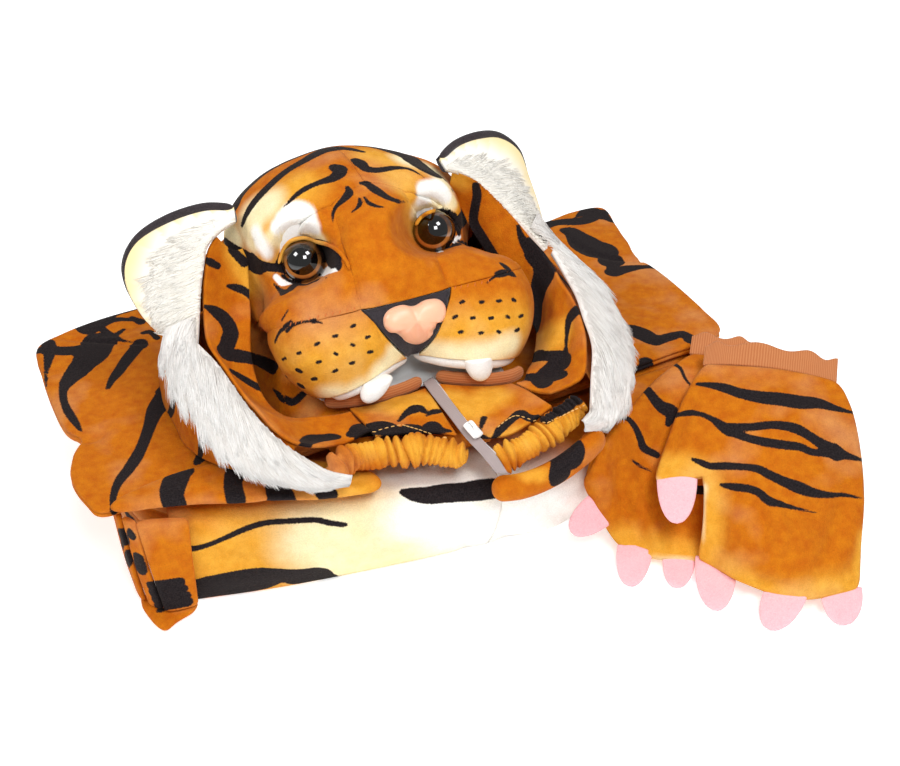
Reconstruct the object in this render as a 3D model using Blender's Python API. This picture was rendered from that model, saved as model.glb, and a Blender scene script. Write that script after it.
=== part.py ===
# Tiger costume, folded and laid flat: striped plush jumpsuit, padded tiger-head hood and two paw mitts.
# The frame has +X to the right, +Y to the back, +Z up. The origin is under the middle of the folded pile.

from math import cos, radians, sin, sqrt, tau

import bmesh
import bpy
from mathutils import Matrix, Vector

MM = 0.001
CLOTH = 2.2
GAP = 0.35
SEAM = 0.35

# Folded pile
CORE_TOP = 55.0
LAYERS = 4
LAYER_SWELL = 2.4
TOP_LAYER_UNDER = 58.2
SLEEVE_TOP = 63.8
CENTRE_SEAM_X = 8.0

# Padded head: centre, turn and tilt of the head, and the radii of its form
HEAD_X = -23.0
HEAD_Y = -15.0
HEAD_Z = 105.0
HEAD_YAW = 2.5
HEAD_ROLL = 1.5
HEAD_BACK = -60.0
EYE_LINE = 8.5
UNDER_EYE = 27.0
MUZZLE_LINE = 60.0
HEAD_SIDE = 85.0
PRESSED = 5.0
EYE_PHI = 16.0
EYE_LAM = 41.0
EYE_CENTRE = 51.0
EYE_RADIUS = 12.0

# Columns: station angle from straight up towards the nose, then radii at 0, 15, 30, 45, 60, 75 and 90
# degrees off the middle plane.
HEAD_RADII = (
    (-62, 82, 82, 81, 79, 75, 66, 62),
    (-30, 88, 87, 87, 87, 80, 66, 62),
    (-10, 82, 83, 85, 82, 70, 60, 62),
    (3, 78, 77, 81, 77, 66, 60, 62),
    (12, 77, 74, 67, 64, 63, 60, 62),
    (20, 77, 73, 60, 57, 61, 60, 62),
    (30, 77, 73, 62, 60, 64, 62, 62),
    (42, 74, 71, 66, 68, 72, 66, 62),
    (55, 69, 70, 73, 82, 84, 72, 62),
    (62, 67, 70, 77, 87, 87, 70, 58),
    (72, 69, 72, 83, 92, 89, 70, 56),
    (84, 63, 76, 89, 94, 88, 68, 56),
    (94, 58, 78, 91, 92, 84, 64, 56),
    (104, 50, 72, 84, 85, 75, 60, 56),
    (118, 42, 60, 68, 70, 64, 58, 62),
)


def vectors(points):
    return [Vector(p) for p in points]


def blend(before, start, end, after, t):
    """Smooth curve between start and end, with the two neighbours setting its slopes."""
    return (
        start
        + (end - before) * (0.5 * t)
        + (before * 2 - start * 5 + end * 4 - after) * (0.5 * t * t)
        + (start * 3 - before - end * 3 + after) * (0.5 * t * t * t)
    )


def along(points, t):
    """Point at t from 0 to 1 on the smooth curve through the points."""
    last = len(points) - 1
    place = min(max(t, 0.0), 1.0) * last
    i = min(int(place), last - 1)
    start, end = points[i], points[i + 1]
    before = points[i - 1] if i > 0 else start * 2 - end
    after = points[i + 2] if i + 2 <= last else end * 2 - start
    return blend(before, start, end, after, place - i)


def patch(rows):
    """Surface through rows of points: u runs along a row and v from the first row to the last."""
    rows = [vectors(row) for row in rows]
    return lambda u, v: along([along(row, u) for row in rows], v)


def lifted(surface, distance):
    """The surface moved along its own normal by a distance, or by a distance that varies with u and v."""
    step = 0.01

    def moved(u, v):
        run = surface(min(u + step, 1), v) - surface(max(u - step, 0), v)
        rise = surface(u, min(v + step, 1)) - surface(u, max(v - step, 0))
        away = distance(u, v) if callable(distance) else distance
        return surface(u, v) + run.cross(rise).normalized() * away

    return moved


def material(name, colour, roughness):
    found = bpy.data.materials.new(name)
    found.use_nodes = True
    shader = found.node_tree.nodes["Principled BSDF"]
    shader.inputs["Base Color"].default_value = (*colour, 1)
    shader.inputs["Roughness"].default_value = roughness
    shader.inputs["Metallic"].default_value = 0.0
    found.diffuse_color = (*colour, 1)
    return found


def finish(name, mesh_work, look):
    bmesh.ops.recalc_face_normals(mesh_work, faces=mesh_work.faces)
    if mesh_work.calc_volume(signed=True) < 0:
        bmesh.ops.reverse_faces(mesh_work, faces=mesh_work.faces)
    bmesh.ops.scale(mesh_work, vec=(MM, MM, MM), verts=mesh_work.verts)
    mesh = bpy.data.meshes.new(name)
    mesh_work.to_mesh(mesh)
    mesh_work.free()
    mesh.shade_smooth()
    mesh.materials.append(material(name, *look))
    made = bpy.data.objects.new(name, mesh)
    bpy.context.scene.collection.objects.link(made)
    return made


def sheet(name, face, back, cells, look, keep=None):
    """Closed wall of cloth between two surfaces of (u, v). keep says which cells of the grid are cloth."""
    work = bmesh.new()
    bmesh.ops.create_grid(work, x_segments=cells[0], y_segments=cells[1], size=1)
    if keep:
        left_out = [
            f
            for f in work.faces
            if not keep((f.calc_center_median().x + 1) / 2, (f.calc_center_median().y + 1) / 2)
        ]
        bmesh.ops.delete(work, geom=left_out, context="FACES")
    first = list(work.verts)
    grown = bmesh.ops.extrude_face_region(work, geom=work.faces[:])
    second = [v for v in grown["geom"] if isinstance(v, bmesh.types.BMVert)]
    for side, verts in ((face, first), (back, second)):
        for v in verts:
            v.co = side((v.co.x + 1) / 2, (v.co.y + 1) / 2)
    return finish(name, work, look)


def tube(name, ring, count, rings, look):
    """Closed body through rings of (turn, v), with a middle point closing each end."""
    work = bmesh.new()
    loops = []
    for i in range(rings + 1):
        made = bmesh.ops.create_circle(work, segments=count, radius=1)["verts"]
        for k, v in enumerate(made):
            v.co = ring(k / count, i / rings)
        loops.append(made)
    for first, second in zip(loops, loops[1:]):
        edges = [e for loop in (first, second) for v in loop for e in v.link_edges if e.other_vert(v) in loop]
        bmesh.ops.bridge_loops(work, edges=list(set(edges)))
    for loop in (loops[0], loops[-1]):
        cap = bmesh.ops.contextual_create(work, geom=loop)["faces"]
        bmesh.ops.poke(work, faces=cap)
    return finish(name, work, look)


def round_section(path, half_height, half_depth, swell):
    """Ring function for a soft round body on a path, its section an upright ellipse."""
    path = vectors(path)

    def ring(turn, v):
        centre = along(path, v)
        run = (along(path, min(v + 0.02, 1)) - along(path, max(v - 0.02, 0))).normalized()
        side = run.cross(Vector((0, 0, 1))).normalized()
        top = side.cross(run).normalized()
        size = swell(v)
        angle = tau * turn
        return centre + (top * (half_height * cos(angle)) + side * (half_depth * sin(angle))) * size

    return ring


def ends_rounded(v, length=0.12, least=0.45):
    """Size factor that draws a body in at both ends."""
    near = min(v, 1 - v)
    return least + (1 - least) * sqrt(min(near / length, 1.0))


def radius_at(phi, lam):
    """Head radius at a station angle and an angle off the middle plane."""
    stations = [row[0] for row in HEAD_RADII]
    phi = min(max(phi, stations[0]), stations[-1] - 0.001)
    i = max(k for k in range(len(stations) - 1) if stations[k] <= phi)
    share = (phi - stations[i]) / (stations[i + 1] - stations[i])
    column = min(abs(lam) / 15.0, 5.999)
    k = int(column)

    def across(row):
        values = (row[2],) + row[1:] + (row[-1],)
        return blend(*values[k : k + 4], column - k)

    rows = [HEAD_RADII[min(max(i + d, 0), len(stations) - 1)] for d in (-1, 0, 1, 2)]
    return blend(*[across(row) for row in rows], share)


def pressed(phi, lam):
    """How far the left cheek is pressed in where it leans on the hood."""
    sideways = min(max((-lam - 30) / 30, 0), 1)
    low = min(max((phi - 45) / 15, 0), 1)
    return PRESSED * sideways * low


HEAD_TURN = Matrix.Rotation(radians(HEAD_YAW), 3, "Z") @ Matrix.Rotation(radians(-HEAD_ROLL), 3, "Y")


def head_point(phi, lam, radius):
    reach = radius * cos(radians(lam))
    local = Vector((radius * sin(radians(lam)), -reach * sin(radians(phi)), reach * cos(radians(phi))))
    return Vector((HEAD_X, HEAD_Y, HEAD_Z)) + HEAD_TURN @ local


def head(phi, lam, lift=0.0):
    """Point on the head, lifted outwards from its form."""
    return head_point(phi, lam, radius_at(phi, lam) - pressed(phi, lam) + lift)


def head_panel(name, angles, cells, look, low=-CLOTH, high=0.0):
    """Cloth panel on the head: angles(u, v) gives the station angle and the angle off the middle."""

    def at(lift):
        return lambda u, v: head(*angles(u, v), lift(u, v) if callable(lift) else lift)

    return sheet(name, at(high), at(low), cells, look)


for old in list(bpy.data.objects):
    bpy.data.objects.remove(old, do_unlink=True)

ORANGE = ((0.72, 0.25, 0.03), 0.85)
DEEP = ((0.60, 0.18, 0.02), 0.85)
GOLD = ((0.86, 0.50, 0.10), 0.85)
CREAM = ((0.90, 0.82, 0.60), 0.85)
WHITE = ((0.86, 0.85, 0.80), 0.9)
BLACK = ((0.02, 0.02, 0.025), 0.8)
RIB = ((0.42, 0.16, 0.06), 0.9)
PINK = ((0.86, 0.42, 0.47), 0.9)
PEACH = ((0.88, 0.52, 0.38), 0.3)
AMBER = ((0.35, 0.16, 0.04), 0.1)
GREY = ((0.62, 0.64, 0.62), 0.9)

# Hidden folded layers of the jumpsuit: one rounded solid whose sides show the edges of its folds
CORE_MIDDLE = (2.0, 3.0)
CORE_HALF = (178.0, 103.0)
CORE_CORNER = 5.0


def core_ring(turn, v):
    angle = tau * turn
    c, s = cos(angle), sin(angle)
    reach = (abs(c) ** CORE_CORNER + abs(s) ** CORE_CORNER) ** (-1 / CORE_CORNER)
    swell = LAYER_SWELL * abs(sin(v * LAYERS * tau / 2)) - 2.0
    tuck = -6.0 * v * v
    return Vector(
        (
            CORE_MIDDLE[0] + (CORE_HALF[0] + swell) * reach * c,
            CORE_MIDDLE[1] + (CORE_HALF[1] + swell + tuck * max(-s, 0)) * reach * s,
            CORE_TOP * v,
        )
    )


tube("suit_folded_layers", core_ring, 28, 8, DEEP)

# Front of the jumpsuit: two cream body pieces that meet at the centre seam, folded up over the pile's front.
# Columns: points from left to right. Rows: from the surface it lies on, up the front and over the top.
BELLY_LEFT = (
    ((-163, -101, 0), (-146, -105, 0), (-100, -112, 0), (-34, -117, 0), (CENTRE_SEAM_X - GAP, -118, 0)),
    ((-163, -103, 18), (-146, -110, 18), (-100, -119, 18), (-34, -127, 18), (CENTRE_SEAM_X - GAP, -129, 18)),
    ((-163, -102, 40), (-145, -110, 40), (-100, -122, 40), (-34, -134, 40), (CENTRE_SEAM_X - GAP, -136, 40)),
    ((-162, -97, 54), (-144, -104, 54), (-99, -116, 54), (-38, -128, 55), (CENTRE_SEAM_X - GAP, -130, 55)),
    (
        (-161, -87, 57.8), (-143, -89, 57.8), (-97, -96, 57.8),
        (-40, -106, 57.8), (CENTRE_SEAM_X - GAP, -108, 57.8),
    ),
    (
        (-158, -80, 57.8), (-141, -82, 57.8), (-97, -86, 57.8),
        (-40, -88, 57.8), (CENTRE_SEAM_X - GAP, -88, 57.8),
    ),
)
BELLY_RIGHT = (
    ((CENTRE_SEAM_X + GAP, -118, 0), (53, -117, 0), (108, -110, 0), (156, -104, 0), (184, -88, 0)),
    ((CENTRE_SEAM_X + GAP, -129, 18), (53, -125, 18), (108, -113, 18), (157, -105, 18), (185, -89, 18)),
    ((CENTRE_SEAM_X + GAP, -136, 40), (53, -130, 40), (107, -113, 40), (156, -103, 40), (185, -87, 40)),
    ((CENTRE_SEAM_X + GAP, -130, 55), (50, -122, 55), (104, -106, 54), (153, -97, 54), (182, -82, 54)),
    (
        (CENTRE_SEAM_X + GAP, -108, 57.8), (46, -102, 57.8), (100, -92, 57.8),
        (148, -82, 57.8), (174, -70, 57.8),
    ),
    ((CENTRE_SEAM_X + GAP, -88, 57.8), (44, -84, 57.8), (98, -76, 57.8), (146, -70, 57.8), (168, -62, 57.8)),
)
for name, rows, cells in (
    ("suit_belly_left", BELLY_LEFT, (10, 7)),
    ("suit_belly_right", BELLY_RIGHT, (10, 7)),
):
    face = patch(rows)
    sheet(name, face, lifted(face, -CLOTH), cells, CREAM)

# Leg folded in at the left front corner: a flap that faces the front, two upright folds beside it
# and a lobed hem tab below. Columns: name, left edge and right edge from the head of the fold to its foot,
# and thickness.
LEG_FOLDS = (
    (
        "suit_leg_flap",
        ((-179.0, -99.5, 57), (-175.5, -105.5, 30), (-171.8, -111.5, 5)),
        ((-153.5, -107.0, 57), (-154.0, -110.5, 30), (-154.0, -111.5, 5)),
        5.0,
    ),
    (
        "suit_leg_fold_front",
        ((-184.0, -93.0, 57.2), (-181.2, -97.8, 28), (-177.6, -101.6, 5)),
        ((-180.2, -99.4, 57.2), (-177.2, -104.4, 28), (-173.8, -108.8, 5)),
        3.6,
    ),
    (
        "suit_leg_fold_middle",
        ((-186.6, -82.0, 57.2), (-184.2, -84.0, 28), (-180.8, -86.0, 5)),
        ((-185.4, -91.6, 57.2), (-183.0, -96.0, 28), (-179.8, -99.4, 5)),
        3.4,
    ),
)
FOLD_ROUNDING = 3.0
for name, left_edge, right_edge, thick in LEG_FOLDS:
    left_edge, right_edge = vectors(left_edge), vectors(right_edge)

    def fold_ring(turn, v, left_edge=left_edge, right_edge=right_edge, thick=thick):
        left, right = along(left_edge, v), along(right_edge, v)
        run = (right - left) / 2
        outward = run.cross(Vector((0, 0, 1))).normalized() * (thick / 2)
        c, s = cos(tau * turn), sin(tau * turn)
        reach = (abs(c) ** FOLD_ROUNDING + abs(s) ** FOLD_ROUNDING) ** (-1 / FOLD_ROUNDING)
        return (left + right) / 2 + (run * c + outward * s) * reach

    tube(name, fold_ring, 12, 5, ORANGE)

# Outline of the tab seen from above, from its left lobe round the front to its right lobe
HEM_TAB = (
    (-179, -92), (-181.5, -99), (-180.6, -108), (-177.7, -118.5), (-173.8, -122.5),
    (-167, -118.5), (-157.5, -114), (-154, -108), (-160, -103), (-170, -99),
)
HEM_TAB_TOP = 4.2


# Top layers of the pile: the two sleeves laid over it. Outlines run round each layer, seen from above.
LEFT_LAYER = (
    (-24, 40), (-24, 96), (-60, 108), (-100, 106), (-128, 103), (-157, 98), (-183, 89),
    (-198, 78), (-200, 52), (-200, 20), (-198, -8), (-192, -24), (-199, -40), (-203, -58),
    (-200, -80), (-192, -93), (-160, -86),
    (-120, -84), (-80, -80), (-50, -70), (-24, -30),
)
RIGHT_LAYER = (
    (-18, 96), (-18, 40), (-18, -30), (0, -70), (40, -82), (80, -78), (116, -72),
    (146, -66), (168, -62), (187, -53),
    (189, -30), (189, -8), (188, 14), (186, 32), (183, 46), (187, 70), (191, 92), (194, 118), (172, 120),
    (146, 113), (100, 108), (50, 110), (14, 106),
)


def pile_top(y):
    """Height that a sleeve lies on: the body piece's edge in front, and the pile behind it."""
    front = min(max((-y - 52) / 24, 0), 1)
    return CORE_TOP + GAP + 0.3 + (TOP_LAYER_UNDER - CORE_TOP - GAP - 0.3) * front


def layer_ring(outline, middle, under, top, crown):
    """Ring function for a laid-over layer: its outline, middle, height below, height above and crown."""
    outline = vectors([(x, y, 0) for x, y in outline])
    closed = [outline[-1]] + outline + outline[:2]
    centre = Vector((*middle, 0))
    # Columns: share of the way in from the outline, and height as a share of the thickness.
    profile = ((0.03, 0.0), (0.0, 0.5), (0.02, 0.92), (0.10, 1.0), (0.5, 1.0))

    def ring(turn, v):
        place = turn * len(outline)
        i = min(int(place), len(outline) - 1)
        edge = blend(*closed[i : i + 4], place - i)
        inward, height = profile[round(v * (len(profile) - 1))]
        spot = edge + (centre - edge) * inward
        base = under(spot.y) if callable(under) else under
        rise = crown * (1 - (1 - inward) ** 2) if height == 1.0 else 0.0
        return Vector((spot.x, spot.y, base + (top - base) * height + rise))

    return ring


tube("suit_leg_hem_tab", layer_ring(HEM_TAB, (-168, -108), 0.3, HEM_TAB_TOP, 0.2), 20, 4, ORANGE)
tube("suit_sleeve_left", layer_ring(LEFT_LAYER, (-110, 10), pile_top, SLEEVE_TOP, 0.3), 42, 4, ORANGE)
tube("suit_sleeve_right", layer_ring(RIGHT_LAYER, (90, 20), pile_top, SLEEVE_TOP, 0.3), 46, 4, ORANGE)

# Rolled edge of the left sleeve along the front of the pile, widening to the right
FRONT_ROLL = (
    (-186, -92), (-188, -98), (-170, -102), (-150, -107), (-128, -115), (-108, -121),
    (-90, -127), (-74, -130),
    (-60, -131), (-56, -124), (-62, -112), (-78, -100), (-98, -87), (-120, -81), (-142, -80), (-162, -83),
)
ROLL_UNDER = SLEEVE_TOP + GAP
front_roll = layer_ring(FRONT_ROLL, (-105, -103), ROLL_UNDER, ROLL_UNDER + 5.0, 0.5)
tube("suit_front_roll", front_roll, 32, 4, ORANGE)

# Hidden folded layers under the hood, which carry the head
# Columns: y, half width, height at the middle.
HOOD_LAYERS = (
    (-112, 34, 75), (-104, 40, 79), (-88, 48, 80), (-66, 54, 82), (-54, 62, 84), (-46, 66, 102.5),
    (-15, 72, 103.5), (8, 74, 113.5), (32, 70, 127.5), (50, 64, 134), (62, 58, 120), (78, 48, 90),
)
HOOD_UNDER = SLEEVE_TOP + GAP + 0.6
HOOD_STATIONS = vectors(HOOD_LAYERS)


def hood_layer_top(u, v):
    y, half, height = along(HOOD_STATIONS, v)
    s = 2 * u - 1
    rise = sqrt(max(1 - s**4, 0.0))
    return Vector((HEAD_X + half * s, y, HOOD_UNDER + 4.0 + (height - HOOD_UNDER - 4.0) * rise))


def hood_layer_under(u, v):
    top = hood_layer_top(u, v)
    return Vector((top.x, top.y, HOOD_UNDER))


sheet("hood_folded_layers", hood_layer_top, hood_layer_under, (8, 11), DEEP)


# Padded head: filling inside, then the panels that a maker sews over it
def bridge_edge(phi):
    """Angle off the middle of the seam beside the bridge of the nose."""
    return 16 + 5 * (phi - EYE_LINE) / (MUZZLE_LINE - EYE_LINE)


def front_edge(lam):
    """Station angle where the forehead ends: a shallow point over the bridge, level over the eyes."""
    return EYE_LINE - 3.0 * max(1 - abs(lam) / 16, 0)


def pad_foot(lam):
    """Station angle of the whisker pad's lower edge."""
    feet = vectors([(87, 0, 0), (89, 0, 0), (92.5, 0, 0), (100, 0, 0), (106, 0, 0), (109, 0, 0), (109, 0, 0)])
    return along(feet, abs(lam) / 90).x


def felt_edge(v):
    """Angle off the middle of the nose felt's slanting side."""
    return 21 - 17 * v


def share(start, end, t):
    return start + (end - start) * t


filling = head_panel(
    "head_filling",
    lambda u, v: (share(HEAD_BACK, 86, v), share(-82, 82, u)),
    (12, 11),
    WHITE,
    high=-CLOTH - 4.9,
    low=lambda u, v: 14 - radius_at(share(HEAD_BACK, 86, v), share(-82, 82, u)),
)
head_panel(
    "head_bridge",
    lambda u, v: (
        share(front_edge((2 * u - 1) * 16) + SEAM, MUZZLE_LINE - SEAM, v),
        (2 * u - 1) * (bridge_edge(share(EYE_LINE, MUZZLE_LINE, v)) - SEAM),
    ),
    (7, 8),
    ORANGE,
)
head_panel(
    "head_nose_felt",
    lambda u, v: (share(MUZZLE_LINE + SEAM, 86, v), (2 * u - 1) * (felt_edge(v) - SEAM)),
    (7, 5),
    BLACK,
)


def nose_angles(u, v):
    half = 17.5 * (1 - 0.62 * v**1.6) * (0.88 + 0.12 * sin(tau / 2 * v))
    return share(MUZZLE_LINE + 4, 82.5, v), (2 * u - 1) * half


def nose_dome(u, v):
    across = 1 - abs(2 * u - 1) ** 3
    down = 1 - abs(2 * v - 1) ** 3
    return 1.8 + 6.2 * sqrt(max(across * down, 0.0))


head_panel("head_nose", nose_angles, (8, 6), PEACH, low=0.35, high=nose_dome)

SIDES = (("left", -1), ("right", 1))
eye_parts = [filling]
for side, sign in SIDES:
    eye_parts.append(
        head_panel(
            "head_forehead_" + side,
            lambda u, v: (
                share(HEAD_BACK, front_edge(share(0, HEAD_SIDE, u)), v),
                sign * share(SEAM / 2, HEAD_SIDE - SEAM / 2, u),
            ),
            (8, 8),
            ORANGE,
        )
    )
    eye_parts.append(
        head_panel(
            "head_eye_patch_" + side,
            lambda u, v: (
                share(EYE_LINE + SEAM, UNDER_EYE, v),
                sign * share(bridge_edge(share(EYE_LINE, UNDER_EYE, v)) + SEAM, HEAD_SIDE - SEAM / 2, u),
            ),
            (8, 4),
            BLACK,
        )
    )
    eye_parts.append(
        head_panel(
            "head_cheek_" + side,
            lambda u, v: (
                share(UNDER_EYE + SEAM, MUZZLE_LINE - SEAM, v),
                sign * share(bridge_edge(share(UNDER_EYE, MUZZLE_LINE, v)) + SEAM, HEAD_SIDE - SEAM / 2, u),
            ),
            (7, 6),
            ORANGE,
        )
    )
    def pad_angles(u, v, sign=sign):
        lam = share(felt_edge(v) + SEAM, 82, u)
        return share(MUZZLE_LINE + SEAM, pad_foot(lam), v), sign * lam

    head_panel("head_whisker_pad_" + side, pad_angles, (10, 8), GOLD)

# Eyes: 24 mm glass-look balls set into sockets in the face
for side, sign in SIDES:
    middle = head_point(EYE_PHI, sign * EYE_LAM, EYE_CENTRE) * MM
    for name, radius in (("head_eye_" + side, EYE_RADIUS), ("socket_cutter_" + side, EYE_RADIUS + 0.5)):
        work = bmesh.new()
        bmesh.ops.create_icosphere(work, subdivisions=3, radius=radius * MM)
        ball = bpy.data.meshes.new(name)
        work.to_mesh(ball)
        work.free()
        ball.shade_smooth()
        ball.materials.append(material(name, *AMBER))
        made = bpy.data.objects.new(name, ball)
        made.location = middle
        bpy.context.scene.collection.objects.link(made)
    made.hide_render = True
    made.display_type = "WIRE"
    for part in eye_parts:
        if part is filling or part.name.endswith(side):
            cut = part.modifiers.new("socket_" + side, "BOOLEAN")
            cut.operation = "DIFFERENCE"
            cut.solver = "EXACT"
            cut.object = made

# Soft fangs that hang from the lips
for side, sign in SIDES:
    root = head(93, sign * 26, -8.6) + Vector((0, 0.6, 3.0))
    tip = root + Vector((sign * 1.0, -1.0, -12.0))

    def fang_ring(turn, v, root=root, tip=tip):
        angle = tau * turn
        size = 7.5 * sqrt(max(1 - (0.96 * v) ** 2, 0.0))
        return root.lerp(tip, v) + Vector((size * cos(angle), 0.7 * size * sin(angle), 0))

    tube("head_fang_" + side, fang_ring, 12, 6, WHITE)

# Lining of the face opening, seen through the mouth
LINING = (
    ((-74, -58, 94), (-50, -58, 97), (-20, -58, 98), (10, -58, 98), (32, -58, 96)),
    ((-74, -60, 89), (-50, -60, 89), (-20, -60, 90), (10, -60, 90), (32, -60, 90)),
    ((-72, -66, 86.5), (-50, -67, 86), (-20, -67, 86), (10, -69, 86.8), (32, -70, 87.5)),
    ((-68, -75.5, 86.5), (-48, -80.4, 86), (-20, -78.8, 86.5), (10, -84.8, 87.6), (30, -90, 87.4)),
)
lining = patch(LINING)
sheet("hood_face_lining", lining, lifted(lining, -1.2), (10, 5), GREY)

# Rib-knit binding round the face opening
BINDING_LEFT = ((-70, -78, 90), (-60, -81, 89.5), (-44, -83, 89), (-28, -82, 89.5), (-15.6, -80, 91))
BINDING_RIGHT = ((-7.9, -80.6, 92.5), (3, -85.5, 91), (18, -91, 90), (30, -92.6, 90), (39, -91, 91))
for side, path in (("left", BINDING_LEFT), ("right", BINDING_RIGHT)):
    tube("hood_face_binding_" + side, round_section(path, 3.4, 1.7, ends_rounded), 8, 9, RIB)

# Chin panels between the binding and the gathered neck edge, on each side of the zip
CHIN_LEFT = (
    ((-58, -84.4, 86.5), (-44, -85.8, 86.5), (-30, -85.2, 87), (-15, -83.2, 88)),
    ((-56, -98, 87), (-43, -99, 87.5), (-30, -101, 88), (-15, -104, 88)),
    ((-54, -113, 86.5), (-42, -115.6, 87), (-28, -119.3, 86.8), (-14, -125.5, 85)),
)
CHIN_RIGHT = (
    ((-9, -84, 90), (4, -89, 88.6), (18, -93.8, 87.6), (30, -95.6, 87.6)),
    ((-8, -104, 90), (6, -110, 88.6), (20, -113, 89), (33, -110, 91)),
    ((-6, -131, 86), (8, -137, 86.4), (22, -135.5, 89.4), (37, -131, 93.5)),
)
for side, rows in (("left", CHIN_LEFT), ("right", CHIN_RIGHT)):
    chin = patch(rows)
    sheet("hood_chin_" + side, chin, lifted(chin, 2.0), (7, 6), GOLD)

# Side curtains of the hood: a bowl of plush from beside the head out to the fur
# Columns: inner edge by the head, outer edge at the fur. Rows: from the ear round to the zip.
CURTAIN_LEFT = (
    ((-94, 0, 150), (-104, -10, 161)),
    ((-98, -9, 134), (-110, -14, 154)),
    ((-103, -22, 114), (-116, -22, 138)),
    ((-108, -40, 99), (-121, -40, 122)),
    ((-105, -62, 90), (-118, -64, 116)),
    ((-92, -81, 88), (-112, -97, 109)),
    ((-78, -87, 88), (-100, -115, 98)),
    ((-66, -88, 87), (-80, -116, 90)),
    ((-59, -88, 87), (-55, -108, 88)),
)
CURTAIN_RIGHT = (
    ((44, -2, 156), (44, -12, 165)),
    ((51, -11, 140), (50, -18, 157)),
    ((57, -22, 122), (60, -32, 143)),
    ((61, -38, 106), (69, -46, 132)),
    ((60, -60, 94), (74, -62, 124)),
    ((50, -80, 90), (72, -89, 118)),
    ((42, -90, 90), (68, -107, 110)),
    ((37, -97, 89), (59, -122, 100)),
    ((32, -98, 89), (41, -121, 95)),
)
CURTAIN_SAG = 5.0
CURTAIN_FOLD = 1.6


def curtain(rows, sign):
    inner = [Vector(row[0]) for row in rows]
    outer = [Vector(row[1]) for row in rows]

    def at(u, v):
        low, high = along(inner, v), along(outer, v)
        spot = low.lerp(high, u)
        spot.z -= CURTAIN_SAG * sin(tau / 2 * u) * (1 - 0.6 * v)
        spot.z += CURTAIN_FOLD * sin(tau * 3.5 * v) * sin(tau / 2 * u)
        spot.x += sign * 1.2 * sin(tau * 2.5 * v) * sin(tau / 2 * u)
        return spot

    return at


for side, sign, rows in (("left", -1, CURTAIN_LEFT), ("right", 1, CURTAIN_RIGHT)):
    face = curtain(rows, sign)
    sheet("hood_side_" + side, face, lifted(face, sign * CLOTH), (4, 16), ORANGE)

# Ears: a pale plush front and a back of cloth whose edge stands out round it as piping
# Columns: edge at the hood, edge at the ear's rim. Rows: from the crown down to the fur.
EAR_LEFT = (
    ((-93, -9, 168), (-92, -3, 173)),
    ((-104, -12, 165), (-108, 1, 174)),
    ((-112, -14, 159), (-127, 8, 167)),
    ((-116, -18, 149), (-143, 13, 156)),
    ((-120, -24, 139), (-151, 12, 143)),
    ((-123, -31, 131), (-152, 6, 131)),
    ((-126, -38, 124), (-148, -5, 120)),
    ((-128, -42, 119), (-142, -15, 113)),
)
EAR_RIGHT = (
    ((28, -9, 177), (26, -3, 181)),
    ((36, -10, 174), (40, 6, 184)),
    ((44, -13, 169), (55, 9, 185)),
    ((51, -19, 162), (69, 12, 181)),
    ((58, -27, 154), (81, 12, 170)),
    ((64, -34, 147), (86, 8, 154)),
    ((69, -40, 141), (88, -1, 141)),
    ((73, -45, 136), (88, -10, 131)),
)
EAR_HOLLOW = 4.0
EAR_FRONT = 2.6
EAR_START = 0.16
EAR_EDGE = 1.07


def ear(rows, start, reach):
    inner = [Vector(row[0]) for row in rows]
    outer = [Vector(row[1]) for row in rows]

    def at(u, v):
        low, high = along(inner, v), along(outer, v)
        place = share(start, reach, u)
        spot = low.lerp(high, place)
        hollow = EAR_HOLLOW * sin(tau / 2 * min(place, 1.0)) * sin(tau / 2 * v)
        return spot + Vector((0, 0.85, -0.5)) * hollow

    return at


for side, sign, rows in (("left", -1, EAR_LEFT), ("right", 1, EAR_RIGHT)):
    front = ear(rows, 0.0, 1.0)
    behind = ear(rows, EAR_START, EAR_EDGE)
    sheet("ear_inner_" + side, front, lifted(front, sign * EAR_FRONT), (4, 9), CREAM)
    sheet(
        "ear_back_" + side,
        lifted(behind, sign * (EAR_FRONT + 0.5)),
        lifted(behind, sign * (EAR_FRONT + 0.5 + CLOTH)),
        (4, 9),
        BLACK,
    )

# Long-pile fur sewn along the hood's edge from each ear down to the neck
# Columns: root edge, tips. Rows: from the ear down to the neck.
FUR_LEFT = (
    ((-126.5, -44, 118.8), (-144, -36, 104)),
    ((-121, -65.5, 116), (-140, -72, 98)),
    ((-115, -98.5, 109), (-131, -102, 90)),
    ((-104, -119, 98), (-117, -122, 83)),
    ((-88, -133, 87), (-97, -138, 81)),
)
FUR_RIGHT = (
    ((75, -47, 134), (95, -12, 119)),
    ((76.5, -60, 127), (108, -42, 105)),
    ((75.4, -77, 123.2), (106, -68, 98)),
    ((72.6, -93, 118), (102, -88, 93)),
    ((70, -110, 110), (96, -108, 87)),
    ((62, -126, 100), (83, -126, 80)),
    ((56, -138, 91), (67, -138, 76)),
)
FUR_RISE = 5.0
FUR_UNDER = 4.0


def fur(rows, rise):
    inner = [Vector(row[0]) for row in rows]
    outer = [Vector(row[1]) for row in rows]

    def at(u, v):
        low, high = along(inner, v), along(outer, v)
        thick = rise * sqrt(max(1 - abs(2 * u - 1) ** 3, 0.0)) + 0.5 * (1 if rise > 0 else -1)
        return low.lerp(high, u) + Vector((0, -0.5, 0.85)) * thick

    return at


for side, rows in (("left", FUR_LEFT), ("right", FUR_RIGHT)):
    sheet("fur_trim_" + side, fur(rows, FUR_RISE), fur(rows, -FUR_UNDER), (4, 10), WHITE)

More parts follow.
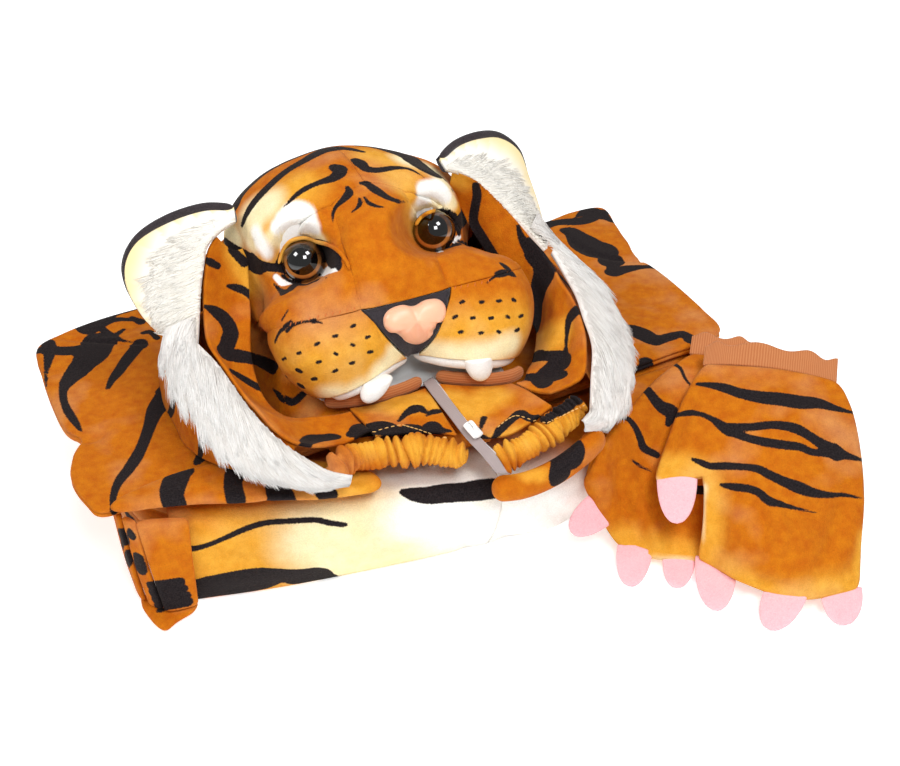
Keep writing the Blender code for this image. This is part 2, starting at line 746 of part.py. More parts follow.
# Back of the hood, from under the fur and behind the head down to the pile, in two pieces with a centre seam
# Columns: top edge, foot. Rows: from the neck round to the centre back.
SKIRT_LEFT = (
    ((-96, -114, 92), (-104, -108, 72.5)),
    ((-114, -92, 101), (-129, -88, 71.5)),
    ((-121, -64, 106), (-138, -60, 65)),
    ((-124, -40, 110), (-140, -34, 65)),
    ((-126, -14, 108), (-140, -2, 65)),
    ((-116, 16, 124), (-130, 36, 65)),
    ((-94, 34, 130), (-104, 74, 65)),
    ((-62, 52, 138), (-66, 92, 65)),
    ((HEAD_X - GAP, 63, 142), (HEAD_X - GAP, 100, 65)),
)
SKIRT_RIGHT = (
    ((64, -112, 98), (74, -106, 65)),
    ((70, -94, 106), (92, -90, 65)),
    ((74, -74, 112), (104, -70, 65)),
    ((76, -52, 116), (110, -44, 65)),
    ((76, -20, 124), (110, -6, 65)),
    ((64, 18, 128), (96, 38, 65)),
    ((48, 34, 132), (66, 76, 65)),
    ((16, 52, 139), (24, 94, 65)),
    ((HEAD_X + GAP, 63, 142), (HEAD_X + GAP, 100, 65)),
)
SKIRT_BULGE = 4.0


def skirt(rows):
    top = [Vector(row[0]) for row in rows]
    foot = [Vector(row[1]) for row in rows]
    middle = Vector((HEAD_X, 0, 0))

    def at(u, v):
        high, low = along(top, v), along(foot, v)
        spot = high.lerp(low, u)
        out = Vector((spot.x, spot.y, 0)) - middle
        return spot + out.normalized() * (SKIRT_BULGE * sin(tau / 2 * u))

    return at


for side, sign, rows in (("left", -1, SKIRT_LEFT), ("right", 1, SKIRT_RIGHT)):
    face = skirt(rows)
    sheet("hood_back_" + side, face, lifted(face, sign * CLOTH), (4, 14), ORANGE)

# Gathered neck edge: an elastic channel pushed into pleats, on each side of the zip
PLEATS = 12
BAND_LEFT = ((-83, -125, 81), (-66, -119, 80), (-45, -120.8, 79), (-26, -125.8, 78), (-11, -134, 75))
BAND_RIGHT = ((0, -143, 76), (14, -144, 79), (30, -140, 83), (44, -135, 87), (55, -131, 90))


def pleated(v):
    return ends_rounded(v, 0.08, 0.6) * (0.92 + 0.08 * cos(tau * PLEATS * v))


for side, path in (("left", BAND_LEFT), ("right", BAND_RIGHT)):
    tube("hood_gather_" + side, round_section(path, 9.0, 6.9, pleated), 7, 2 * PLEATS, GOLD)

COLLAR_ROLL = ((-4, -149, 63), (12, -152, 62.8), (30, -150.6, 64.8), (48, -145.6, 68.8), (64, -138, 73))
tube("hood_collar_roll", round_section(COLLAR_ROLL, 7.4, 5.8, ends_rounded), 10, 8, ORANGE)

# Zip at the throat: woven tape and slider
ZIP_TAPE = (
    ((-14.6, -80, 88.6), (-9, -80, 91)),
    ((-14.4, -96, 88.6), (-8.6, -98, 91)),
    ((-13.6, -114, 88.4), (-7.6, -117, 89.8)),
    ((-11.5, -131, 85.6), (-5.4, -134, 86.6)),
    ((-7.5, -143, 81.6), (-1, -147, 82.4)),
    ((-3, -152, 75), (2.5, -154, 75)),
)
tape = patch(ZIP_TAPE)
sheet("zip_tape", tape, lifted(tape, -1.0), (2, 12), GREY)
ZIP_SLIDER = ((-8.8, -127, 91.6), (-7.6, -132, 90.3), (-6.2, -137, 88.8))
tube("zip_slider", round_section(ZIP_SLIDER, 1.8, 3.2, ends_rounded), 10, 4, WHITE)

# Paw mitts: a plush back over a palm whose hidden layers share one solid, a rib cuff and felt claws
# Front mitt. Columns: from its thumb side to its outer side. Rows: from the cuff down to the finger ends.
FRONT_MITT = (
    ((140, -111, 84), (150, -120, 86), (170, -133, 87), (188, -144, 85), (203, -152, 81)),
    ((123, -122, 75), (133, -135, 78), (154, -153, 80), (176, -165, 78), (201, -170, 72)),
    ((108, -133, 59), (117, -150, 64), (138, -172, 68), (164, -186, 66), (195, -190, 58)),
    ((90, -151, 43), (112, -166, 49), (127, -190, 53), (153, -205, 51), (186, -209, 44)),
    ((81, -164, 29), (107, -178, 30), (117, -207, 35), (143, -222, 33), (177, -224, 26)),
    ((76, -173, 10), (101.5, -183.7, 9.1), (112, -211, 12), (134, -233, 11), (169, -238, 9)),
)
REAR_MITT = (
    ((149, -82, 72), (159, -90, 73), (168, -96, 73), (179, -101, 72)),
    ((118, -98, 71), (130, -108, 70), (145, -115, 67), (162, -121, 62)),
    ((89, -117, 65), (108, -122, 56), (126, -132, 50), (145, -142, 43)),
    ((64, -135, 57), (90, -134, 38), (111, -147, 30), (133, -162, 23)),
    ((57.0, -129.8, 36.4), (70, -156, 9), (86, -173, 8), (116, -186, 6)),
)
MITT_THICK = 8.0
MITT_EDGE = 3.4
THUMB_SHARE = 0.25
THUMB_END = 0.6


def mitt_thick(u, v):
    """Thickness of the flattened mitt: thin at its edges, thickest in the middle."""
    across = 1 - abs(2 * u - 1) ** 3
    down = 1 - abs(2 * v - 1) ** 4
    return MITT_EDGE + (MITT_THICK - MITT_EDGE) * sqrt(max(across * down, 0.0))


def has_thumb(u, v):
    return u > THUMB_SHARE or v < THUMB_END


for name, rows, cells, keep in (
    ("mitt_front", FRONT_MITT, (8, 10), has_thumb),
    ("mitt_rear", REAR_MITT, (7, 8), None),
):
    top = patch(rows)
    panel = CLOTH - 0.4
    sheet(name + "_back", top, lifted(top, panel), cells, ORANGE, keep)
    sheet(
        name + "_palm",
        lifted(top, panel + 0.35),
        lifted(top, lambda u, v: panel + 0.35 + mitt_thick(u, v) * 0.6),
        cells,
        GOLD,
        keep,
    )

# Rib cuffs, scalloped at the wrist
# Columns: points along the cuff seam. Then the direction to the wrist edge.
CUFFS = (
    (
        "mitt_front_cuff",
        ((141, -109, 81), (152, -118, 84), (171, -131, 85), (188, -142, 83), (202, -150, 79)),
        5,
    ),
    (
        "mitt_rear_cuff",
        ((150, -80, 69.5), (160, -88, 70.5), (168, -94, 70.5), (178, -99, 69.5)),
        3,
    ),
)
CUFF_WIDTH = 17.0
CUFF_WAVE = 4.0
for name, seam, waves in CUFFS:
    seam = vectors(seam)
    run = (seam[-1] - seam[0]).normalized()
    wrist = Vector((-run.y, run.x, 0.30)).normalized()

    def cuff(u, v, seam=seam, wrist=wrist, waves=waves):
        wave = abs(sin(tau / 2 * waves * u))
        spot = along(seam, u) + wrist * (0.6 + v * (CUFF_WIDTH - CUFF_WAVE + CUFF_WAVE * wave))
        spot.z += 1.5 * wave * v
        return spot

    sheet(name, cuff, lambda u, v, cuff=cuff: cuff(u, v) - Vector((0, 0, 2.8)), (12, 2), RIB)

# Felt claws, each sewn to a finger end. Columns: name, root, tip, direction of its root edge, width.
CLAWS = (
    ("mitt_front_claw_thumb", (101.0, -157.8, 44.2), (91, -177.8, 33), (22, -15, 6), 22.0),
    ("mitt_front_claw_a", (107.3, -194.2, 8.5), (94, -215, 2.2), (11, -26, 2), 20.0),
    ("mitt_front_claw_b", (127.5, -228.4, 9.4), (113.5, -239.5, 2.2), (22, -22, -1), 22.0),
    ("mitt_front_claw_c", (158.0, -237.6, 7.8), (149, -251, 2.2), (35, -5, -2), 24.0),
    ("mitt_rear_claw_thumb", (61.0, -142.3, 24), (43, -148, 20), (14, -24, -29), 20.0),
    ("mitt_rear_claw_a", (75.0, -163.0, 6.4), (62, -181.5, 2.2), (16, -17, -1), 20.0),
    ("mitt_rear_claw_b", (94.6, -177.6, 5.2), (85.4, -192.5, 2.2), (30, -13, -2), 18.0),
)
CLAW_THICK = 3.2
for name, root, tip, width_way, width in CLAWS:
    root, tip = Vector(root), Vector(tip)
    across = Vector(width_way).normalized()
    up = across.cross(tip - root).normalized()

    def claw_ring(turn, v, root=root, tip=tip, width=width, across=across, up=up):
        angle = tau * turn
        half = 0.5 * width * sqrt(max(1 - (0.95 * v) ** 2.4, 0.0))
        thick = 0.5 * CLAW_THICK * sqrt(max(1 - (0.9 * v) ** 4, 0.0))
        return root.lerp(tip, v) + across * (half * cos(angle)) + up * (thick * sin(angle))

    tube(name, claw_ring, 10, 4, PINK)
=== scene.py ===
# %% [markdown]
# # A folded tiger costume The real thing is a striped plush jumpsuit folded into a pile, with a padded
# tiger-head hood and two paw mitts laid on it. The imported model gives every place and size. This script
# loads it as a fixed frame and then makes each piece of cloth again on a much finer mesh, on the same
# surfaces, so that folds and stripes can show.

# %% Load the fixed frame
from itertools import cycle
from math import cos, exp, pi, radians, sin, sqrt, tau

import bmesh
import bpy
import numpy as np
from mathutils import Matrix, Vector
from mathutils.bvhtree import BVHTree
from mathutils.kdtree import KDTree


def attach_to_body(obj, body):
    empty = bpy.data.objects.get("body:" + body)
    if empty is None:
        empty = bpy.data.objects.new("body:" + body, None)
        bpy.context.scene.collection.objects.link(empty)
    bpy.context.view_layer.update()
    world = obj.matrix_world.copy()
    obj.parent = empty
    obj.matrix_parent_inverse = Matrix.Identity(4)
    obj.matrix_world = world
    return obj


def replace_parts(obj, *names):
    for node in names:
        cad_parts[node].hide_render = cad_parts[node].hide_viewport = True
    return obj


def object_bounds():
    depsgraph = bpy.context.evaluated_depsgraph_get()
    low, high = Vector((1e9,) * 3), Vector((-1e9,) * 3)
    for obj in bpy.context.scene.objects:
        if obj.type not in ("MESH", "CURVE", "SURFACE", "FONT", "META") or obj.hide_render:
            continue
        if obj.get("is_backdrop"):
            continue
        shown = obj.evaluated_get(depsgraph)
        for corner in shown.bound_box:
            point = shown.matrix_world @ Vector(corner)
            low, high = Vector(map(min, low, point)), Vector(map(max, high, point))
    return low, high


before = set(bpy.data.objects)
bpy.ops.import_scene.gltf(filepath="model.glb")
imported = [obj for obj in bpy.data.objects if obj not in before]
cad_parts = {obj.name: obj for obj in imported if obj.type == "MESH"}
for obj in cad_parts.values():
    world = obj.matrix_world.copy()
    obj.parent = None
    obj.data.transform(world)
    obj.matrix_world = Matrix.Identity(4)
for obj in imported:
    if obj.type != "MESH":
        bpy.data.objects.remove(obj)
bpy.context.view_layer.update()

MM = 0.001
print("nodes to dress:", len(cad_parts))

# %% [markdown]
# ## Camera
# The photograph is taken from the front left, about 33 degrees above the table. Knowing the camera first is
# useful here: a stripe that is read off the picture as a few points can be laid on the cloth by looking
# through that camera, just as a printed pattern is checked against a sample.

# %% Camera at the photograph's angle
PICTURE_MIDDLE = (450.0, 383.0)
FOCAL_PIXELS = 1555.0
CAMERA_TURN = radians(-22)
CAMERA_HEIGHT = radians(33)
CAMERA_AWAY = 1000.0
CAMERA_AIM = Vector((50, 42, 0))

LEVEL_SHARE = cos(CAMERA_HEIGHT)
BACK = Vector((sin(CAMERA_TURN) * LEVEL_SHARE, -cos(CAMERA_TURN) * LEVEL_SHARE, sin(CAMERA_HEIGHT)))
RIGHT = (-BACK).cross(Vector((0, 0, 1))).normalized()
UP = RIGHT.cross(-BACK).normalized()
CAMERA_AT = CAMERA_AIM + BACK * CAMERA_AWAY

camera = bpy.data.objects.new("camera", bpy.data.cameras.new("camera"))
camera.data.sensor_width = 36.0
camera.data.lens = 36.0 * FOCAL_PIXELS / (2 * PICTURE_MIDDLE[0])
camera.data.clip_end = 20.0
camera.location = CAMERA_AT * MM
camera.rotation_mode = "QUATERNION"
camera.rotation_quaternion = (-BACK).to_track_quat("-Z", "Y")
bpy.context.scene.collection.objects.link(camera)
bpy.context.scene.camera = camera
print("lens", round(camera.data.lens, 1), "mm")


# %% [markdown]
# ## Points and curves
# All the shapes are worked out in millimetres and turned into metres at the very end. The same smooth curve
# through a few points serves for outlines, seams, folds and stripes.

# %% Curves and surfaces through points
def vectors(points):
    return [Vector(p) for p in points]


def blend(before, start, end, after, t):
    """Smooth curve between start and end, with the two neighbours setting its slopes."""
    return (
        start
        + (end - before) * (0.5 * t)
        + (before * 2 - start * 5 + end * 4 - after) * (0.5 * t * t)
        + (start * 3 - before - end * 3 + after) * (0.5 * t * t * t)
    )


def along(points, t):
    """Point at t from 0 to 1 on the smooth curve through the points."""
    last = len(points) - 1
    place = min(max(t, 0.0), 1.0) * last
    i = min(int(place), last - 1)
    start, end = points[i], points[i + 1]
    before = points[i - 1] if i > 0 else start * 2 - end
    after = points[i + 2] if i + 2 <= last else end * 2 - start
    return blend(before, start, end, after, place - i)


def patch(rows):
    """Surface through rows of points: u runs along a row and v from the first row to the last."""
    rows = [vectors(row) for row in rows]
    return lambda u, v: along([along(row, u) for row in rows], v)


def share(start, end, t):
    return start + (end - start) * t


def smooth(t):
    t = min(max(t, 0.0), 1.0)
    return t * t * (3 - 2 * t)


# %% [markdown]
# ## Seeing a point on the cloth
# A stroke is a short list of (x, y, width). Seen from "photo" it is in the picture's pixels; seen from
# the top, the back or a side it is in millimetres. Each stroke is cast onto one piece, and where the
# cloth leans away the brush is widened, so that a stripe keeps its width on the cloth and not only in the
# picture.

# %% Cast strokes onto a piece
STAND_OFF = 400
SIDE_STAND_OFF = 500


def sight(view, x, y):
    """Where the eye stands and the way it looks, for a place of the picture or of a plan or side view."""
    if view == "photo":
        across, up = (x - PICTURE_MIDDLE[0]) / FOCAL_PIXELS, (PICTURE_MIDDLE[1] - y) / FOCAL_PIXELS
        return CAMERA_AT, (RIGHT * across + UP * up - BACK).normalized()
    if view == "top":
        return Vector((x, y, STAND_OFF)), Vector((0, 0, -1))
    if view == "back":
        return Vector((x, STAND_OFF, y)), Vector((0, -1, 0))
    side = -1 if view == "left" else 1
    return Vector((side * SIDE_STAND_OFF, x, y)), Vector((-side, 0, 0))


def skin(pieces):
    """Search tree over the faces of some pieces, in millimetres."""
    spots, faces = [], []
    for piece in pieces:
        first = len(spots)
        spots += [v.co / MM for v in piece.data.vertices]
        faces += [[first + i for i in p.vertices] for p in piece.data.polygons]
    return BVHTree.FromPolygons(spots, faces)


def on_skin(tree, x, y, view="photo", lift=0.0):
    """Point of the piece seen at a place of the picture, lifted off the cloth."""
    start, way = sight(view, x, y)
    hit, normal = tree.ray_cast(start, way)[:2]
    if hit is None:
        return None
    return hit + normal * (lift if normal.dot(way) < 0 else -lift)


def seen(view, *strokes):
    """Strokes from one view, each a list of (x, y, width), or a tuple of that list and its numbers."""
    return tuple((view, *(stroke if isinstance(stroke, tuple) else (stroke,))) for stroke in strokes)


def brushed(tree, view, points, step=1.6):
    """Round brush marks (x, y, z, radius) along one stroke, laid on a piece."""
    points = [Vector((p[0], p[1], p[2])) for p in points]
    if len(points) == 1:
        points = points * 2
    length = sum((b - a).to_2d().length for a, b in zip(points, points[1:]))
    step = min(step, max(0.4, 0.3 * max(p[2] for p in points)))
    count = max(int(length / step), 1)
    marks, depths = [], []
    for k in range(count + 1):
        x, y, width = along(points, k / count)
        before, after = along(points, max(k - 0.5, 0) / count), along(points, min(k + 0.5, count) / count)
        start, way = sight(view, x, y)
        hit, normal = tree.ray_cast(start, way)[:2]
        depth = (hit - start).length if hit else None
        depths.append(depth)
        marks.append((start, way, normal, (after - before).to_2d(), max(width, 0.3) / 2))
    known = [k for k, d in enumerate(depths) if d is not None]
    if not known:
        return np.zeros((0, 4))
    laid = []
    for k, (start, way, normal, run, half) in enumerate(marks):
        depth = depths[min(known, key=lambda j: abs(j - k))] if depths[k] is None else depths[k]
        if view == "photo":
            half *= depth / FOCAL_PIXELS
            level, rise = RIGHT, -UP
        elif view == "top":
            level, rise = Vector((1, 0, 0)), Vector((0, 1, 0))
        else:
            level = Vector((1, 0, 0)) if view == "back" else Vector((0, 1, 0))
            rise = Vector((0, 0, 1))
        radius = half
        if depths[k] is not None and run.length > 0:
            across = (level * -run.y + rise * run.x).normalized() * half
            lean = way.dot(normal)
            lean = -max(abs(lean), 0.4) if lean < 0 else max(abs(lean), 0.4)
            radius = min((across - way * (across.dot(normal) / lean)).length, 2.2 * half)
        laid.append((*(start + way * depth), radius))
    return np.array(laid)


def nearest(spots, marks, reach):
    """For the spots near a stroke: their numbers, their distance to its edge and their place along it."""
    if not len(marks):
        return np.zeros(0, int), np.zeros(0), np.zeros(0)
    margin = reach + marks[:, 3].max()
    inside = ((spots > marks[:, :3].min(0) - margin) & (spots < marks[:, :3].max(0) + margin)).all(1)
    chosen = np.flatnonzero(inside)
    gaps, places = [], []
    for part in np.array_split(chosen, len(chosen) // 3000 + 1):
        gap = np.linalg.norm(spots[part][:, None] - marks[None, :, :3], axis=2) - marks[None, :, 3]
        best = gap.argmin(1)
        gaps.append(gap[np.arange(len(part)), best])
        places.append(best / max(len(marks) - 1, 1))
    return chosen, np.concatenate(gaps), np.concatenate(places)


# %% [markdown]
# ## One piece of cloth
# Every sheet starts as a flat grid that is laid on a surface. Folds are pressed in or lifted along the
# cloth's own normals, the edge is rolled down where it is sewn, and only then the sheet gets its
# thickness. That order matters: a fold made after the wall would pinch it.

# %% Build cloth and soft bodies
FAR = 9.0
EDGE_REACH = 3.0
WASHED = ("gold", "cream", "pale")
U_START, U_END, V_START, V_END = 1, 2, 4, 8
ALL_SIDES = 15


def finder(places):
    """Search tree that gives the nearest of some places."""
    tree = KDTree(len(places))
    for i, co in enumerate(places):
        tree.insert(co, i)
    tree.balance()
    return tree


def move_to(verts, places, targets):
    """Move each vertex to the target that goes with the place it is on."""
    tree = finder(places)
    for v in verts:
        v.co = targets[tree.find(v.co)[1]]


def store(piece, name, values):
    """Keep one number on each point of a piece for its material to read."""
    piece.data.attributes.new(name, "FLOAT", "POINT").data.foreach_set("value", values)


def fold(work, creases):
    """Press soft troughs and ridges into a bare sheet: (view, points, softness, height)."""
    if not creases:
        return
    work.normal_update()
    tree = BVHTree.FromBMesh(work)
    spots = np.array([v.co[:] for v in work.verts])
    normals = np.array([v.normal[:] for v in work.verts])
    moved = np.zeros(len(spots))
    for view, points, soft, height in creases:
        marks = brushed(tree, view, points, 3.0)
        chosen, gap, place = nearest(spots, marks, soft * 2.5)
        fade = np.sqrt(np.clip(np.minimum(place, 1 - place) / 0.3, 0.12, 1)) if len(points) > 1 else 1.0
        moved[chosen] += height * fade * np.exp(-((np.maximum(gap, 0) / soft) ** 2))
    spots += normals * moved[:, None]
    for v, co in zip(work.verts, spots):
        v.co = co


def roll_edge(work, depth, sides):
    """Turn the chosen sides of a bare sheet down, as they are where they go into a seam."""
    side = work.verts.layers.int["side"]
    edge = [v.co.copy() for v in work.verts if v.is_boundary and (v[side] & sides or sides == ALL_SIDES)]
    if not depth or not edge:
        return
    tree = finder(edge)
    work.normal_update()
    near = [1 - min(tree.find(v.co)[2] / EDGE_REACH, 1.0) for v in work.verts]
    drops = [v.normal * (-depth * share_of**2) for v, share_of in zip(work.verts, near)]
    for v, drop in zip(work.verts, drops):
        v.co += drop


def socket(work, middle, radius, cell):
    """Cut a round hole where a ball passes through the sheet, and draw its edge onto the ball."""
    inside = [v for v in work.verts if (v.co - middle).length < radius]
    bmesh.ops.delete(work, geom=inside, context="VERTS")
    for v in work.verts:
        if v.is_boundary and (v.co - middle).length < radius + 1.5 * cell:
            v.co = middle + (v.co - middle).normalized() * radius


def finish_mesh(name, work, look):
    bmesh.ops.recalc_face_normals(work, faces=work.faces)
    if work.calc_volume(signed=True) < 0:
        bmesh.ops.reverse_faces(work, faces=work.faces)
    bmesh.ops.scale(work, vec=(MM, MM, MM), verts=work.verts)
    if "side" in work.verts.layers.int:
        work.verts.layers.int.remove(work.verts.layers.int["side"])
    mesh = bpy.data.meshes.new(name)
    work.to_mesh(mesh)
    work.free()
    mesh.shade_smooth()
    made = bpy.data.objects.new(name, mesh)
    mesh.materials.append(look)
    bpy.context.scene.collection.objects.link(made)
    return made


def grid_on(surface, cells, keep=None, weave=None):
    work = bmesh.new()
    bmesh.ops.create_grid(work, x_segments=cells[0], y_segments=cells[1], size=1)
    if keep:
        gone = [f for f in work.faces if not keep(*[(c + 1) / 2 for c in f.calc_center_median()[:2]])]
        bmesh.ops.delete(work, geom=gone, context="FACES")
    if weave:
        layer = work.loops.layers.uv.new("weave")
        for f in work.faces:
            for loop in f.loops:
                x, y = loop.vert.co[:2]
                loop[layer].uv = ((x + 1) / 2 * weave[0] * MM, (y + 1) / 2 * weave[1] * MM)
    side = work.verts.layers.int.new("side")
    for v in work.verts:
        x, y = v.co[:2]
        v[side] = (x < -0.999) * U_START + (x > 0.999) * U_END + (y < -0.999) * V_START + (y > 0.999) * V_END
        v.co = surface((x + 1) / 2, (y + 1) / 2)
    return work


def cloth(
    name, surface, cells, look, behind=-1, wall=1.8, creases=(), rolled=0.0, sides=ALL_SIDES,
    keep=None, hole=None, weave=None,
):
    """Sheet of cloth with its wall on one side: behind says whether that is along or against its normal."""
    work = grid_on(surface, cells, keep, weave)
    if behind > 0:
        bmesh.ops.reverse_faces(work, faces=work.faces)
    if hole:
        socket(work, *hole)
    fold(work, creases)
    roll_edge(work, rolled, sides)
    work.normal_update()
    first = list(work.verts)
    inner = [v.co - v.normal * wall for v in first]
    grown = bmesh.ops.extrude_face_region(work, geom=work.faces[:])
    second = [v for v in grown["geom"] if isinstance(v, bmesh.types.BMVert)]
    move_to(second, [v.co.copy() for v in first], inner)
    return finish_mesh(name, work, look)


def body(name, ring, cells, look, creases=(), weave=None):
    """Closed soft body through rings of (turn, v), drawn to a point at both ends."""
    work = grid_on(ring, cells, weave=weave)
    bmesh.ops.remove_doubles(work, verts=work.verts, dist=0.02)
    bmesh.ops.recalc_face_normals(work, faces=work.faces)
    if work.calc_volume(signed=True) < 0:
        bmesh.ops.reverse_faces(work, faces=work.faces)
    fold(work, creases)
    return finish_mesh(name, work, look)


def paint(pieces, **layers):
    """Write each layer of strokes as the distance to its edge, in mm, or as a soft wash from 0 to 1.

    The plush reads all four usual layers, so one that isn't given is written empty.
    """
    layers = {"stripe": (), "white": (), "gold": (), "cream": (), **layers}
    tree = skin(pieces)
    laid = {
        name: [(brushed(tree, *stroke[:2]), stroke[2] if len(stroke) > 2 else 0) for stroke in strokes]
        for name, strokes in layers.items()
    }
    for piece in pieces:
        spots = np.empty(len(piece.data.vertices) * 3)
        piece.data.vertices.foreach_get("co", spots)
        spots = spots.reshape(-1, 3) / MM
        for name, strokes in laid.items():
            soft = name in WASHED
            found = np.full(len(spots), 0.0 if soft else FAR)
            for marks, spread in strokes:
                chosen, gap, _ = nearest(spots, marks, spread if soft else FAR)
                if soft:
                    t = np.clip(1 - gap / spread, 0, 1)
                    found[chosen] = np.maximum(found[chosen], t * t * (3 - 2 * t))
                else:
                    found[chosen] = np.minimum(found[chosen], gap)
            store(piece, name, found)


def attach(piece):
    """Let a piece ride with the costume, under its root empty."""
    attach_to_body(piece, "root")
    return piece


def dress(piece, node):
    """Attach a piece that also stands for the solid."""
    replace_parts(attach(piece), node)
    return piece


def faces_of(pieces):
    return sum(len(p.vertices) - 2 for piece in pieces for p in piece.data.polygons)


# %% [markdown]
# ## Studio
# The photograph is lit evenly over a white table, and its soft boxes show as small windows in the eyes.
# A pale floor, a soft sky and four square area lights, placed by those windows and by the shading, give
# the same.

# %% Floor and lights
def linear(code):
    """Colour from a hex code, as the shader wants it."""
    parts = [int(code[i : i + 2], 16) / 255 for i in (0, 2, 4)]
    return (*[c / 12.92 if c <= 0.04045 else ((c + 0.055) / 1.055) ** 2.4 for c in parts], 1)


BLEND = {"out": "Result", "data_type": "RGBA"}


def add(tree, kind, inputs=(), out=0, into=None, **settings):
    """Add a node with its settings, fill or link its inputs, link it on if asked, and give one output."""
    made = tree.nodes.new("ShaderNode" + kind)
    for name, value in settings.items():
        setattr(made, name, value)
    for key, value in inputs.items() if isinstance(inputs, dict) else enumerate(inputs):
        if isinstance(value, bpy.types.NodeSocket):
            tree.links.new(value, made.inputs[key])
        else:
            made.inputs[key].default_value = linear(value) if isinstance(value, str) else value
    if into:
        tree.links.new(made.outputs[out], into)
    return made.outputs[out]


def new_material(name, roughness):
    found = bpy.data.materials.new(name)
    found.use_nodes = True
    shader = found.node_tree.nodes["Principled BSDF"]
    shader.inputs["Roughness"].default_value = roughness
    return found, found.node_tree, shader


FLOOR_GLOW = 0.45
SKY_STRENGTH = 0.34
TABLE_HALF = 4.0
LIGHT_AIM = Vector((0, 0, 60))
bpy.context.scene.view_settings.view_transform = "Standard"
floor_look, tree, shader = new_material("white_table", 0.6)
speck = add(tree, "TexNoise", {"Scale": 30.0, "Detail": 2.0})
tint = {"Factor": speck, "A": "FBFBFA", "B": "FFFFFF"}
add(tree, "Mix", tint, into=shader.inputs["Base Color"], **BLEND)
shader.inputs["Emission Color"].default_value = linear("FFFFFF")
shader.inputs["Emission Strength"].default_value = FLOOR_GLOW
work = bmesh.new()
bmesh.ops.create_grid(work, x_segments=8, y_segments=8, size=TABLE_HALF / MM)
finish_mesh("table", work, floor_look)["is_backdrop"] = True

world = bpy.data.worlds.new("studio")
world.use_nodes = True
sky = world.node_tree.nodes["Background"]
sky.inputs["Color"].default_value = (1, 1, 1, 1)
sky.inputs["Strength"].default_value = SKY_STRENGTH
bpy.context.scene.world = world

# Columns: name, way to the light as shares of back, right and up, distance in mm, side in m, power in W
SOFT_BOXES = (
    ("box_front", (0.94, 0.16, 0.24), 1500, 0.40, 8.0),
    ("box_left", (0.70, -0.56, 0.46), 1500, 0.40, 7.0),
    ("box_right", (0.72, 0.34, 0.56), 1500, 0.40, 8.0),
    ("box_above", (-0.25, -0.05, 0.95), 1700, 1.30, 4.0),
)
for name, way, away, side, power in SOFT_BOXES:
    light = bpy.data.lights.new(name, "AREA")
    light.shape = "SQUARE"
    light.size = side
    light.energy = power
    lamp = bpy.data.objects.new(name, light)
    direction = (BACK * way[0] + RIGHT * way[1] + UP * way[2]).normalized()
    lamp.location = (LIGHT_AIM + direction * away) * MM
    lamp.rotation_mode = "QUATERNION"
    lamp.rotation_quaternion = (-direction).to_track_quat("-Z", "Y")
    bpy.context.scene.collection.objects.link(lamp)
print("lights", len(SOFT_BOXES))

# %% [markdown]
# ## Plush
# The costume is cut from velboa, a knitted plush with a pile under a millimetre. One material serves all
# of it, because all of it is one printed cloth: the printed colours come in as numbers stored on the
# points of each piece (how gold, how cream, how far from the edge of a stripe). The pile breaks up the
# edges of the print, scatters light along the outline, and shows paler where the hand has brushed it.

# %% Plush material
# Noise scales are in waves to the metre: a pile tuft of 0.7 mm, a brushed patch of 6 mm, a faded one of
# 40 mm. A single fibre would be too fine to show, so the pile is drawn as coarse as its tufts.
PILE_SCALE = 1500.0
NAP_SCALE = 170.0
CLOUD_SCALE = 26.0
# Columns: number kept on the points, how much the dye drifts, its colour in the pile and on its tips
WASHES = (
    ("gold", 0.35, "D48E20", "E8AA3E"),
    ("cream", 0.25, "F0DCA6", "F8EAC2"),
    ("pale", 0.2, "F2F1EA", "FBFBF8"),
)


def fuzzy(shader, sheen, tint, specular=0.25, roughness=0.5):
    """Bloom along the outline, as loose fibres give, and little shine."""
    shader.inputs["Sheen Weight"].default_value = sheen
    shader.inputs["Sheen Roughness"].default_value = roughness
    shader.inputs["Sheen Tint"].default_value = linear(tint)
    shader.inputs["Specular IOR Level"].default_value = specular


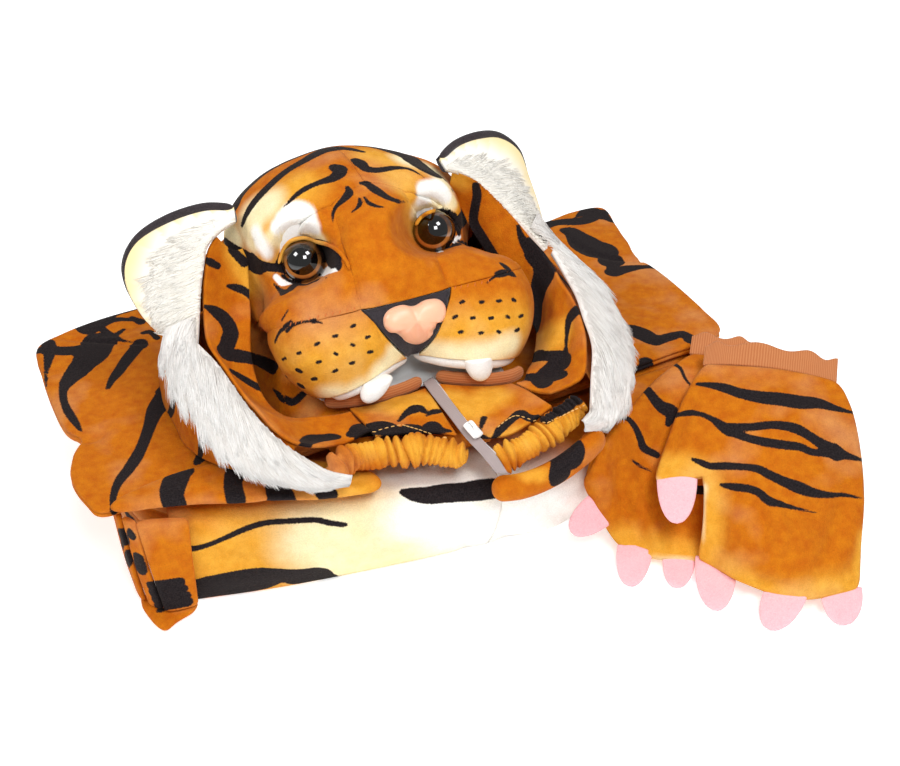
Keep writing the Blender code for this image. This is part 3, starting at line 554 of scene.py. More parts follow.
def plush():
    """Velboa: the pile makes the print's edges ragged, and brushed nap shows as paler and darker patches."""
    found, tree, shader = new_material("tiger_plush", 0.82)
    place = add(tree, "TexCoord", out="Object")
    pile = add(tree, "TexNoise", {"Vector": place, "Scale": PILE_SCALE, "Detail": 2.0})
    nap = add(tree, "TexNoise", {"Vector": place, "Scale": NAP_SCALE, "Detail": 4.0, "Roughness": 0.6})
    cloud = add(tree, "TexNoise", {"Vector": place, "Scale": CLOUD_SCALE, "Detail": 2.0})
    mottle = add(tree, "Math", (nap, 1.6, -0.3), operation="MULTIPLY_ADD", use_clamp=True)
    dye = add(tree, "Mix", {"Factor": mottle, "A": "B05206", "B": "CE7A10"}, **BLEND)
    for name, drift, deep, tip in WASHES:
        wash = add(tree, "Attribute", out="Fac", attribute_name=name)
        wash = add(tree, "Math", (cloud, drift, wash), operation="MULTIPLY_ADD")
        wash = add(tree, "Math", (wash, drift / 2), operation="SUBTRACT", use_clamp=True)
        tone = add(tree, "Mix", {"Factor": mottle, "A": deep, "B": tip}, **BLEND)
        dye = add(tree, "Mix", {"Factor": wash, "A": dye, "B": tone}, **BLEND)
    ragged = add(tree, "Math", (pile, 1.1, -0.55), operation="MULTIPLY_ADD")
    inked = add(tree, "Math", (pile, 2.4, -0.7), operation="MULTIPLY_ADD", use_clamp=True)
    white = add(tree, "Mix", {"Factor": mottle, "A": "EEEBE6", "B": "F7F6F3"}, **BLEND)
    black = add(tree, "Mix", {"Factor": inked, "A": "110C10", "B": "2B2526"}, **BLEND)
    for name, crisp, tone in (("white", -1.4, white), ("stripe", -1.8, black)):
        edge = add(tree, "Attribute", out="Fac", attribute_name=name)
        edge = add(tree, "Math", (edge, ragged), operation="ADD")
        edge = add(tree, "Math", (edge, crisp, 0.5), operation="MULTIPLY_ADD", use_clamp=True)
        dye = add(tree, "Mix", {"Factor": edge, "A": dye, "B": tone}, **BLEND)
    speck = add(tree, "Math", (pile, 0.40, 0.80), operation="MULTIPLY_ADD")
    add(tree, "VectorMath", (dye, speck), into=shader.inputs["Base Color"], operation="MULTIPLY")
    height = add(tree, "Math", (nap, 0.8, pile), operation="MULTIPLY_ADD")
    relief = {"Height": height, "Strength": 0.55, "Distance": 0.0007}
    add(tree, "Bump", relief, into=shader.inputs["Normal"])
    fuzzy(shader, 0.05, "FFE9CF", 0.1, 0.45)
    return found


TIGER = plush()
print("material", TIGER.name)

# %% [markdown]
# ## The other finishes
# Around the plush there are a ribbed knit at the wrists and the face opening, felt for the claws and the
# nose patch, moulded plastic for the nose, fur fibre, a woven zip tape, lining and sewing thread. Each
# one has the grain of its own making: ribs a little over a millimetre apart, pressed fibres, a plain
# weave, a ply.

# %% Knit, felt, plastic, fibre, tape and thread
RIB_PITCH = 0.0012
STITCH_PITCH = 0.0009


def rib_knit():
    """Ribs run up the piece with small loops across them, and wander as in a washed knit."""
    found, tree, shader = new_material("brown_rib_knit", 0.9)
    place = add(tree, "UVMap", uv_map="weave")
    run = add(tree, "SeparateXYZ", (place,), "X")
    rise = add(tree, "SeparateXYZ", (place,), "Y")
    wander = add(tree, "TexNoise", {"Vector": place, "Scale": 220.0, "Detail": 3.0})
    sway = add(tree, "Math", (wander, 2.2), operation="MULTIPLY")
    across = add(tree, "Math", (run, tau / RIB_PITCH, sway), operation="MULTIPLY_ADD")
    across = add(tree, "Math", (across,), operation="SINE")
    rib = add(tree, "Math", (across, 0.5, 0.5), operation="MULTIPLY_ADD")
    stitch = add(tree, "Math", (rise, tau / STITCH_PITCH), operation="MULTIPLY")
    stitch = add(tree, "Math", (stitch,), operation="SINE")
    stitch = add(tree, "Math", (stitch, rib), operation="MULTIPLY")
    loops = add(tree, "Math", (stitch, 0.18, rib), operation="MULTIPLY_ADD")
    worn = add(tree, "Math", (wander, 0.45), operation="MULTIPLY")
    dye = add(tree, "Mix", {"Factor": loops, "A": "B26A3C", "B": "C98656"}, **BLEND)
    dye = {"Factor": worn, "A": dye, "B": "B8693A"}
    add(tree, "Mix", dye, into=shader.inputs["Base Color"], **BLEND)
    relief = {"Height": loops, "Strength": 0.3, "Distance": 0.0004}
    add(tree, "Bump", relief, into=shader.inputs["Normal"])
    fuzzy(shader, 0.2, "FFE0C8")
    return found


def felt(name, dark, light, sheen):
    """Pressed fibres: streaks of a millimetre, paler clouds of 5 mm, and a dull bloom on the outline."""
    found, tree, shader = new_material(name, 0.92)
    place = add(tree, "TexCoord", out="Object")
    streak = add(tree, "TexNoise", {"Vector": place, "Scale": 1100.0, "Detail": 3.0, "Distortion": 1.2})
    cloud = add(tree, "TexNoise", {"Vector": place, "Scale": 190.0, "Detail": 3.0})
    fibres = add(tree, "Math", (streak, 2.0, -0.5), operation="MULTIPLY_ADD", use_clamp=True)
    faded = add(tree, "Math", (cloud, 0.9, -0.3), operation="MULTIPLY_ADD", use_clamp=True)
    dye = add(tree, "Mix", {"Factor": fibres, "A": dark, "B": light}, **BLEND)
    dye = {"Factor": faded, "A": dye, "B": light}
    add(tree, "Mix", dye, into=shader.inputs["Base Color"], **BLEND)
    relief = {"Height": streak, "Strength": 0.35, "Distance": 0.0005}
    add(tree, "Bump", relief, into=shader.inputs["Normal"])
    fuzzy(shader, sheen, "FFFFFF")
    return found


def soft_plastic():
    """Moulded soft vinyl: light goes a little way in, so that the edges of the dents glow.

    Its tone drifts over 14 mm, and a fine grain of a millimetre dulls the shine.
    """
    found, tree, shader = new_material("peach_plastic", 0.34)
    place = add(tree, "TexCoord", out="Object")
    cloud = add(tree, "TexNoise", {"Vector": place, "Scale": 70.0, "Detail": 2.0})
    grain = add(tree, "TexNoise", {"Vector": place, "Scale": 900.0, "Detail": 2.0})
    dye = {"Factor": cloud, "A": "F3AC88", "B": "F8C2A2"}
    add(tree, "Mix", dye, into=shader.inputs["Base Color"], **BLEND)
    relief = {"Height": grain, "Strength": 0.05, "Distance": 0.0003}
    add(tree, "Bump", relief, into=shader.inputs["Normal"])
    shader.inputs["Subsurface Weight"].default_value = 0.25
    shader.inputs["Subsurface Radius"].default_value = (0.006, 0.003, 0.002)
    shader.inputs["Subsurface Scale"].default_value = 0.5
    return found


def fur_fibre(name, root, tip, grey):
    """Acrylic fibre: 'run' goes from 0 at the root to 1 at the tip, with painted shade in the darker root
    colour; 'tone' is one number for each strand.
    """
    found, tree, shader = new_material(name, 0.55)
    run = add(tree, "Attribute", out="Fac", attribute_name="run")
    tone = add(tree, "Attribute", out="Fac", attribute_name="tone")
    gold = add(tree, "Attribute", out="Fac", attribute_name="gold")
    greyed = add(tree, "Math", (tone, 0.45), operation="MULTIPLY")
    # Painted shade: the white fibre is given a darker colour towards the root, where the pile shades it.
    dye = add(tree, "Mix", {"Factor": run, "A": root, "B": tip}, **BLEND)
    dye = add(tree, "Mix", {"Factor": greyed, "A": dye, "B": grey}, **BLEND)
    dye = {"Factor": gold, "A": dye, "B": "F3DC9A"}
    add(tree, "Mix", dye, into=shader.inputs["Base Color"], **BLEND)
    fuzzy(shader, 0.25, "FFFFFF", 0.3)
    return found


def woven(name, dark, light, pitch, roughness):
    """Plain weave: threads over and under each other, one pitch apart both ways, faded in 11 mm clouds."""
    found, tree, shader = new_material(name, roughness)
    place = add(tree, "UVMap", uv_map="weave")
    threads = []
    for axis in ("X", "Y"):
        turned = add(tree, "SeparateXYZ", (place,), axis)
        turned = add(tree, "Math", (turned, tau / pitch), operation="MULTIPLY")
        threads.append(add(tree, "Math", (turned,), operation="SINE"))
    weave = add(tree, "Math", threads, operation="MULTIPLY")
    weave = add(tree, "Math", (weave, 0.5, 0.5), operation="MULTIPLY_ADD")
    cloud = add(tree, "TexNoise", {"Vector": place, "Scale": 90.0, "Detail": 3.0})
    faded = add(tree, "Math", (cloud, 0.4), operation="MULTIPLY")
    dye = add(tree, "Mix", {"Factor": weave, "A": dark, "B": light}, **BLEND)
    dye = {"Factor": faded, "A": dye, "B": light}
    add(tree, "Mix", dye, into=shader.inputs["Base Color"], **BLEND)
    relief = {"Height": weave, "Strength": 0.5, "Distance": 0.0003}
    add(tree, "Bump", relief, into=shader.inputs["Normal"])
    fuzzy(shader, 0.1, "FFFFFF")
    return found


def thread(name, dark, light):
    """Sewing thread: the twist of its plies, 0.4 mm apart, shows as fine light and dark."""
    found, tree, shader = new_material(name, 0.6)
    place = add(tree, "TexCoord", out="Object")
    ply = add(tree, "TexNoise", {"Vector": place, "Scale": 2600.0, "Detail": 1.0})
    dye = {"Factor": ply, "A": dark, "B": light}
    add(tree, "Mix", dye, into=shader.inputs["Base Color"], **BLEND)
    relief = {"Height": ply, "Strength": 0.4, "Distance": 0.0002}
    add(tree, "Bump", relief, into=shader.inputs["Normal"])
    return found


RIB = rib_knit()
PINK_FELT = felt("pink_felt", "EFA7B0", "F9C6CC", 0.3)
BLACK_FELT = felt("black_felt", "161214", "3A3338", 0.25)
NOSE_PLASTIC = soft_plastic()
# The root colours are painted shade in the pile; the tips carry the fibre's own white.
WHITE_FUR = fur_fibre("white_fur", "E6E0DA", "FDFCFA", "D3CAC1")
IVORY_FUR = fur_fibre("ivory_fur", "F3EEE4", "FBF8F1", "E6DECF")
WHITE_PLUSH = felt("white_plush", "E4E1DC", "F6F5F2", 0.3)
BLACK_CLOTH = felt("black_piping_cloth", "1A1518", "3C3437", 0.25)
LINING_CLOTH = woven("grey_lining", "DCE1E1", "FAFBFB", 0.0011, 0.8)
TAPE_CLOTH = woven("zip_tape_cloth", "7E6A68", "B9ABA9", 0.0008, 0.6)
COIL_PLASTIC = felt("zip_coil_plastic", "E2E0DE", "FAFAFA", 0.1)
GOLD_THREAD = thread("gold_thread", "D99A3C", "F6C983")
ORANGE_THREAD = thread("orange_thread", "B4561A", "DE7A2B")
print("materials", len(bpy.data.materials))

# %% [markdown]
# ## The form of the head
# A padded head is a filled bag, so its form is given as radii around a centre: a station angle from
# straight up towards the nose, and an angle off the middle plane. These are the same radii as in the
# solids.

# %% Head form
# Centre, turn and tilt of the head
HEAD_X = -23.0
HEAD_Y = -15.0
HEAD_Z = 105.0
HEAD_YAW = 2.5
HEAD_ROLL = 1.5
HEAD_BACK = -60.0
EYE_LINE = 8.5
UNDER_EYE = 27.0
MUZZLE_LINE = 60.0
HEAD_SIDE = 85.0
PRESSED = 11.0
LIP_PRESSED = 9.0
BRIDGE_TROUGH = 1.7
EYE_PHI = 16.0
EYE_LAM = 41.0
EYE_CENTRE = 51.0
EYE_RADIUS = 12.0
CLOTH = 2.2
SEAM = -0.02
GAP = 0.35

# Columns: station angle from straight up towards the nose, then radii at 0, 15, 30, 45, 60, 75 and 90
# degrees off the middle plane.
HEAD_RADII = (
    (-62, 82, 82, 81, 79, 75, 66, 62),
    (-30, 88, 87, 87, 87, 80, 66, 62),
    (-10, 82, 83, 85, 82, 70, 60, 62),
    (3, 78, 77, 81, 77, 66, 60, 62),
    (12, 77, 74, 67, 64, 63, 60, 62),
    (20, 77, 73, 60, 57, 61, 60, 62),
    (30, 77, 73, 62, 60, 64, 62, 62),
    (42, 74, 71, 66, 68, 72, 66, 62),
    (55, 69, 70, 73, 82, 84, 72, 62),
    (62, 67, 70, 77, 87, 87, 70, 58),
    (72, 69, 72, 83, 92, 89, 70, 56),
    (84, 63, 76, 89, 94, 88, 68, 56),
    (94, 58, 78, 91, 92, 84, 64, 56),
    (104, 50, 72, 84, 85, 75, 60, 56),
    (118, 42, 60, 68, 70, 64, 58, 62),
)
STATIONS = [row[0] for row in HEAD_RADII]
HEAD_TURN = Matrix.Rotation(radians(HEAD_YAW), 3, "Z") @ Matrix.Rotation(radians(-HEAD_ROLL), 3, "Y")


def radius_at(phi, lam):
    phi = min(max(phi, STATIONS[0]), STATIONS[-1] - 0.001)
    i = max(k for k in range(len(STATIONS) - 1) if STATIONS[k] <= phi)
    part = (phi - STATIONS[i]) / (STATIONS[i + 1] - STATIONS[i])
    column = min(abs(lam) / 15.0, 5.999)
    k = int(column)

    def across(row):
        values = (row[2],) + row[1:] + (row[-1],)
        return blend(*values[k : k + 4], column - k)

    rows = [HEAD_RADII[min(max(i + d, 0), len(STATIONS) - 1)] for d in (-1, 0, 1, 2)]
    return blend(*[across(row) for row in rows], part)


# Columns: station, angle off the middle plane, spread in degrees, height in mm
BULGES = (
    (6, -31, 9, 3.6), (6, 33, 8, 3.2), (-9, 31, 16, -4.5), (-34, -33, 14, 4.0), (47, -42, 11, 2.4),
    (40, 62, 10, 1.6), (30, 0, 10, 1.0), (24, -26, 6, -1.6), (24, 26, 6, -1.6), (80, -40, 12, 1.2),
    (78, 34, 12, 1.2),
)


def pressed(phi, lam):
    """How far the left cheek and the left pad's foot are pressed in where they lean on the hood."""
    side = PRESSED * min(max((-lam - 30) / 30, 0), 1) * min(max((phi - 45) / 15, 0), 1)
    foot = LIP_PRESSED * smooth((phi - 66) / 24) * smooth((-lam - 2) / 14)
    return max(side, foot) + 0.3 * min(side, foot)


def stuffed(phi, lam):
    """Bulges of the stuffing at brows and cheeks, hollows between them, and the troughs beside the bridge."""
    high = sum(h * exp(-((phi - p) ** 2 + (lam - m) ** 2) / (2 * s * s)) for p, m, s, h in BULGES)
    beside = (abs(lam) - bridge_edge(phi)) * 1.3 / 3.4
    return high - BRIDGE_TROUGH * exp(-beside * beside) * smooth((phi - 4) / 8) * smooth((64 - phi) / 8)


def head_point(phi, lam, radius):
    reach = radius * cos(radians(lam))
    local = Vector((radius * sin(radians(lam)), -reach * sin(radians(phi)), reach * cos(radians(phi))))
    return Vector((HEAD_X, HEAD_Y, HEAD_Z)) + HEAD_TURN @ local


def head(phi, lam, lift=0.0):
    return head_point(phi, lam, radius_at(phi, lam) - pressed(phi, lam) + stuffed(phi, lam) + lift)


def bridge_edge(phi):
    return 16 + 5 * (phi - EYE_LINE) / (MUZZLE_LINE - EYE_LINE)


def front_edge(lam):
    return EYE_LINE - 3.0 * max(1 - abs(lam) / 16, 0)


PAD_FEET = vectors([(87, 0, 0), (89, 0, 0), (92.5, 0, 0), (100, 0, 0), (106, 0, 0), (109, 0, 0), (109, 0, 0)])


def pad_foot(lam):
    return along(PAD_FEET, abs(lam) / 90).x


def felt_edge(v):
    return 21 - 17 * v


print("crown", [round(c, 1) for c in head(0, 0)])

# %% [markdown]
# ## Panels of the face
# A maker sews the face from a bridge, two forehead pieces, two eye pieces, two cheeks and two whisker
# pads, and each seam sinks a little into the padding. Folds on this side are read from the picture.
# Troughs are negative heights and ridges positive ones, in millimetres.

# %% Face panels
SIDES = (("left", -1), ("right", 1))
FACE_CELL = 0.9
FACE_FOLDS = {
    "forehead_left": seen(
        "photo",
        ([(268, 236, 8), (290, 222, 12), (318, 226, 12), (330, 236, 8)], 8.0, 2.6),
        ([(250, 222, 2), (262, 238, 3), (262, 262, 2)], 4.0, -1.6),
        ([(330, 200, 4), (334, 225, 4), (345, 250, 3)], 5.0, -1.6),
    ) + seen("back", ([(-90, 150, 2), (-70, 160, 3), (-52, 172, 2)], 9.0, -1.4)),
    "forehead_right": seen(
        "photo",
        ([(418, 204, 6), (432, 192, 10), (450, 196, 8)], 7.0, 2.2),
        ([(408, 190, 3), (412, 205, 3), (416, 216, 2)], 4.5, -1.6),
        ([(372, 150, 3), (378, 170, 3), (372, 190, 2)], 8.0, -1.0),
    ) + seen("back", ([(45, 150, 2), (30, 162, 3), (12, 174, 2)], 9.0, -1.4)),
    "bridge": seen(
        "photo",
        ([(365, 220, 3), (352, 250, 3), (364, 290, 3)], 6.0, -0.9),
        ([(372, 222, 10), (388, 255, 14), (400, 290, 10)], 16.0, 1.0),
        ([(352, 292, 2), (375, 284, 2), (395, 284, 2)], 5.0, -0.7),
    ),
    "cheek_left": seen(
        "photo",
        ([(350, 280, 3), (318, 290, 4), (290, 312, 2)], 6.0, -1.3),
        ([(330, 306, 8), (306, 314, 8)], 8.0, 0.9),
    ),
    "cheek_right": seen(
        "photo",
        ([(448, 268, 3), (470, 258, 3), (492, 262, 2)], 6.0, -1.1),
        ([(462, 246, 4), (480, 252, 4), (498, 262, 3)], 4.0, 0.9),
    ),
    "pad_left": seen(
        "photo",
        ([(364, 322, 2), (374, 345, 2), (384, 362, 1)], 2.6, -1.5),
        ([(310, 345, 20), (335, 365, 20)], 18.0, 0.8),
        ([(276, 336, 2), (284, 330, 2), (292, 324, 1)], 3.0, -1.2),
    ),
    "pad_right": seen(
        "photo",
        ([(480, 322, 20), (505, 316, 20)], 18.0, 0.8),
        ([(448, 300, 2), (446, 325, 2), (436, 345, 1)], 3.0, -1.0),
        ([(515, 278, 2), (520, 300, 2), (524, 330, 1)], 3.5, -0.8),
    ),
}


# How far each ball sits to the right of and above the place where its angles put it, seen in the picture
EYE_MOVES = {-1: (-5.5, 4.2), 1: (3.6, 5.6)}


def eye_middle(sign):
    right, up = EYE_MOVES[sign]
    return head_point(EYE_PHI, sign * EYE_LAM, EYE_CENTRE) + RIGHT * right + UP * up


EYE_MIDDLES = [eye_middle(sign) for _, sign in SIDES]
HOLLOW_FLOOR = 1.5
HOLLOW_WIDTH = 9.0
EYE_LOOKS = {"left": Vector((-0.295, -0.80, 0.52)), "right": Vector((-0.39, -0.755, 0.54))}


def sunk(phi, lam):
    """The face pressed back round each eye, so that half of the ball stands clear of the cloth."""
    spot = head(phi, lam)
    for middle, look in zip(EYE_MIDDLES, EYE_LOOKS.values()):
        axis = look.normalized()
        away = spot - middle
        depth = away.dot(axis)
        aside = (away - axis * depth).length
        over = depth + HOLLOW_FLOOR
        if over > 0 and aside < EYE_RADIUS + HOLLOW_WIDTH:
            spot = spot - axis * (over * smooth(1 - (aside - EYE_RADIUS) / HOLLOW_WIDTH))
    return spot


def face_panel(name, node, angles, width, length, cell=FACE_CELL, hole=None, sides=0):
    cells = (round(width / cell), round(length / cell))
    made = cloth(
        name, lambda u, v: sunk(*angles(u, v)), cells, TIGER, behind=1 if "left" in name else -1,
        wall=CLOTH, creases=FACE_FOLDS.get(name[5:], ()), rolled=0.25, sides=sides, hole=hole,
    )
    return dress(made, node)


BRIDGE_SPAN = 16


def bridge_angles(u, v):
    across = 2 * u - 1
    low = front_edge(across * BRIDGE_SPAN) + SEAM
    half = bridge_edge(share(EYE_LINE, MUZZLE_LINE, v)) - SEAM
    return share(low, MUZZLE_LINE - SEAM, v), across * half


face = [face_panel("face_bridge", "head_bridge", bridge_angles, 46, 66, sides=V_END)]
for side, sign in SIDES:
    ball = (eye_middle(sign), EYE_RADIUS + 0.5, FACE_CELL)

    def forehead_angles(u, v):
        lam = sign * share(SEAM / 2, HEAD_SIDE - SEAM / 2, u)
        return share(HEAD_BACK, front_edge(share(0, HEAD_SIDE, u)), v), lam

    def patch_angles(u, v):
        inner = bridge_edge(share(EYE_LINE, UNDER_EYE, v)) + SEAM
        return share(EYE_LINE + SEAM, UNDER_EYE, v), sign * share(inner, HEAD_SIDE - SEAM / 2, u)

    def cheek_angles(u, v):
        inner = bridge_edge(share(UNDER_EYE, MUZZLE_LINE, v)) + SEAM
        return share(UNDER_EYE + SEAM, MUZZLE_LINE - SEAM, v), sign * share(inner, HEAD_SIDE - SEAM / 2, u)

    def pad_angles(u, v):
        lam = share(felt_edge(v) + SEAM, 82, u)
        return share(MUZZLE_LINE + SEAM, pad_foot(lam), v), sign * lam

    # Columns: panel, solid, angles, width, length, size of a cell, eye hole, sides rolled down
    for name, solid, angles, width, length, cell, hole, rolled in (
        ("forehead", "forehead", forehead_angles, 110, 92, 1.2, ball, 0),
        ("eye_patch", "eye_patch", patch_angles, 74, 22, 0.75, ball, 0),
        ("cheek", "cheek", cheek_angles, 78, 40, FACE_CELL, ball, V_END),
        ("pad", "whisker_pad", pad_angles, 96, 62, 0.82, None, U_START | V_START),
    ):
        names = (f"face_{name}_{side}", f"head_{solid}_{side}")
        face.append(face_panel(*names, angles, width, length, cell, hole, rolled))
print("face panels", len(face), "triangles", faces_of(face))

# %% [markdown]
# ## Print on the face
# The face is printed as the rest of the cloth is: near-black stripes on orange that fades through gold to
# cream at the temples and along the lips, with white brow pads. The strokes are laid on the whole face at
# once, so that a stripe runs on across a seam.

# %% Paint the face
FACE_STRIPES = seen(
    "photo",
    [(337, 148, 7), (322, 151, 8), (305, 160, 6), (285, 172, 5), (268, 187, 6), (255, 201, 6),
     (247, 213, 5), (242, 225, 3)],
    [(334, 167, 7), (341, 171, 11), (333, 178, 8), (318, 183, 5), (303, 190, 5), (293, 198, 4),
     (284, 207, 1.5)],
    [(347, 187, 4), (349, 193, 8), (343, 200, 6), (336, 207, 4), (333, 214, 3.5), (333, 222, 1.5)],
    [(359, 198, 2.5), (360, 203, 5), (357, 208, 3), (352, 212, 1.5)],
    [(364, 197, 2), (369, 203, 4), (376, 206, 3), (383, 207, 1.5)],
    [(361, 183, 3), (367, 184, 5), (376, 190, 7), (387, 197, 5), (398, 201, 3.5), (408, 202, 2)],
    [(355, 160, 5), (361, 164, 8), (367, 169, 6), (378, 170, 5), (392, 168, 4), (404, 168, 2.5),
     (414, 171, 2), (425, 178, 1)],
    [(338, 148, 5), (350, 149, 4), (364, 152, 2)],
    [(224, 240, 3), (233, 249, 9), (243, 257, 14), (255, 264, 13), (268, 267, 9), (280, 268, 9),
     (290, 272, 6)],
    [(308, 242, 5), (322, 247, 10), (332, 256, 12), (338, 264, 8), (339, 269, 4)],
    [(277, 264, 4), (283, 251, 5), (295, 243, 5), (310, 241, 6)],
    [(274, 284, 2), (280, 290, 5), (286, 292, 5), (295, 285, 3.5), (306, 279, 2.5), (318, 275, 2.5),
     (326, 278, 2)],
    [(283, 276, 4), (290, 281, 3), (304, 285, 3), (318, 280, 3)],
    [(419, 231, 4), (423, 229, 9), (426, 238, 8), (431, 246, 5), (437, 252, 3)],
    [(424, 221, 5), (433, 213, 5), (443, 210, 5), (452, 214, 6), (458, 223, 7), (459, 232, 4)],
    [(452, 190, 3), (458, 191, 5), (463, 198, 7), (466, 206, 9), (464, 215, 9), (459, 224, 8)],
    [(441, 249, 2), (451, 247, 3), (461, 243, 4), (468, 246, 3)],
    [(275, 342, 2), (279, 333, 3), (285, 327, 5), (291, 322, 4)],
    [(287, 331, 4), (293, 325, 4), (303, 322, 3), (313, 321, 3), (322, 323, 2)],
    [(282, 320, 2), (288, 310, 1.5)],
    [(487, 283, 1.5), (494, 277, 3), (504, 273, 4), (515, 276, 2)],
    [(502, 264, 3), (507, 268, 4), (513, 274, 3)],
) + seen(
    "back",
    [(-96, 160, 3), (-74, 172, 8), (-50, 180, 7), (-28, 184, 3)],
    [(44, 158, 3), (28, 172, 8), (6, 180, 7), (-12, 184, 3)],
    [(-84, 142, 3), (-62, 158, 8), (-40, 164, 4)],
    [(34, 142, 3), (14, 156, 8), (-6, 164, 4)],
)
WHISKER_DOTS = (
    (353, 326), (368, 337), (335, 336), (353, 345), (317, 344), (299, 353), (370, 352), (336, 354),
    (284, 359), (319, 362), (352, 363), (299, 371), (335, 371), (285, 377), (314, 379), (301, 386),
    (462, 302), (482, 302), (499, 301), (514, 300), (455, 317), (473, 318), (491, 318), (508, 317),
    (521, 316), (461, 332), (481, 333), (499, 332), (517, 330),
)
DOT_SLANTS = ((-1.4, 0.7), (1.3, -0.3), (-1.5, 0.3), (1.1, 0.5))
DOT_ENDS = [
    [(x - dx, y - dy, 3.8), (x + dx, y + dy, 3.4)]
    for (x, y), (dx, dy) in zip(WHISKER_DOTS, cycle(DOT_SLANTS))
]
FACE_PALE = seen(
    "photo",
    ([(279, 228, 8), (288, 221, 15), (302, 222, 17), (311, 229, 7)], 2.8),
    ([(255, 232, 3), (260, 243, 5), (268, 254, 3)], 5.0),
    ([(424, 195, 12), (436, 189, 16), (445, 196, 12)], 2.8),
)
FACE_WHITE = seen(
    "photo",
    [(276, 277, 6), (283, 283, 7), (292, 282, 5)],
    [(322, 273, 4), (330, 270, 7), (337, 270, 3)],
    [(449, 244, 3), (456, 240, 5), (460, 236, 3)],
    [(431, 249, 2), (441, 252, 3)],
)
FACE_CREAM = seen(
    "photo",
    ([(276, 238, 8), (300, 234, 12), (318, 237, 6)], 6.0),
    ([(262, 212, 4), (254, 224, 6), (252, 240, 6)], 8.0),
    ([(418, 207, 8), (436, 204, 12), (452, 202, 8)], 5.0),
    ([(268, 203, 6), (254, 214, 8), (248, 228, 6)], 13.0),
    ([(404, 160, 3), (428, 168, 6), (446, 182, 4)], 11.0),
    ([(330, 396, 5), (356, 394, 6), (378, 376, 6), (396, 352, 5)], 9.0),
    ([(430, 352, 5), (460, 356, 6), (486, 354, 6), (512, 344, 4)], 10.0),
    ([(228, 230, 6), (236, 240, 4)], 8.0),
)
FACE_GOLD = seen(
    "photo",
    ([(300, 186, 8), (276, 204, 10), (258, 226, 10)], 20.0),
    ([(264, 264, 4), (276, 250, 8), (300, 241, 8), (326, 242, 4)], 8.0),
    ([(400, 178, 10), (412, 196, 8), (416, 218, 5)], 14.0),
    ([(416, 216, 5), (436, 210, 5), (456, 207, 4)], 7.0),
    ([(372, 154, 4), (410, 164, 6)], 16.0),
    ([(292, 382, 14), (335, 376, 26), (378, 356, 16), (395, 345, 10)], 26.0),
    ([(446, 340, 12), (480, 340, 20), (515, 330, 12)], 24.0),
    ([(226, 238, 8), (232, 262, 8), (250, 280, 6)], 13.0),
    ([(470, 232, 4), (480, 240, 6)], 9.0),
)
FACE_INK = FACE_STRIPES + seen("photo", *DOT_ENDS)
paint(face, stripe=FACE_INK, white=FACE_WHITE, pale=FACE_PALE, cream=FACE_CREAM, gold=FACE_GOLD)
print("whisker dots", len(WHISKER_DOTS))

# %% [markdown]
# ## Nose
# The nose is a moulded plastic dome with a middle crease and two nostril dents, held on a triangle of
# black felt. Its outline is read as one closed curve and raised in rings, so that the dents run from the
# edge to the top.

# %% Nose felt and nose
felt_patch = cloth(
    "nose_felt",
    lambda u, v: head(*(share(MUZZLE_LINE + SEAM, 87, v), (2 * u - 1) * (felt_edge(v) - SEAM))),
    (66, 44),
    BLACK_FELT,
    wall=CLOTH,
    rolled=0.7,
    creases=seen(
        "photo",
        ([(372, 318, 2), (388, 336, 2)], 5.0, 0.6),
        ([(446, 300, 2), (440, 325, 2)], 5.0, 0.6),
    ),
)
dress(felt_patch, "head_nose_felt")

NOSE_OUTLINE = (
    (412, 305), (424, 299), (436, 298), (443, 303), (445, 311), (442, 320), (436, 323), (434, 330),
    (428, 338), (418, 344), (407, 343), (399, 338), (395, 333), (388, 332), (383, 326), (382, 317),
    (387, 309), (399, 304),
)
NOSE_MIDDLE = (413, 320)
NOSE_HEIGHT = 6.4
NOSE_FOOT = 0.35
NOSE_BACK_SHARE = 0.2
CREASE_HALF = 1.5
CREASE_DEEP = 0.45
# Nostril dents: sideways and down from the middle, half width, half height and depth, in mm
NOSTRIL_ASIDE = 9.6
NOSTRIL_DOWN = 7.0
NOSTRIL_HALF = (3.0, 2.4)
NOSTRIL_DEEP = 1.8
muzzle = grid_on(lambda u, v: head(share(52, 104, v), share(-32, 32, u)), (24, 24))
felt_tree = BVHTree.FromBMesh(muzzle)
muzzle.free()
nose_foot = [on_skin(felt_tree, x, y) for x, y in NOSE_OUTLINE]
nose_centre = on_skin(felt_tree, *NOSE_MIDDLE)
nose_out = (head(70, 0, 10) - head(70, 0)).normalized()
nose_down = (head(80, 0) - head(64, 0)).normalized()
nose_across = nose_out.cross(nose_down).normalized()
nose_closed = [nose_foot[-1]] + nose_foot + nose_foot[:2]


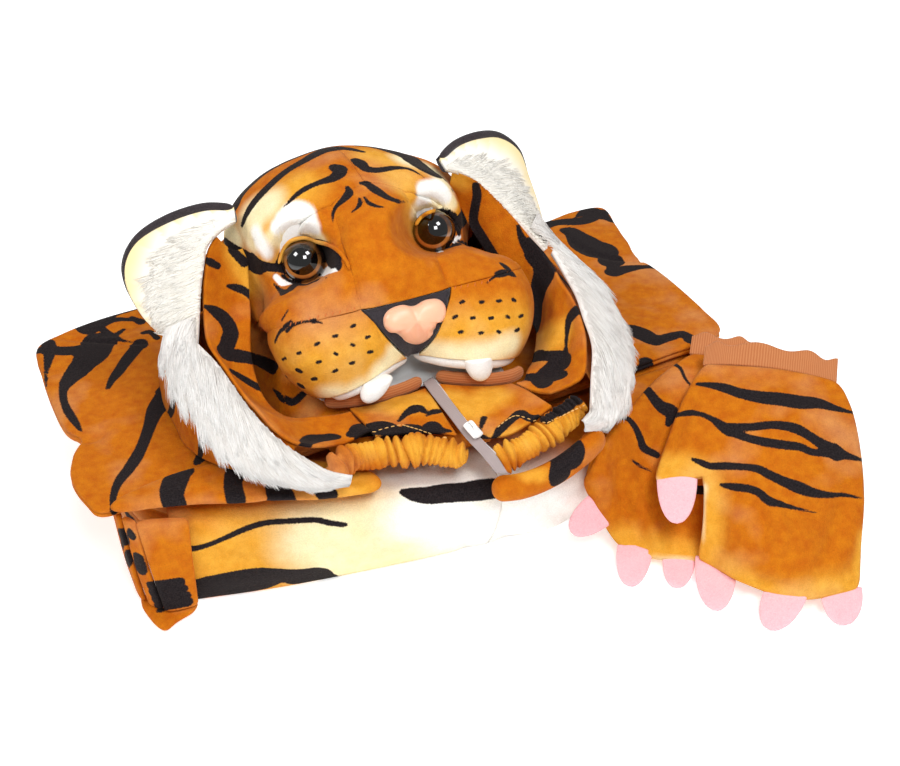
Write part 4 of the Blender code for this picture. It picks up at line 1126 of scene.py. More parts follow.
def nose_ring(turn, v):
    """From the middle of the back, round the edge and over the dome to the middle of the front."""
    place = turn * len(nose_foot)
    i = min(int(place), len(nose_foot) - 1)
    edge = blend(*nose_closed[i : i + 4], place - i)
    if v < NOSE_BACK_SHARE:
        inward, rise = 1 - v / NOSE_BACK_SHARE, NOSE_FOOT
    else:
        t = (v - NOSE_BACK_SHARE) / 0.8
        inward = 1 - cos(t * pi / 2) ** 0.8
        rise = NOSE_FOOT + (NOSE_HEIGHT - NOSE_FOOT) * (1 - (1 - t) ** 2.6)
    spot = edge.lerp(nose_centre, inward) + nose_out * rise
    local = spot - nose_centre
    x, y = local.dot(nose_across), local.dot(nose_down)
    if v > NOSE_BACK_SHARE:
        crease = CREASE_DEEP * np.exp(-((x / CREASE_HALF) ** 2)) * smooth((rise - 1) / 3)
        spot -= nose_out * (crease * (1.15 - 0.5 * smooth((y + 4) / 14)))
        for sign in (-1, 1):
            aside = (x - sign * NOSTRIL_ASIDE) / NOSTRIL_HALF[0]
            dent = aside**2 + ((y - NOSTRIL_DOWN) / NOSTRIL_HALF[1]) ** 2
            spot -= nose_out * (NOSTRIL_DEEP * np.exp(-dent) * smooth((rise - 1) / 3))
    return spot


nose = body("nose", nose_ring, (108, 40), NOSE_PLASTIC)
dress(nose, "head_nose")
print("nose width", round((nose_foot[4] - nose_foot[15]).length, 1), "mm")

# %% [markdown]
# ## Eyes
# The eyes are 24 mm safety eyes: a clear dome over a moulded disc with a black pupil and an amber ring. The
# glow at the ring's foot, where light from above gathers through the dome, is painted light.
# Rings of the ball round its own axis carry the angle from that axis, and the material turns the angle into
# pupil, ring and rim.

# %% Eyes
# Angles from the eye's axis, in radians, where the pupil ends and where the dark rim starts
PUPIL_EDGE = 0.74
RIM_EDGE = 0.93


def eye_glass():
    """Clear coat over a painted disc: black pupil, amber ring with a painted glow of light at its foot and
    darker above, and a dark rim.
    """
    found, tree, shader = new_material("eye_glass", 0.06)
    angle = add(tree, "Attribute", out="Fac", attribute_name="angle")
    level = add(tree, "Attribute", out="Fac", attribute_name="level")
    place = add(tree, "TexCoord", out="Object")
    fleck = add(tree, "TexNoise", {"Vector": place, "Scale": 420.0, "Detail": 3.0})
    fleck = add(tree, "Math", (fleck, 0.35), operation="MULTIPLY")
    # Painted light: the ring goes from dark brown above to a glowing amber at its foot, as if lit through the
    # dome from above.
    foot = add(tree, "Math", (level, -1.15, 0.30), operation="MULTIPLY_ADD", use_clamp=True)
    rim = add(tree, "Math", (angle, 9.0, -9.0 * RIM_EDGE), operation="MULTIPLY_ADD", use_clamp=True)
    ring = add(tree, "Math", (angle, 22.0, -22.0 * PUPIL_EDGE), operation="MULTIPLY_ADD", use_clamp=True)
    dye = add(tree, "Mix", {"Factor": foot, "A": "2E170A", "B": "CF8A45"}, **BLEND)
    dye = add(tree, "Mix", {"Factor": fleck, "A": dye, "B": "8A5424"}, **BLEND)
    dye = add(tree, "Mix", {"Factor": rim, "A": dye, "B": "20120A"}, **BLEND)
    dye = {"Factor": ring, "A": "040303", "B": dye}
    add(tree, "Mix", dye, into=shader.inputs["Base Color"], **BLEND)
    shader.inputs["Coat Weight"].default_value = 1.0
    shader.inputs["Coat Roughness"].default_value = 0.03
    shader.inputs["Specular IOR Level"].default_value = 0.5
    return found


EYE_GLASS = eye_glass()
eyes = []
for side, sign in SIDES:
    middle = eye_middle(sign)
    axis = EYE_LOOKS[side].normalized()
    level = axis.cross(Vector((0, 0, 1))).normalized()
    rise = level.cross(axis).normalized()

    def eye_ring(turn, v):
        angle = pi * (1 - v)
        round_it = level * cos(tau * turn) + rise * sin(tau * turn)
        return middle + (axis * cos(angle) + round_it * sin(angle)) * EYE_RADIUS

    eye = body("eye_" + side, eye_ring, (64, 48), EYE_GLASS)
    away = [(v.co / MM - middle) / EYE_RADIUS for v in eye.data.vertices]
    store(eye, "angle", [spot.angle(axis) for spot in away])
    store(eye, "level", [spot.dot(rise) for spot in away])
    eyes.append(dress(eye, "head_eye_" + side))
print("eyes", len(eyes))

# %% [markdown]
# ## Rolls: eyelids, lips and bindings
# An eyelid is the forehead's lower edge turned over the eye, a lip is a strip of white plush turned over
# the edge of a whisker pad, and a binding is a folded rib strip. All are soft rolls that follow a line,
# so one ring function makes them: a flattened round section that closes at both ends.

# %% A roll along a line
def rounded_ends(v, length=0.10):
    near = min(min(v, 1 - v) / length, 1.0)
    return 0.04 + 0.96 * sqrt(near * (2 - near))


def roll_ring(path, height, depth, swell=rounded_ends, upward=Vector((0, 0, 1)), close=0.03):
    """Ring function for a roll: height is its half size along upward, depth its half size across."""
    path = vectors(path)

    def ring(turn, v):
        inward = min(v / close, (1 - v) / close, 1.0)
        v = min(max((v - close) / (1 - 2 * close), 0.0), 1.0)
        centre = along(path, v)
        run = (along(path, min(v + 0.01, 1)) - along(path, max(v - 0.01, 0))).normalized()
        side = run.cross(upward).normalized()
        top = side.cross(run).normalized()
        size = swell(v) * inward
        return centre + (top * (height * cos(tau * turn)) + side * (depth * sin(tau * turn))) * size

    return ring


face_tree = skin(face + eyes)
LIDS = {
    "left": (
        (277, 264), (281, 253), (290, 244), (303, 240), (317, 240), (330, 244), (340, 252), (347, 262),
        (351, 270)
    ),
    "right": ((417, 226), (423, 218), (433, 213), (445, 212), (456, 215)),
}
LID_FORM = {"left": (1.2, 1.1), "right": (1.1, 1.0)}
lids = []
for side, sign in SIDES:
    line = [on_skin(face_tree, x, y, lift=1.2) for x, y in LIDS[side]]
    line = [spot for spot in line if spot]
    outward = (eye_middle(sign) - Vector((HEAD_X, HEAD_Y, HEAD_Z))).normalized()
    lid = body("eyelid_" + side, roll_ring(line, *LID_FORM[side], upward=outward), (20, 70), TIGER)
    lids.append(attach(lid))
paint(
    lids,
    gold=seen(
        "photo",
        ([(277, 264, 6), (290, 244, 8), (318, 240, 8)], 12.0),
        ([(415, 222, 5), (456, 214, 5)], 12.0),
    ),
    stripe=seen("photo", [(348, 272, 1), (352, 276, 1)]),
)
print("eyelids", len(lids))

# %% [markdown]
# ## Lips and fangs
# Under each whisker pad a strip of white plush is turned over the edge, and a soft white fang hangs from
# it. The lips follow the lower edge of the pads, which is where the same angles of the head put them.

# %% Lips and fangs
mouth = []
LIP_REACH = {"left": (2, 36), "right": (2, 62)}
LIP_FORM = (4.2, 3.6)
for side, sign in SIDES:
    low, high = LIP_REACH[side]
    run = [share(low, high, k / 12) for k in range(13)]
    line = [head(pad_foot(angle) + 2.0, sign * angle, -2.6) for angle in run]
    lip = body("lip_" + side, roll_ring(line, *LIP_FORM), (18, 90), WHITE_PLUSH)
    mouth.append(attach(lip))
FANGS = {"left": ((-43, -88, 104), (-50, -93, 93.5)), "right": ((12, -91, 107), (12.5, -95.5, 93.5))}
FANG_HALF = 8.2
FANG_FLATNESS = 0.7
for side, sign in SIDES:
    root, tip = vectors(FANGS[side])

    def fang_ring(turn, v):
        angle = tau * turn
        size = FANG_HALF * sqrt(max(1 - v**2.4, 0.0)) * min(v / 0.04, 1.0)
        return root.lerp(tip, v) + Vector((size * cos(angle), FANG_FLATNESS * size * sin(angle), 0))

    mouth.append(dress(body("fang_" + side, fang_ring, (40, 30), WHITE_PLUSH), "head_fang_" + side))
print("mouth pieces", len(mouth))

# %% [markdown]
# ## Filling
# The padding under the face shows only through the mouth and beside the eyes, so it gets the plain form
# of the head a few millimetres below the cloth.

# %% Filling
FILLING_FOOT = 86
FILLING_SIDE = 82
FILLING_GAP = 5.6
FILLING_CORE = 14


def filling_place(u, v):
    return share(HEAD_BACK, FILLING_FOOT, v), share(-FILLING_SIDE, FILLING_SIDE, u)


def filling_ring(u, v):
    spot = sunk(*filling_place(u, v))
    return spot + (Vector((HEAD_X, HEAD_Y, HEAD_Z)) - spot).normalized() * (CLOTH + FILLING_GAP)


def filling_back(u, v):
    return head_point(*filling_place(u, v), FILLING_CORE)


def closed_between(name, front, back, cells, look):
    """Closed body between two surfaces that share their edge lines."""
    work = grid_on(front, cells)
    first = list(work.verts)
    places = [v.co.copy() for v in first]
    grown = bmesh.ops.extrude_face_region(work, geom=work.faces[:])
    second = [v for v in grown["geom"] if isinstance(v, bmesh.types.BMVert)]
    flat = grid_on(back, cells)
    move_to(second, places, [v.co.copy() for v in flat.verts])
    flat.free()
    return finish_mesh(name, work, look)


filling = closed_between("head_padding", filling_ring, filling_back, (40, 36), WHITE_PLUSH)
dress(filling, "head_filling")
print("filling", faces_of([filling]))

# %% [markdown]
# ## The bowl of the hood
# Round the head the hood lies as a bowl of plush whose upper edge is sewn to the fur, with the chin
# panels and the rib binding in front of it. The bowl has a few soft upright folds where the cloth is
# pushed together.

# %% Hood sides, back and hidden layers
# Columns: inner edge by the head, outer edge at the fur. Rows: from the ear round to the zip.
CURTAINS = {
    "left": (
        ((-87, -5, 150), (-104, -10, 161)),
        ((-90, -15, 136), (-110, -14, 154)),
        ((-94, -28, 119), (-116, -22, 138)),
        ((-99, -45, 103), (-121, -40, 122)),
        ((-99, -65, 92), (-118, -64, 116)),
        ((-92, -81, 88), (-112, -97, 109)),
        ((-78, -87, 88), (-100, -115, 98)),
        ((-66, -88, 87), (-80, -116, 90)),
        ((-59, -88, 87), (-55, -108, 88)),
    ),
    "right": (
        ((31, 1, 160), (31, -8, 175)),
        ((37, -5, 150), (44, -13, 168)),
        ((41, -15, 138), (52, -20, 160)),
        ((49, -26, 122), (60, -31, 149)),
        ((56, -42, 106), (71, -45, 133)),
        ((60, -60, 94), (74, -62, 124)),
        ((50, -80, 90), (72, -89, 118)),
        ((42, -90, 90), (68, -107, 110)),
        ((37, -97, 89), (59, -122, 100)),
        ((32, -98, 89), (41, -121, 95)),
    ),
}
CURTAIN_SAG = 5.0
CURTAIN_FOLD = 1.6
CURTAIN_CREASES = {
    "left": seen(
        "photo",
        ([(215, 255, 2), (228, 290, 3), (250, 325, 3)], 4.0, -1.4),
        ([(205, 300, 3), (222, 345, 4), (250, 380, 2)], 5.0, 1.0),
        ([(268, 392, 3), (290, 408, 4), (312, 398, 2)], 6.0, -1.6),
        ([(262, 412, 3), (300, 430, 5), (345, 428, 3)], 6.0, 1.3),
        ([(330, 432, 3), (360, 438, 4), (384, 428, 2)], 5.0, -1.2),
    ),
    "right": seen(
        "photo",
        ([(480, 195, 3), (500, 240, 4), (528, 285, 3)], 6.0, 1.5),
        ([(512, 250, 2), (535, 300, 3), (532, 340, 2)], 5.0, -1.6),
        ([(555, 270, 3), (552, 310, 5), (545, 340, 3)], 7.0, 1.6),
        ([(566, 300, 2), (566, 340, 3), (560, 372, 2)], 4.0, -1.5),
        ([(575, 330, 3), (580, 370, 4), (572, 400, 2)], 6.0, 1.2),
        ([(505, 400, 3), (540, 392, 5), (560, 404, 2)], 7.0, -1.3),
    ),
}


def curtain(rows, sign):
    inner = [Vector(row[0]) for row in rows]
    outer = [Vector(row[1]) for row in rows]

    def at(u, v):
        spot = along(inner, v).lerp(along(outer, v), u)
        spot.z -= CURTAIN_SAG * sin(pi * u) * (1 - 0.6 * v)
        spot.z += CURTAIN_FOLD * sin(tau * 3.5 * v) * sin(pi * u)
        spot.x += sign * 1.2 * sin(tau * 2.5 * v) * sin(pi * u)
        return spot

    return at


# Columns: top edge, foot. Rows: from the neck round to the centre back.
SKIRTS = {
    "left": (
        ((-96, -114, 92), (-104, -108, 72.5)),
        ((-114, -92, 101), (-129, -88, 71.5)),
        ((-121, -64, 106), (-138, -60, 65)),
        ((-124, -40, 110), (-140, -34, 65)),
        ((-126, -14, 108), (-140, -2, 65)),
        ((-116, 16, 124), (-130, 36, 65)),
        ((-94, 34, 130), (-104, 74, 65)),
        ((-62, 52, 138), (-66, 92, 65)),
        ((HEAD_X - GAP, 63, 142), (HEAD_X - GAP, 100, 65)),
    ),
    "right": (
        ((64, -112, 98), (74, -106, 65)),
        ((70, -94, 106), (92, -90, 65)),
        ((74, -74, 112), (104, -70, 65)),
        ((76, -52, 116), (110, -44, 65)),
        ((76, -20, 124), (110, -6, 65)),
        ((64, 18, 128), (96, 38, 65)),
        ((48, 34, 132), (66, 76, 65)),
        ((16, 52, 139), (24, 94, 65)),
        ((HEAD_X + GAP, 63, 142), (HEAD_X + GAP, 100, 65)),
    ),
}
SKIRT_BULGE = 4.0
SKIRT_CREASES = {
    "left": seen(
        "left",
        ([(-70, 96, 2), (-58, 82, 3), (-50, 68, 2)], 5.0, -1.6),
        ([(-20, 104, 3), (-6, 88, 4), (-2, 70, 2)], 7.0, 1.5),
        ([(20, 116, 2), (34, 94, 4), (44, 70, 2)], 6.0, -1.6),
    ) + seen(
        "back",
        ([(-92, 122, 2), (-84, 100, 4), (-88, 72, 2)], 7.0, 1.6),
        ([(-56, 132, 2), (-50, 108, 3), (-58, 76, 2)], 6.0, -1.5),
    ),
    "right": seen(
        "back",
        ([(10, 130, 2), (2, 106, 4), (10, 74, 2)], 6.0, 1.6),
        ([(44, 122, 2), (48, 100, 3), (58, 72, 2)], 6.0, -1.6),
    ) + seen(
        "right",
        ([(22, 118, 2), (30, 96, 4), (24, 72, 2)], 7.0, 1.4),
        ([(-20, 112, 2), (-14, 92, 3), (-20, 70, 2)], 5.0, -1.5),
        ([(-62, 104, 2), (-66, 86, 3), (-60, 70, 2)], 5.0, 1.3),
    ),
}


def skirt(rows):
    top = [Vector(row[0]) for row in rows]
    foot = [Vector(row[1]) for row in rows]
    middle = Vector((HEAD_X, 0, 0))

    def at(u, v):
        spot = along(top, v).lerp(along(foot, v), u)
        out = Vector((spot.x, spot.y, 0)) - middle
        return spot + out.normalized() * (SKIRT_BULGE * sin(pi * u))

    return at


hood, curtains, skirts = [], {}, {}
for side, sign in SIDES:
    made = cloth(
        "hood_bowl_" + side, curtain(CURTAINS[side], sign), (26, 170), TIGER, behind=sign,
        creases=CURTAIN_CREASES[side],
    )
    curtains[side] = dress(made, "hood_side_" + side)
    made = cloth(
        "hood_back_panel_" + side, skirt(SKIRTS[side]), (30, 130), TIGER, behind=sign,
        creases=SKIRT_CREASES[side], rolled=0.7,
    )
    skirts[side] = dress(made, "hood_back_" + side)

# Columns: y, half width, height at the middle.
HOOD_LAYERS = (
    (-112, 34, 75), (-104, 40, 79), (-88, 48, 80), (-66, 54, 82), (-54, 62, 84), (-46, 66, 102.5),
    (-15, 72, 103.5), (8, 74, 113.5), (32, 70, 127.5), (50, 64, 134), (62, 58, 120), (78, 48, 90),
)
SLEEVE_TOP = 63.8
HOOD_UNDER = SLEEVE_TOP + GAP + 0.6
HOOD_STATIONS = vectors(HOOD_LAYERS)


def hood_layer_top(u, v):
    y, half, height = along(HOOD_STATIONS, v)
    s = 2 * u - 1
    round_off = sqrt(max(1 - s**4, 0.0))
    return Vector((HEAD_X + half * s, y, HOOD_UNDER + 4.0 + (height - HOOD_UNDER - 4.0) * round_off))


def hood_layer_under(u, v):
    top = hood_layer_top(u, v)
    return Vector((top.x, top.y, HOOD_UNDER))


layers = closed_between("hood_hidden_layers", hood_layer_top, hood_layer_under, (70, 80), TIGER)
hood.append(dress(layers, "hood_folded_layers"))
print("hood pieces", len(hood) + len(curtains) + len(skirts))

# %% Print on the hood
CURTAIN_STRIPES = {
    "left": seen(
        "photo",
        [(203, 259, 4), (210, 262, 8), (218, 266, 7)],
        [(228, 286, 4), (237, 288, 8), (246, 292, 8), (258, 304, 6)],
        [(204, 306, 3), (214, 311, 9), (224, 319, 13), (230, 331, 15), (228, 342, 15), (223, 352, 14)],
        [(223, 352, 12), (233, 355, 12), (245, 357, 12), (260, 361, 12), (274, 368, 14)],
        [(231, 371, 3), (244, 379, 6), (258, 387, 7), (280, 397, 8), (293, 402, 8), (302, 395, 7),
         (310, 390, 5), (328, 390, 2)],
        [(297, 448, 4), (310, 441, 8), (326, 438, 8), (338, 437, 4)],
        [(352, 434, 8), (370, 428, 16), (392, 424, 18), (404, 432, 10)],
        [(222, 240, 3), (232, 250, 8), (244, 262, 10)],
    ),
    "right": seen(
        "photo",
        [(476, 186, 8), (477, 196, 9), (475, 208, 9), (474, 222, 10), (482, 240, 14), (494, 256, 10),
         (502, 264, 4)],
        [(518, 226, 4), (523, 240, 9), (536, 254, 20), (545, 268, 22), (540, 286, 16), (538, 304, 12),
         (537, 322, 10), (532, 340, 10), (526, 358, 8)],
        [(530, 244, 12), (545, 254, 20), (554, 262, 12)],
        [(576, 298, 3), (578, 308, 8), (570, 318, 7), (567, 334, 4), (566, 350, 4), (566, 362, 10)],
        [(524, 361, 3), (534, 357, 8), (548, 356, 10), (562, 358, 14), (552, 370, 18), (545, 378, 14),
         (560, 376, 8), (566, 375, 3)],
        [(545, 384, 10), (535, 378, 9), (523, 378, 6), (510, 384, 5), (498, 393, 5), (488, 404, 5),
         (482, 418, 6), (480, 430, 5)],
        [(590, 390, 12), (576, 396, 12), (563, 402, 8), (552, 412, 6)],
    ),
}
CURTAIN_GOLD = {
    "left": seen(
        "photo",
        ([(225, 236, 6), (236, 250, 8), (252, 284, 6)], 10.0),
        ([(350, 410, 6), (385, 408, 8)], 12.0),
    ),
    "right": seen(
        "photo",
        ([(560, 332, 8), (545, 342, 10), (530, 350, 6)], 12.0),
        ([(452, 176, 5), (460, 182, 6)], 9.0),
        ([(490, 404, 6), (478, 420, 6)], 9.0),
    ),
}
SKIRT_STRIPES = {
    "left": seen(
        "left",
        [(-86, 100, 6), (-74, 88, 9), (-72, 70, 6)],
        [(-30, 112, 4), (-22, 96, 10), (-30, 78, 8), (-24, 66, 6)],
        [(6, 118, 5), (14, 100, 9), (8, 84, 6)],
    ) + seen(
        "back",
        [(-120, 112, 4), (-108, 98, 9), (-112, 78, 7)],
        [(-88, 134, 4), (-78, 116, 10), (-84, 96, 9), (-76, 76, 6)],
        [(-52, 138, 4), (-44, 118, 9), (-48, 100, 5)],
    ),
    "right": seen(
        "right",
        [(-84, 108, 5), (-78, 92, 9), (-84, 74, 6)],
        [(-40, 118, 4), (-34, 100, 10), (-42, 82, 8), (-36, 68, 6)],
        [(2, 124, 4), (6, 104, 9), (-2, 84, 6)],
    ) + seen(
        "back",
        [(-8, 140, 4), (-2, 120, 9), (-8, 100, 9), (2, 80, 5)],
        [(30, 134, 4), (34, 116, 10), (28, 94, 7), (36, 74, 5)],
        [(68, 124, 4), (74, 104, 9), (70, 82, 6)],
    ),
}
SKIRT_GOLD = seen("back", ([(-23, 138, 6), (-23, 110, 8)], 14.0))
HOOD_STRIPES = seen("top", [(-60, 40, 6), (-30, 46, 10), (10, 40, 6)])
for side, _ in SIDES:
    paint([curtains[side]], stripe=CURTAIN_STRIPES[side], gold=CURTAIN_GOLD[side])
    paint([skirts[side]], stripe=SKIRT_STRIPES[side], gold=SKIRT_GOLD)
    HOOD_STRIPES += CURTAIN_STRIPES[side]
paint(hood, stripe=HOOD_STRIPES)
print("hood painted")

# %% [markdown]
# ## Fur
# The trim is long-pile fur combed outwards from its seam. Real fur is made of strands that gather into
# wisps, so each strand starts on the form of the trim, follows it and is drawn towards the middle of its
# wisp at the tip. One three-sided strand is made with operators and copied, and the copies are then moved
# as arrays.

# %% Strands that follow a surface
STRAND_RINGS = (0.0, 0.4, 0.75, 1.0)
STRAND_TAPER = (0.7, 1.0, 0.75, 0.12)
STRAND_SIDES = 3


def one_strand():
    work = bmesh.new()
    loops = [bmesh.ops.create_circle(work, segments=STRAND_SIDES, radius=1)["verts"] for _ in STRAND_RINGS]
    for loop, height in zip(loops, STRAND_RINGS):
        bmesh.ops.translate(work, vec=(0, 0, height), verts=loop)
    for first, second in zip(loops, loops[1:]):
        edges = {e for loop in (first, second) for v in loop for e in v.link_edges if e.other_vert(v) in loop}
        bmesh.ops.bridge_loops(work, edges=list(edges))
    for loop in (loops[0], loops[-1]):
        bmesh.ops.contextual_create(work, geom=loop)
    bmesh.ops.recalc_face_normals(work, faces=work.faces)
    mesh = bpy.data.meshes.new("strand")
    work.to_mesh(mesh)
    work.free()
    return mesh


STRAND = one_strand()


def strands(name, surface, roots, reach, radius, look, seed, wisps, pull, comb, lift, low=None):
    """Fur on a surface: roots gives (u, v) for each strand, reach how far it runs on in u."""
    rng = np.random.default_rng(seed)
    work = bmesh.new()
    for _ in roots:
        work.from_mesh(STRAND)
    mesh = bpy.data.meshes.new(name)
    work.to_mesh(mesh)
    work.free()
    centres = rng.random((wisps, 2))
    lengths = 0.75 + 0.5 * rng.random(wisps)
    spots, tones = [], []
    turns = tau * np.arange(STRAND_SIDES) / STRAND_SIDES
    for u, v in roots:
        near = int(np.argmin((centres[:, 1] - v) ** 2 * 9 + (centres[:, 0] - u) ** 2 * 0.3))
        aim = centres[near, 1]
        run = reach(u, v) * lengths[near] * (0.8 + 0.4 * rng.random())
        sway = (rng.random() - 0.5) * 0.03
        rise = lift[0] + (lift[1] - lift[0]) * rng.random()
        path = []
        for t in STRAND_RINGS:
            spot = surface(u + run * t, v + (aim - v) * pull * t * t + (sway + comb) * t, rise * (0.4 + t))
            if low is not None:
                spot.z = max(spot.z, low(spot) + 0.6 * rise)
            path.append(spot)
        path = np.array([p[:] for p in path])
        way = path[-1] - path[0]
        side = np.cross(way, (0.31, 0.17, 0.93))
        side /= np.linalg.norm(side) + 1e-9
        other = np.cross(way, side)
        other /= np.linalg.norm(other) + 1e-9
        size = radius * (0.7 + 0.6 * rng.random()) * np.array(STRAND_TAPER)
        ring = np.cos(turns)[:, None] * side + np.sin(turns)[:, None] * other
        spots.append(path[:, None, :] + size[:, None, None] * ring[None])
        tones.append(rng.random() ** 2)
    count = len(roots)
    mesh.vertices.foreach_set("co", (np.array(spots) * MM).ravel())
    each = STRAND_SIDES * len(STRAND_RINGS)
    mesh.shade_smooth()
    mesh.materials.append(look)
    made = bpy.data.objects.new(name, mesh)
    bpy.context.scene.collection.objects.link(made)
    store(made, "run", np.tile(np.repeat(STRAND_RINGS, STRAND_SIDES), count))
    store(made, "tone", np.repeat(tones, each))
    store(made, "gold", np.zeros(count * each))
    return made


# %% Ears
# Columns: edge at the hood, edge at the ear's rim. Rows: from the crown down to the fur.
EARS = {
    "left": (
        ((-93, -9, 168), (-92, -3, 173)),
        ((-104, -12, 165), (-108, 1, 174)),
        ((-112, -14, 159), (-127, 8, 167)),
        ((-116, -18, 149), (-143, 13, 156)),
        ((-120, -24, 139), (-151, 12, 143)),
        ((-123, -31, 131), (-152, 6, 131)),
        ((-126, -38, 124), (-148, -5, 120)),
        ((-128, -42, 119), (-142, -15, 113)),
    ),
    "right": (
        ((28, -9, 177), (26, -3, 181)),
        ((36, -10, 174), (40, 6, 184)),
        ((44, -13, 169), (55, 9, 185)),
        ((51, -19, 162), (69, 12, 181)),
        ((58, -27, 154), (81, 12, 170)),
        ((64, -34, 147), (86, 8, 154)),
        ((69, -40, 141), (88, -1, 141)),
        ((73, -45, 136), (88, -10, 131)),
    ),
}
EAR_HOLLOW = 4.0
EAR_FRONT = 2.6
EAR_START = 0.16
EAR_EDGE = 1.07


def ear(rows, start, reach):
    inner = [Vector(row[0]) for row in rows]
    outer = [Vector(row[1]) for row in rows]

    def at(u, v):
        low, high = along(inner, v), along(outer, v)
        place = share(start, reach, u)
        hollow = EAR_HOLLOW * sin(pi * min(max(place, 0.0), 1.0)) * sin(pi * min(max(v, 0.0), 1.0))
        return low.lerp(high, place) + Vector((0, 0.85, -0.5)) * hollow

    return at


def inside(t):
    """Share of the way along a side, kept off its very ends, where a normal can't be measured."""
    return min(max(t, 0.02), 0.98)


def normal_at(surface, u, v):
    run = surface(min(u + 0.01, 1), v) - surface(max(u - 0.01, 0), v)
    rise = surface(u, min(v + 0.01, 1)) - surface(u, max(v - 0.01, 0))
    return run.cross(rise).normalized()


def lifted(surface, distance):
    return lambda u, v: surface(u, v) + normal_at(surface, u, v) * distance


EAR_STRANDS = 2200
EAR_HAIR = 0.34
EAR_WISPS = 90
EAR_RIM = 0.66
PIPING_FORM = (2.5, 2.1)
fur_pieces = []


def piping_swell(v):
    """The piping is thickest over the top of the ear and thins towards its foot."""
    return rounded_ends(v, 0.05) * (1 - 0.72 * smooth((v - 0.25) / 0.5))


for side, sign in SIDES:
    front = ear(EARS[side], 0.0, 1.0)
    inner = cloth("ear_front_" + side, front, (34, 80), IVORY_FUR, behind=sign, wall=EAR_FRONT)
    dress(inner, "ear_inner_" + side)
    # A run of 0.5 gives the ear's cloth half of the painted root shade.
    for name, value in (("run", 0.5), ("tone", 0.3)):
        store(inner, name, [value] * len(inner.data.vertices))
    behind = lifted(ear(EARS[side], EAR_START, EAR_EDGE), sign * (EAR_FRONT + 0.5))
    back = cloth("ear_back_cloth_" + side, behind, (34, 80), BLACK_CLOTH, behind=sign, rolled=-0.8)
    dress(back, "ear_back_" + side)

    def ear_lift(u, v, rise):
        return front(u, v) - normal_at(front, inside(u), inside(v)) * (sign * rise)

    rng = np.random.default_rng(11 + sign)
    runs, rises = rng.random(EAR_STRANDS), rng.random(EAR_STRANDS)
    roots = [(u * (0.31 + 0.40 * v) - 0.05, v) for u, v in zip(runs, rises)]
    short = strands(
        "ear_fur_" + side, ear_lift, roots, lambda u, v: 0.20 + 0.16 * v, EAR_HAIR, IVORY_FUR, 21 + sign,
        EAR_WISPS, pull=0.30, comb=0.12, lift=(0.1, 0.7),
    )
    rim = [front(1.0, k / 24) - normal_at(front, 0.97, inside(k / 24)) * (sign * -0.8) for k in range(25)]
    piping_form = roll_ring(rim, *PIPING_FORM, swell=piping_swell)
    attach(body("ear_piping_" + side, piping_form, (16, 110), BLACK_CLOTH))
    attach(short)
    places = [(front(0.05, k / 12), front(1.0, k / 12)) for k in range(13)]
    values = []
    for v in inner.data.vertices:
        spot = v.co / MM
        low, high = min(places, key=lambda pair: (spot - pair[0].lerp(pair[1], 0.6)).length)
        values.append(0.85 * smooth(((spot - low).length / (high - low).length - EAR_RIM) / 0.3))
    store(inner, "gold", values)
    fur_pieces.append(short)
print("ear fur triangles", faces_of(fur_pieces))

# %% Fur trims
# Columns: root edge, tips. Rows: from the ear down to the neck.
FURS = {
    "left": (
        ((-126.5, -44, 118.8), (-144, -36, 104)),
        ((-121, -65.5, 116), (-140, -72, 98)),
        ((-115, -98.5, 109), (-131, -102, 90)),
        ((-104, -119, 98), (-117, -122, 83)),
        ((-88, -133, 87), (-97, -138, 81)),
    ),
    "right": (
        ((75, -47, 134), (95, -12, 119)),
        ((76.5, -60, 127), (108, -42, 105)),
        ((75.4, -77, 123.2), (106, -68, 98)),
        ((72.6, -93, 118), (102, -88, 93)),
        ((70, -110, 110), (96, -108, 87)),
        ((62, -126, 100), (83, -126, 80)),
        ((56, -138, 91), (67, -138, 76)),
    ),
}
FUR_RISE = 5.0
FUR_UNDER = 4.0
FUR_STRANDS = 6000
FUR_HAIR = 0.26
FUR_WISPS = 70
# Where the fur's tips lie: on the pile inside its half width and behind its front, or freely in the air
PILE_TOP = 70.5
PILE_HALF = 178
PILE_FRONT = -128
FREE_FLOOR = 40.0


def fur(rows, rise, side=1):
    inner = [Vector(row[0]) for row in rows]
    outer = [Vector(row[1]) for row in rows]

    def at(u, v, more=0.0):
        low, high = along(inner, v), along(outer, v)
        thick = rise * sqrt(max(1 - abs(2 * u - 1) ** 3, 0.0)) + (0.5 + more) * side
        return low.lerp(high, u) + Vector((0, -0.5, 0.85)) * thick

    return at


def fur_floor(spot):
    """The fur's tips come to rest on the folded pile, or hang free beyond its edge."""
    return PILE_TOP if abs(spot.x) < PILE_HALF and spot.y > PILE_FRONT else FREE_FLOOR


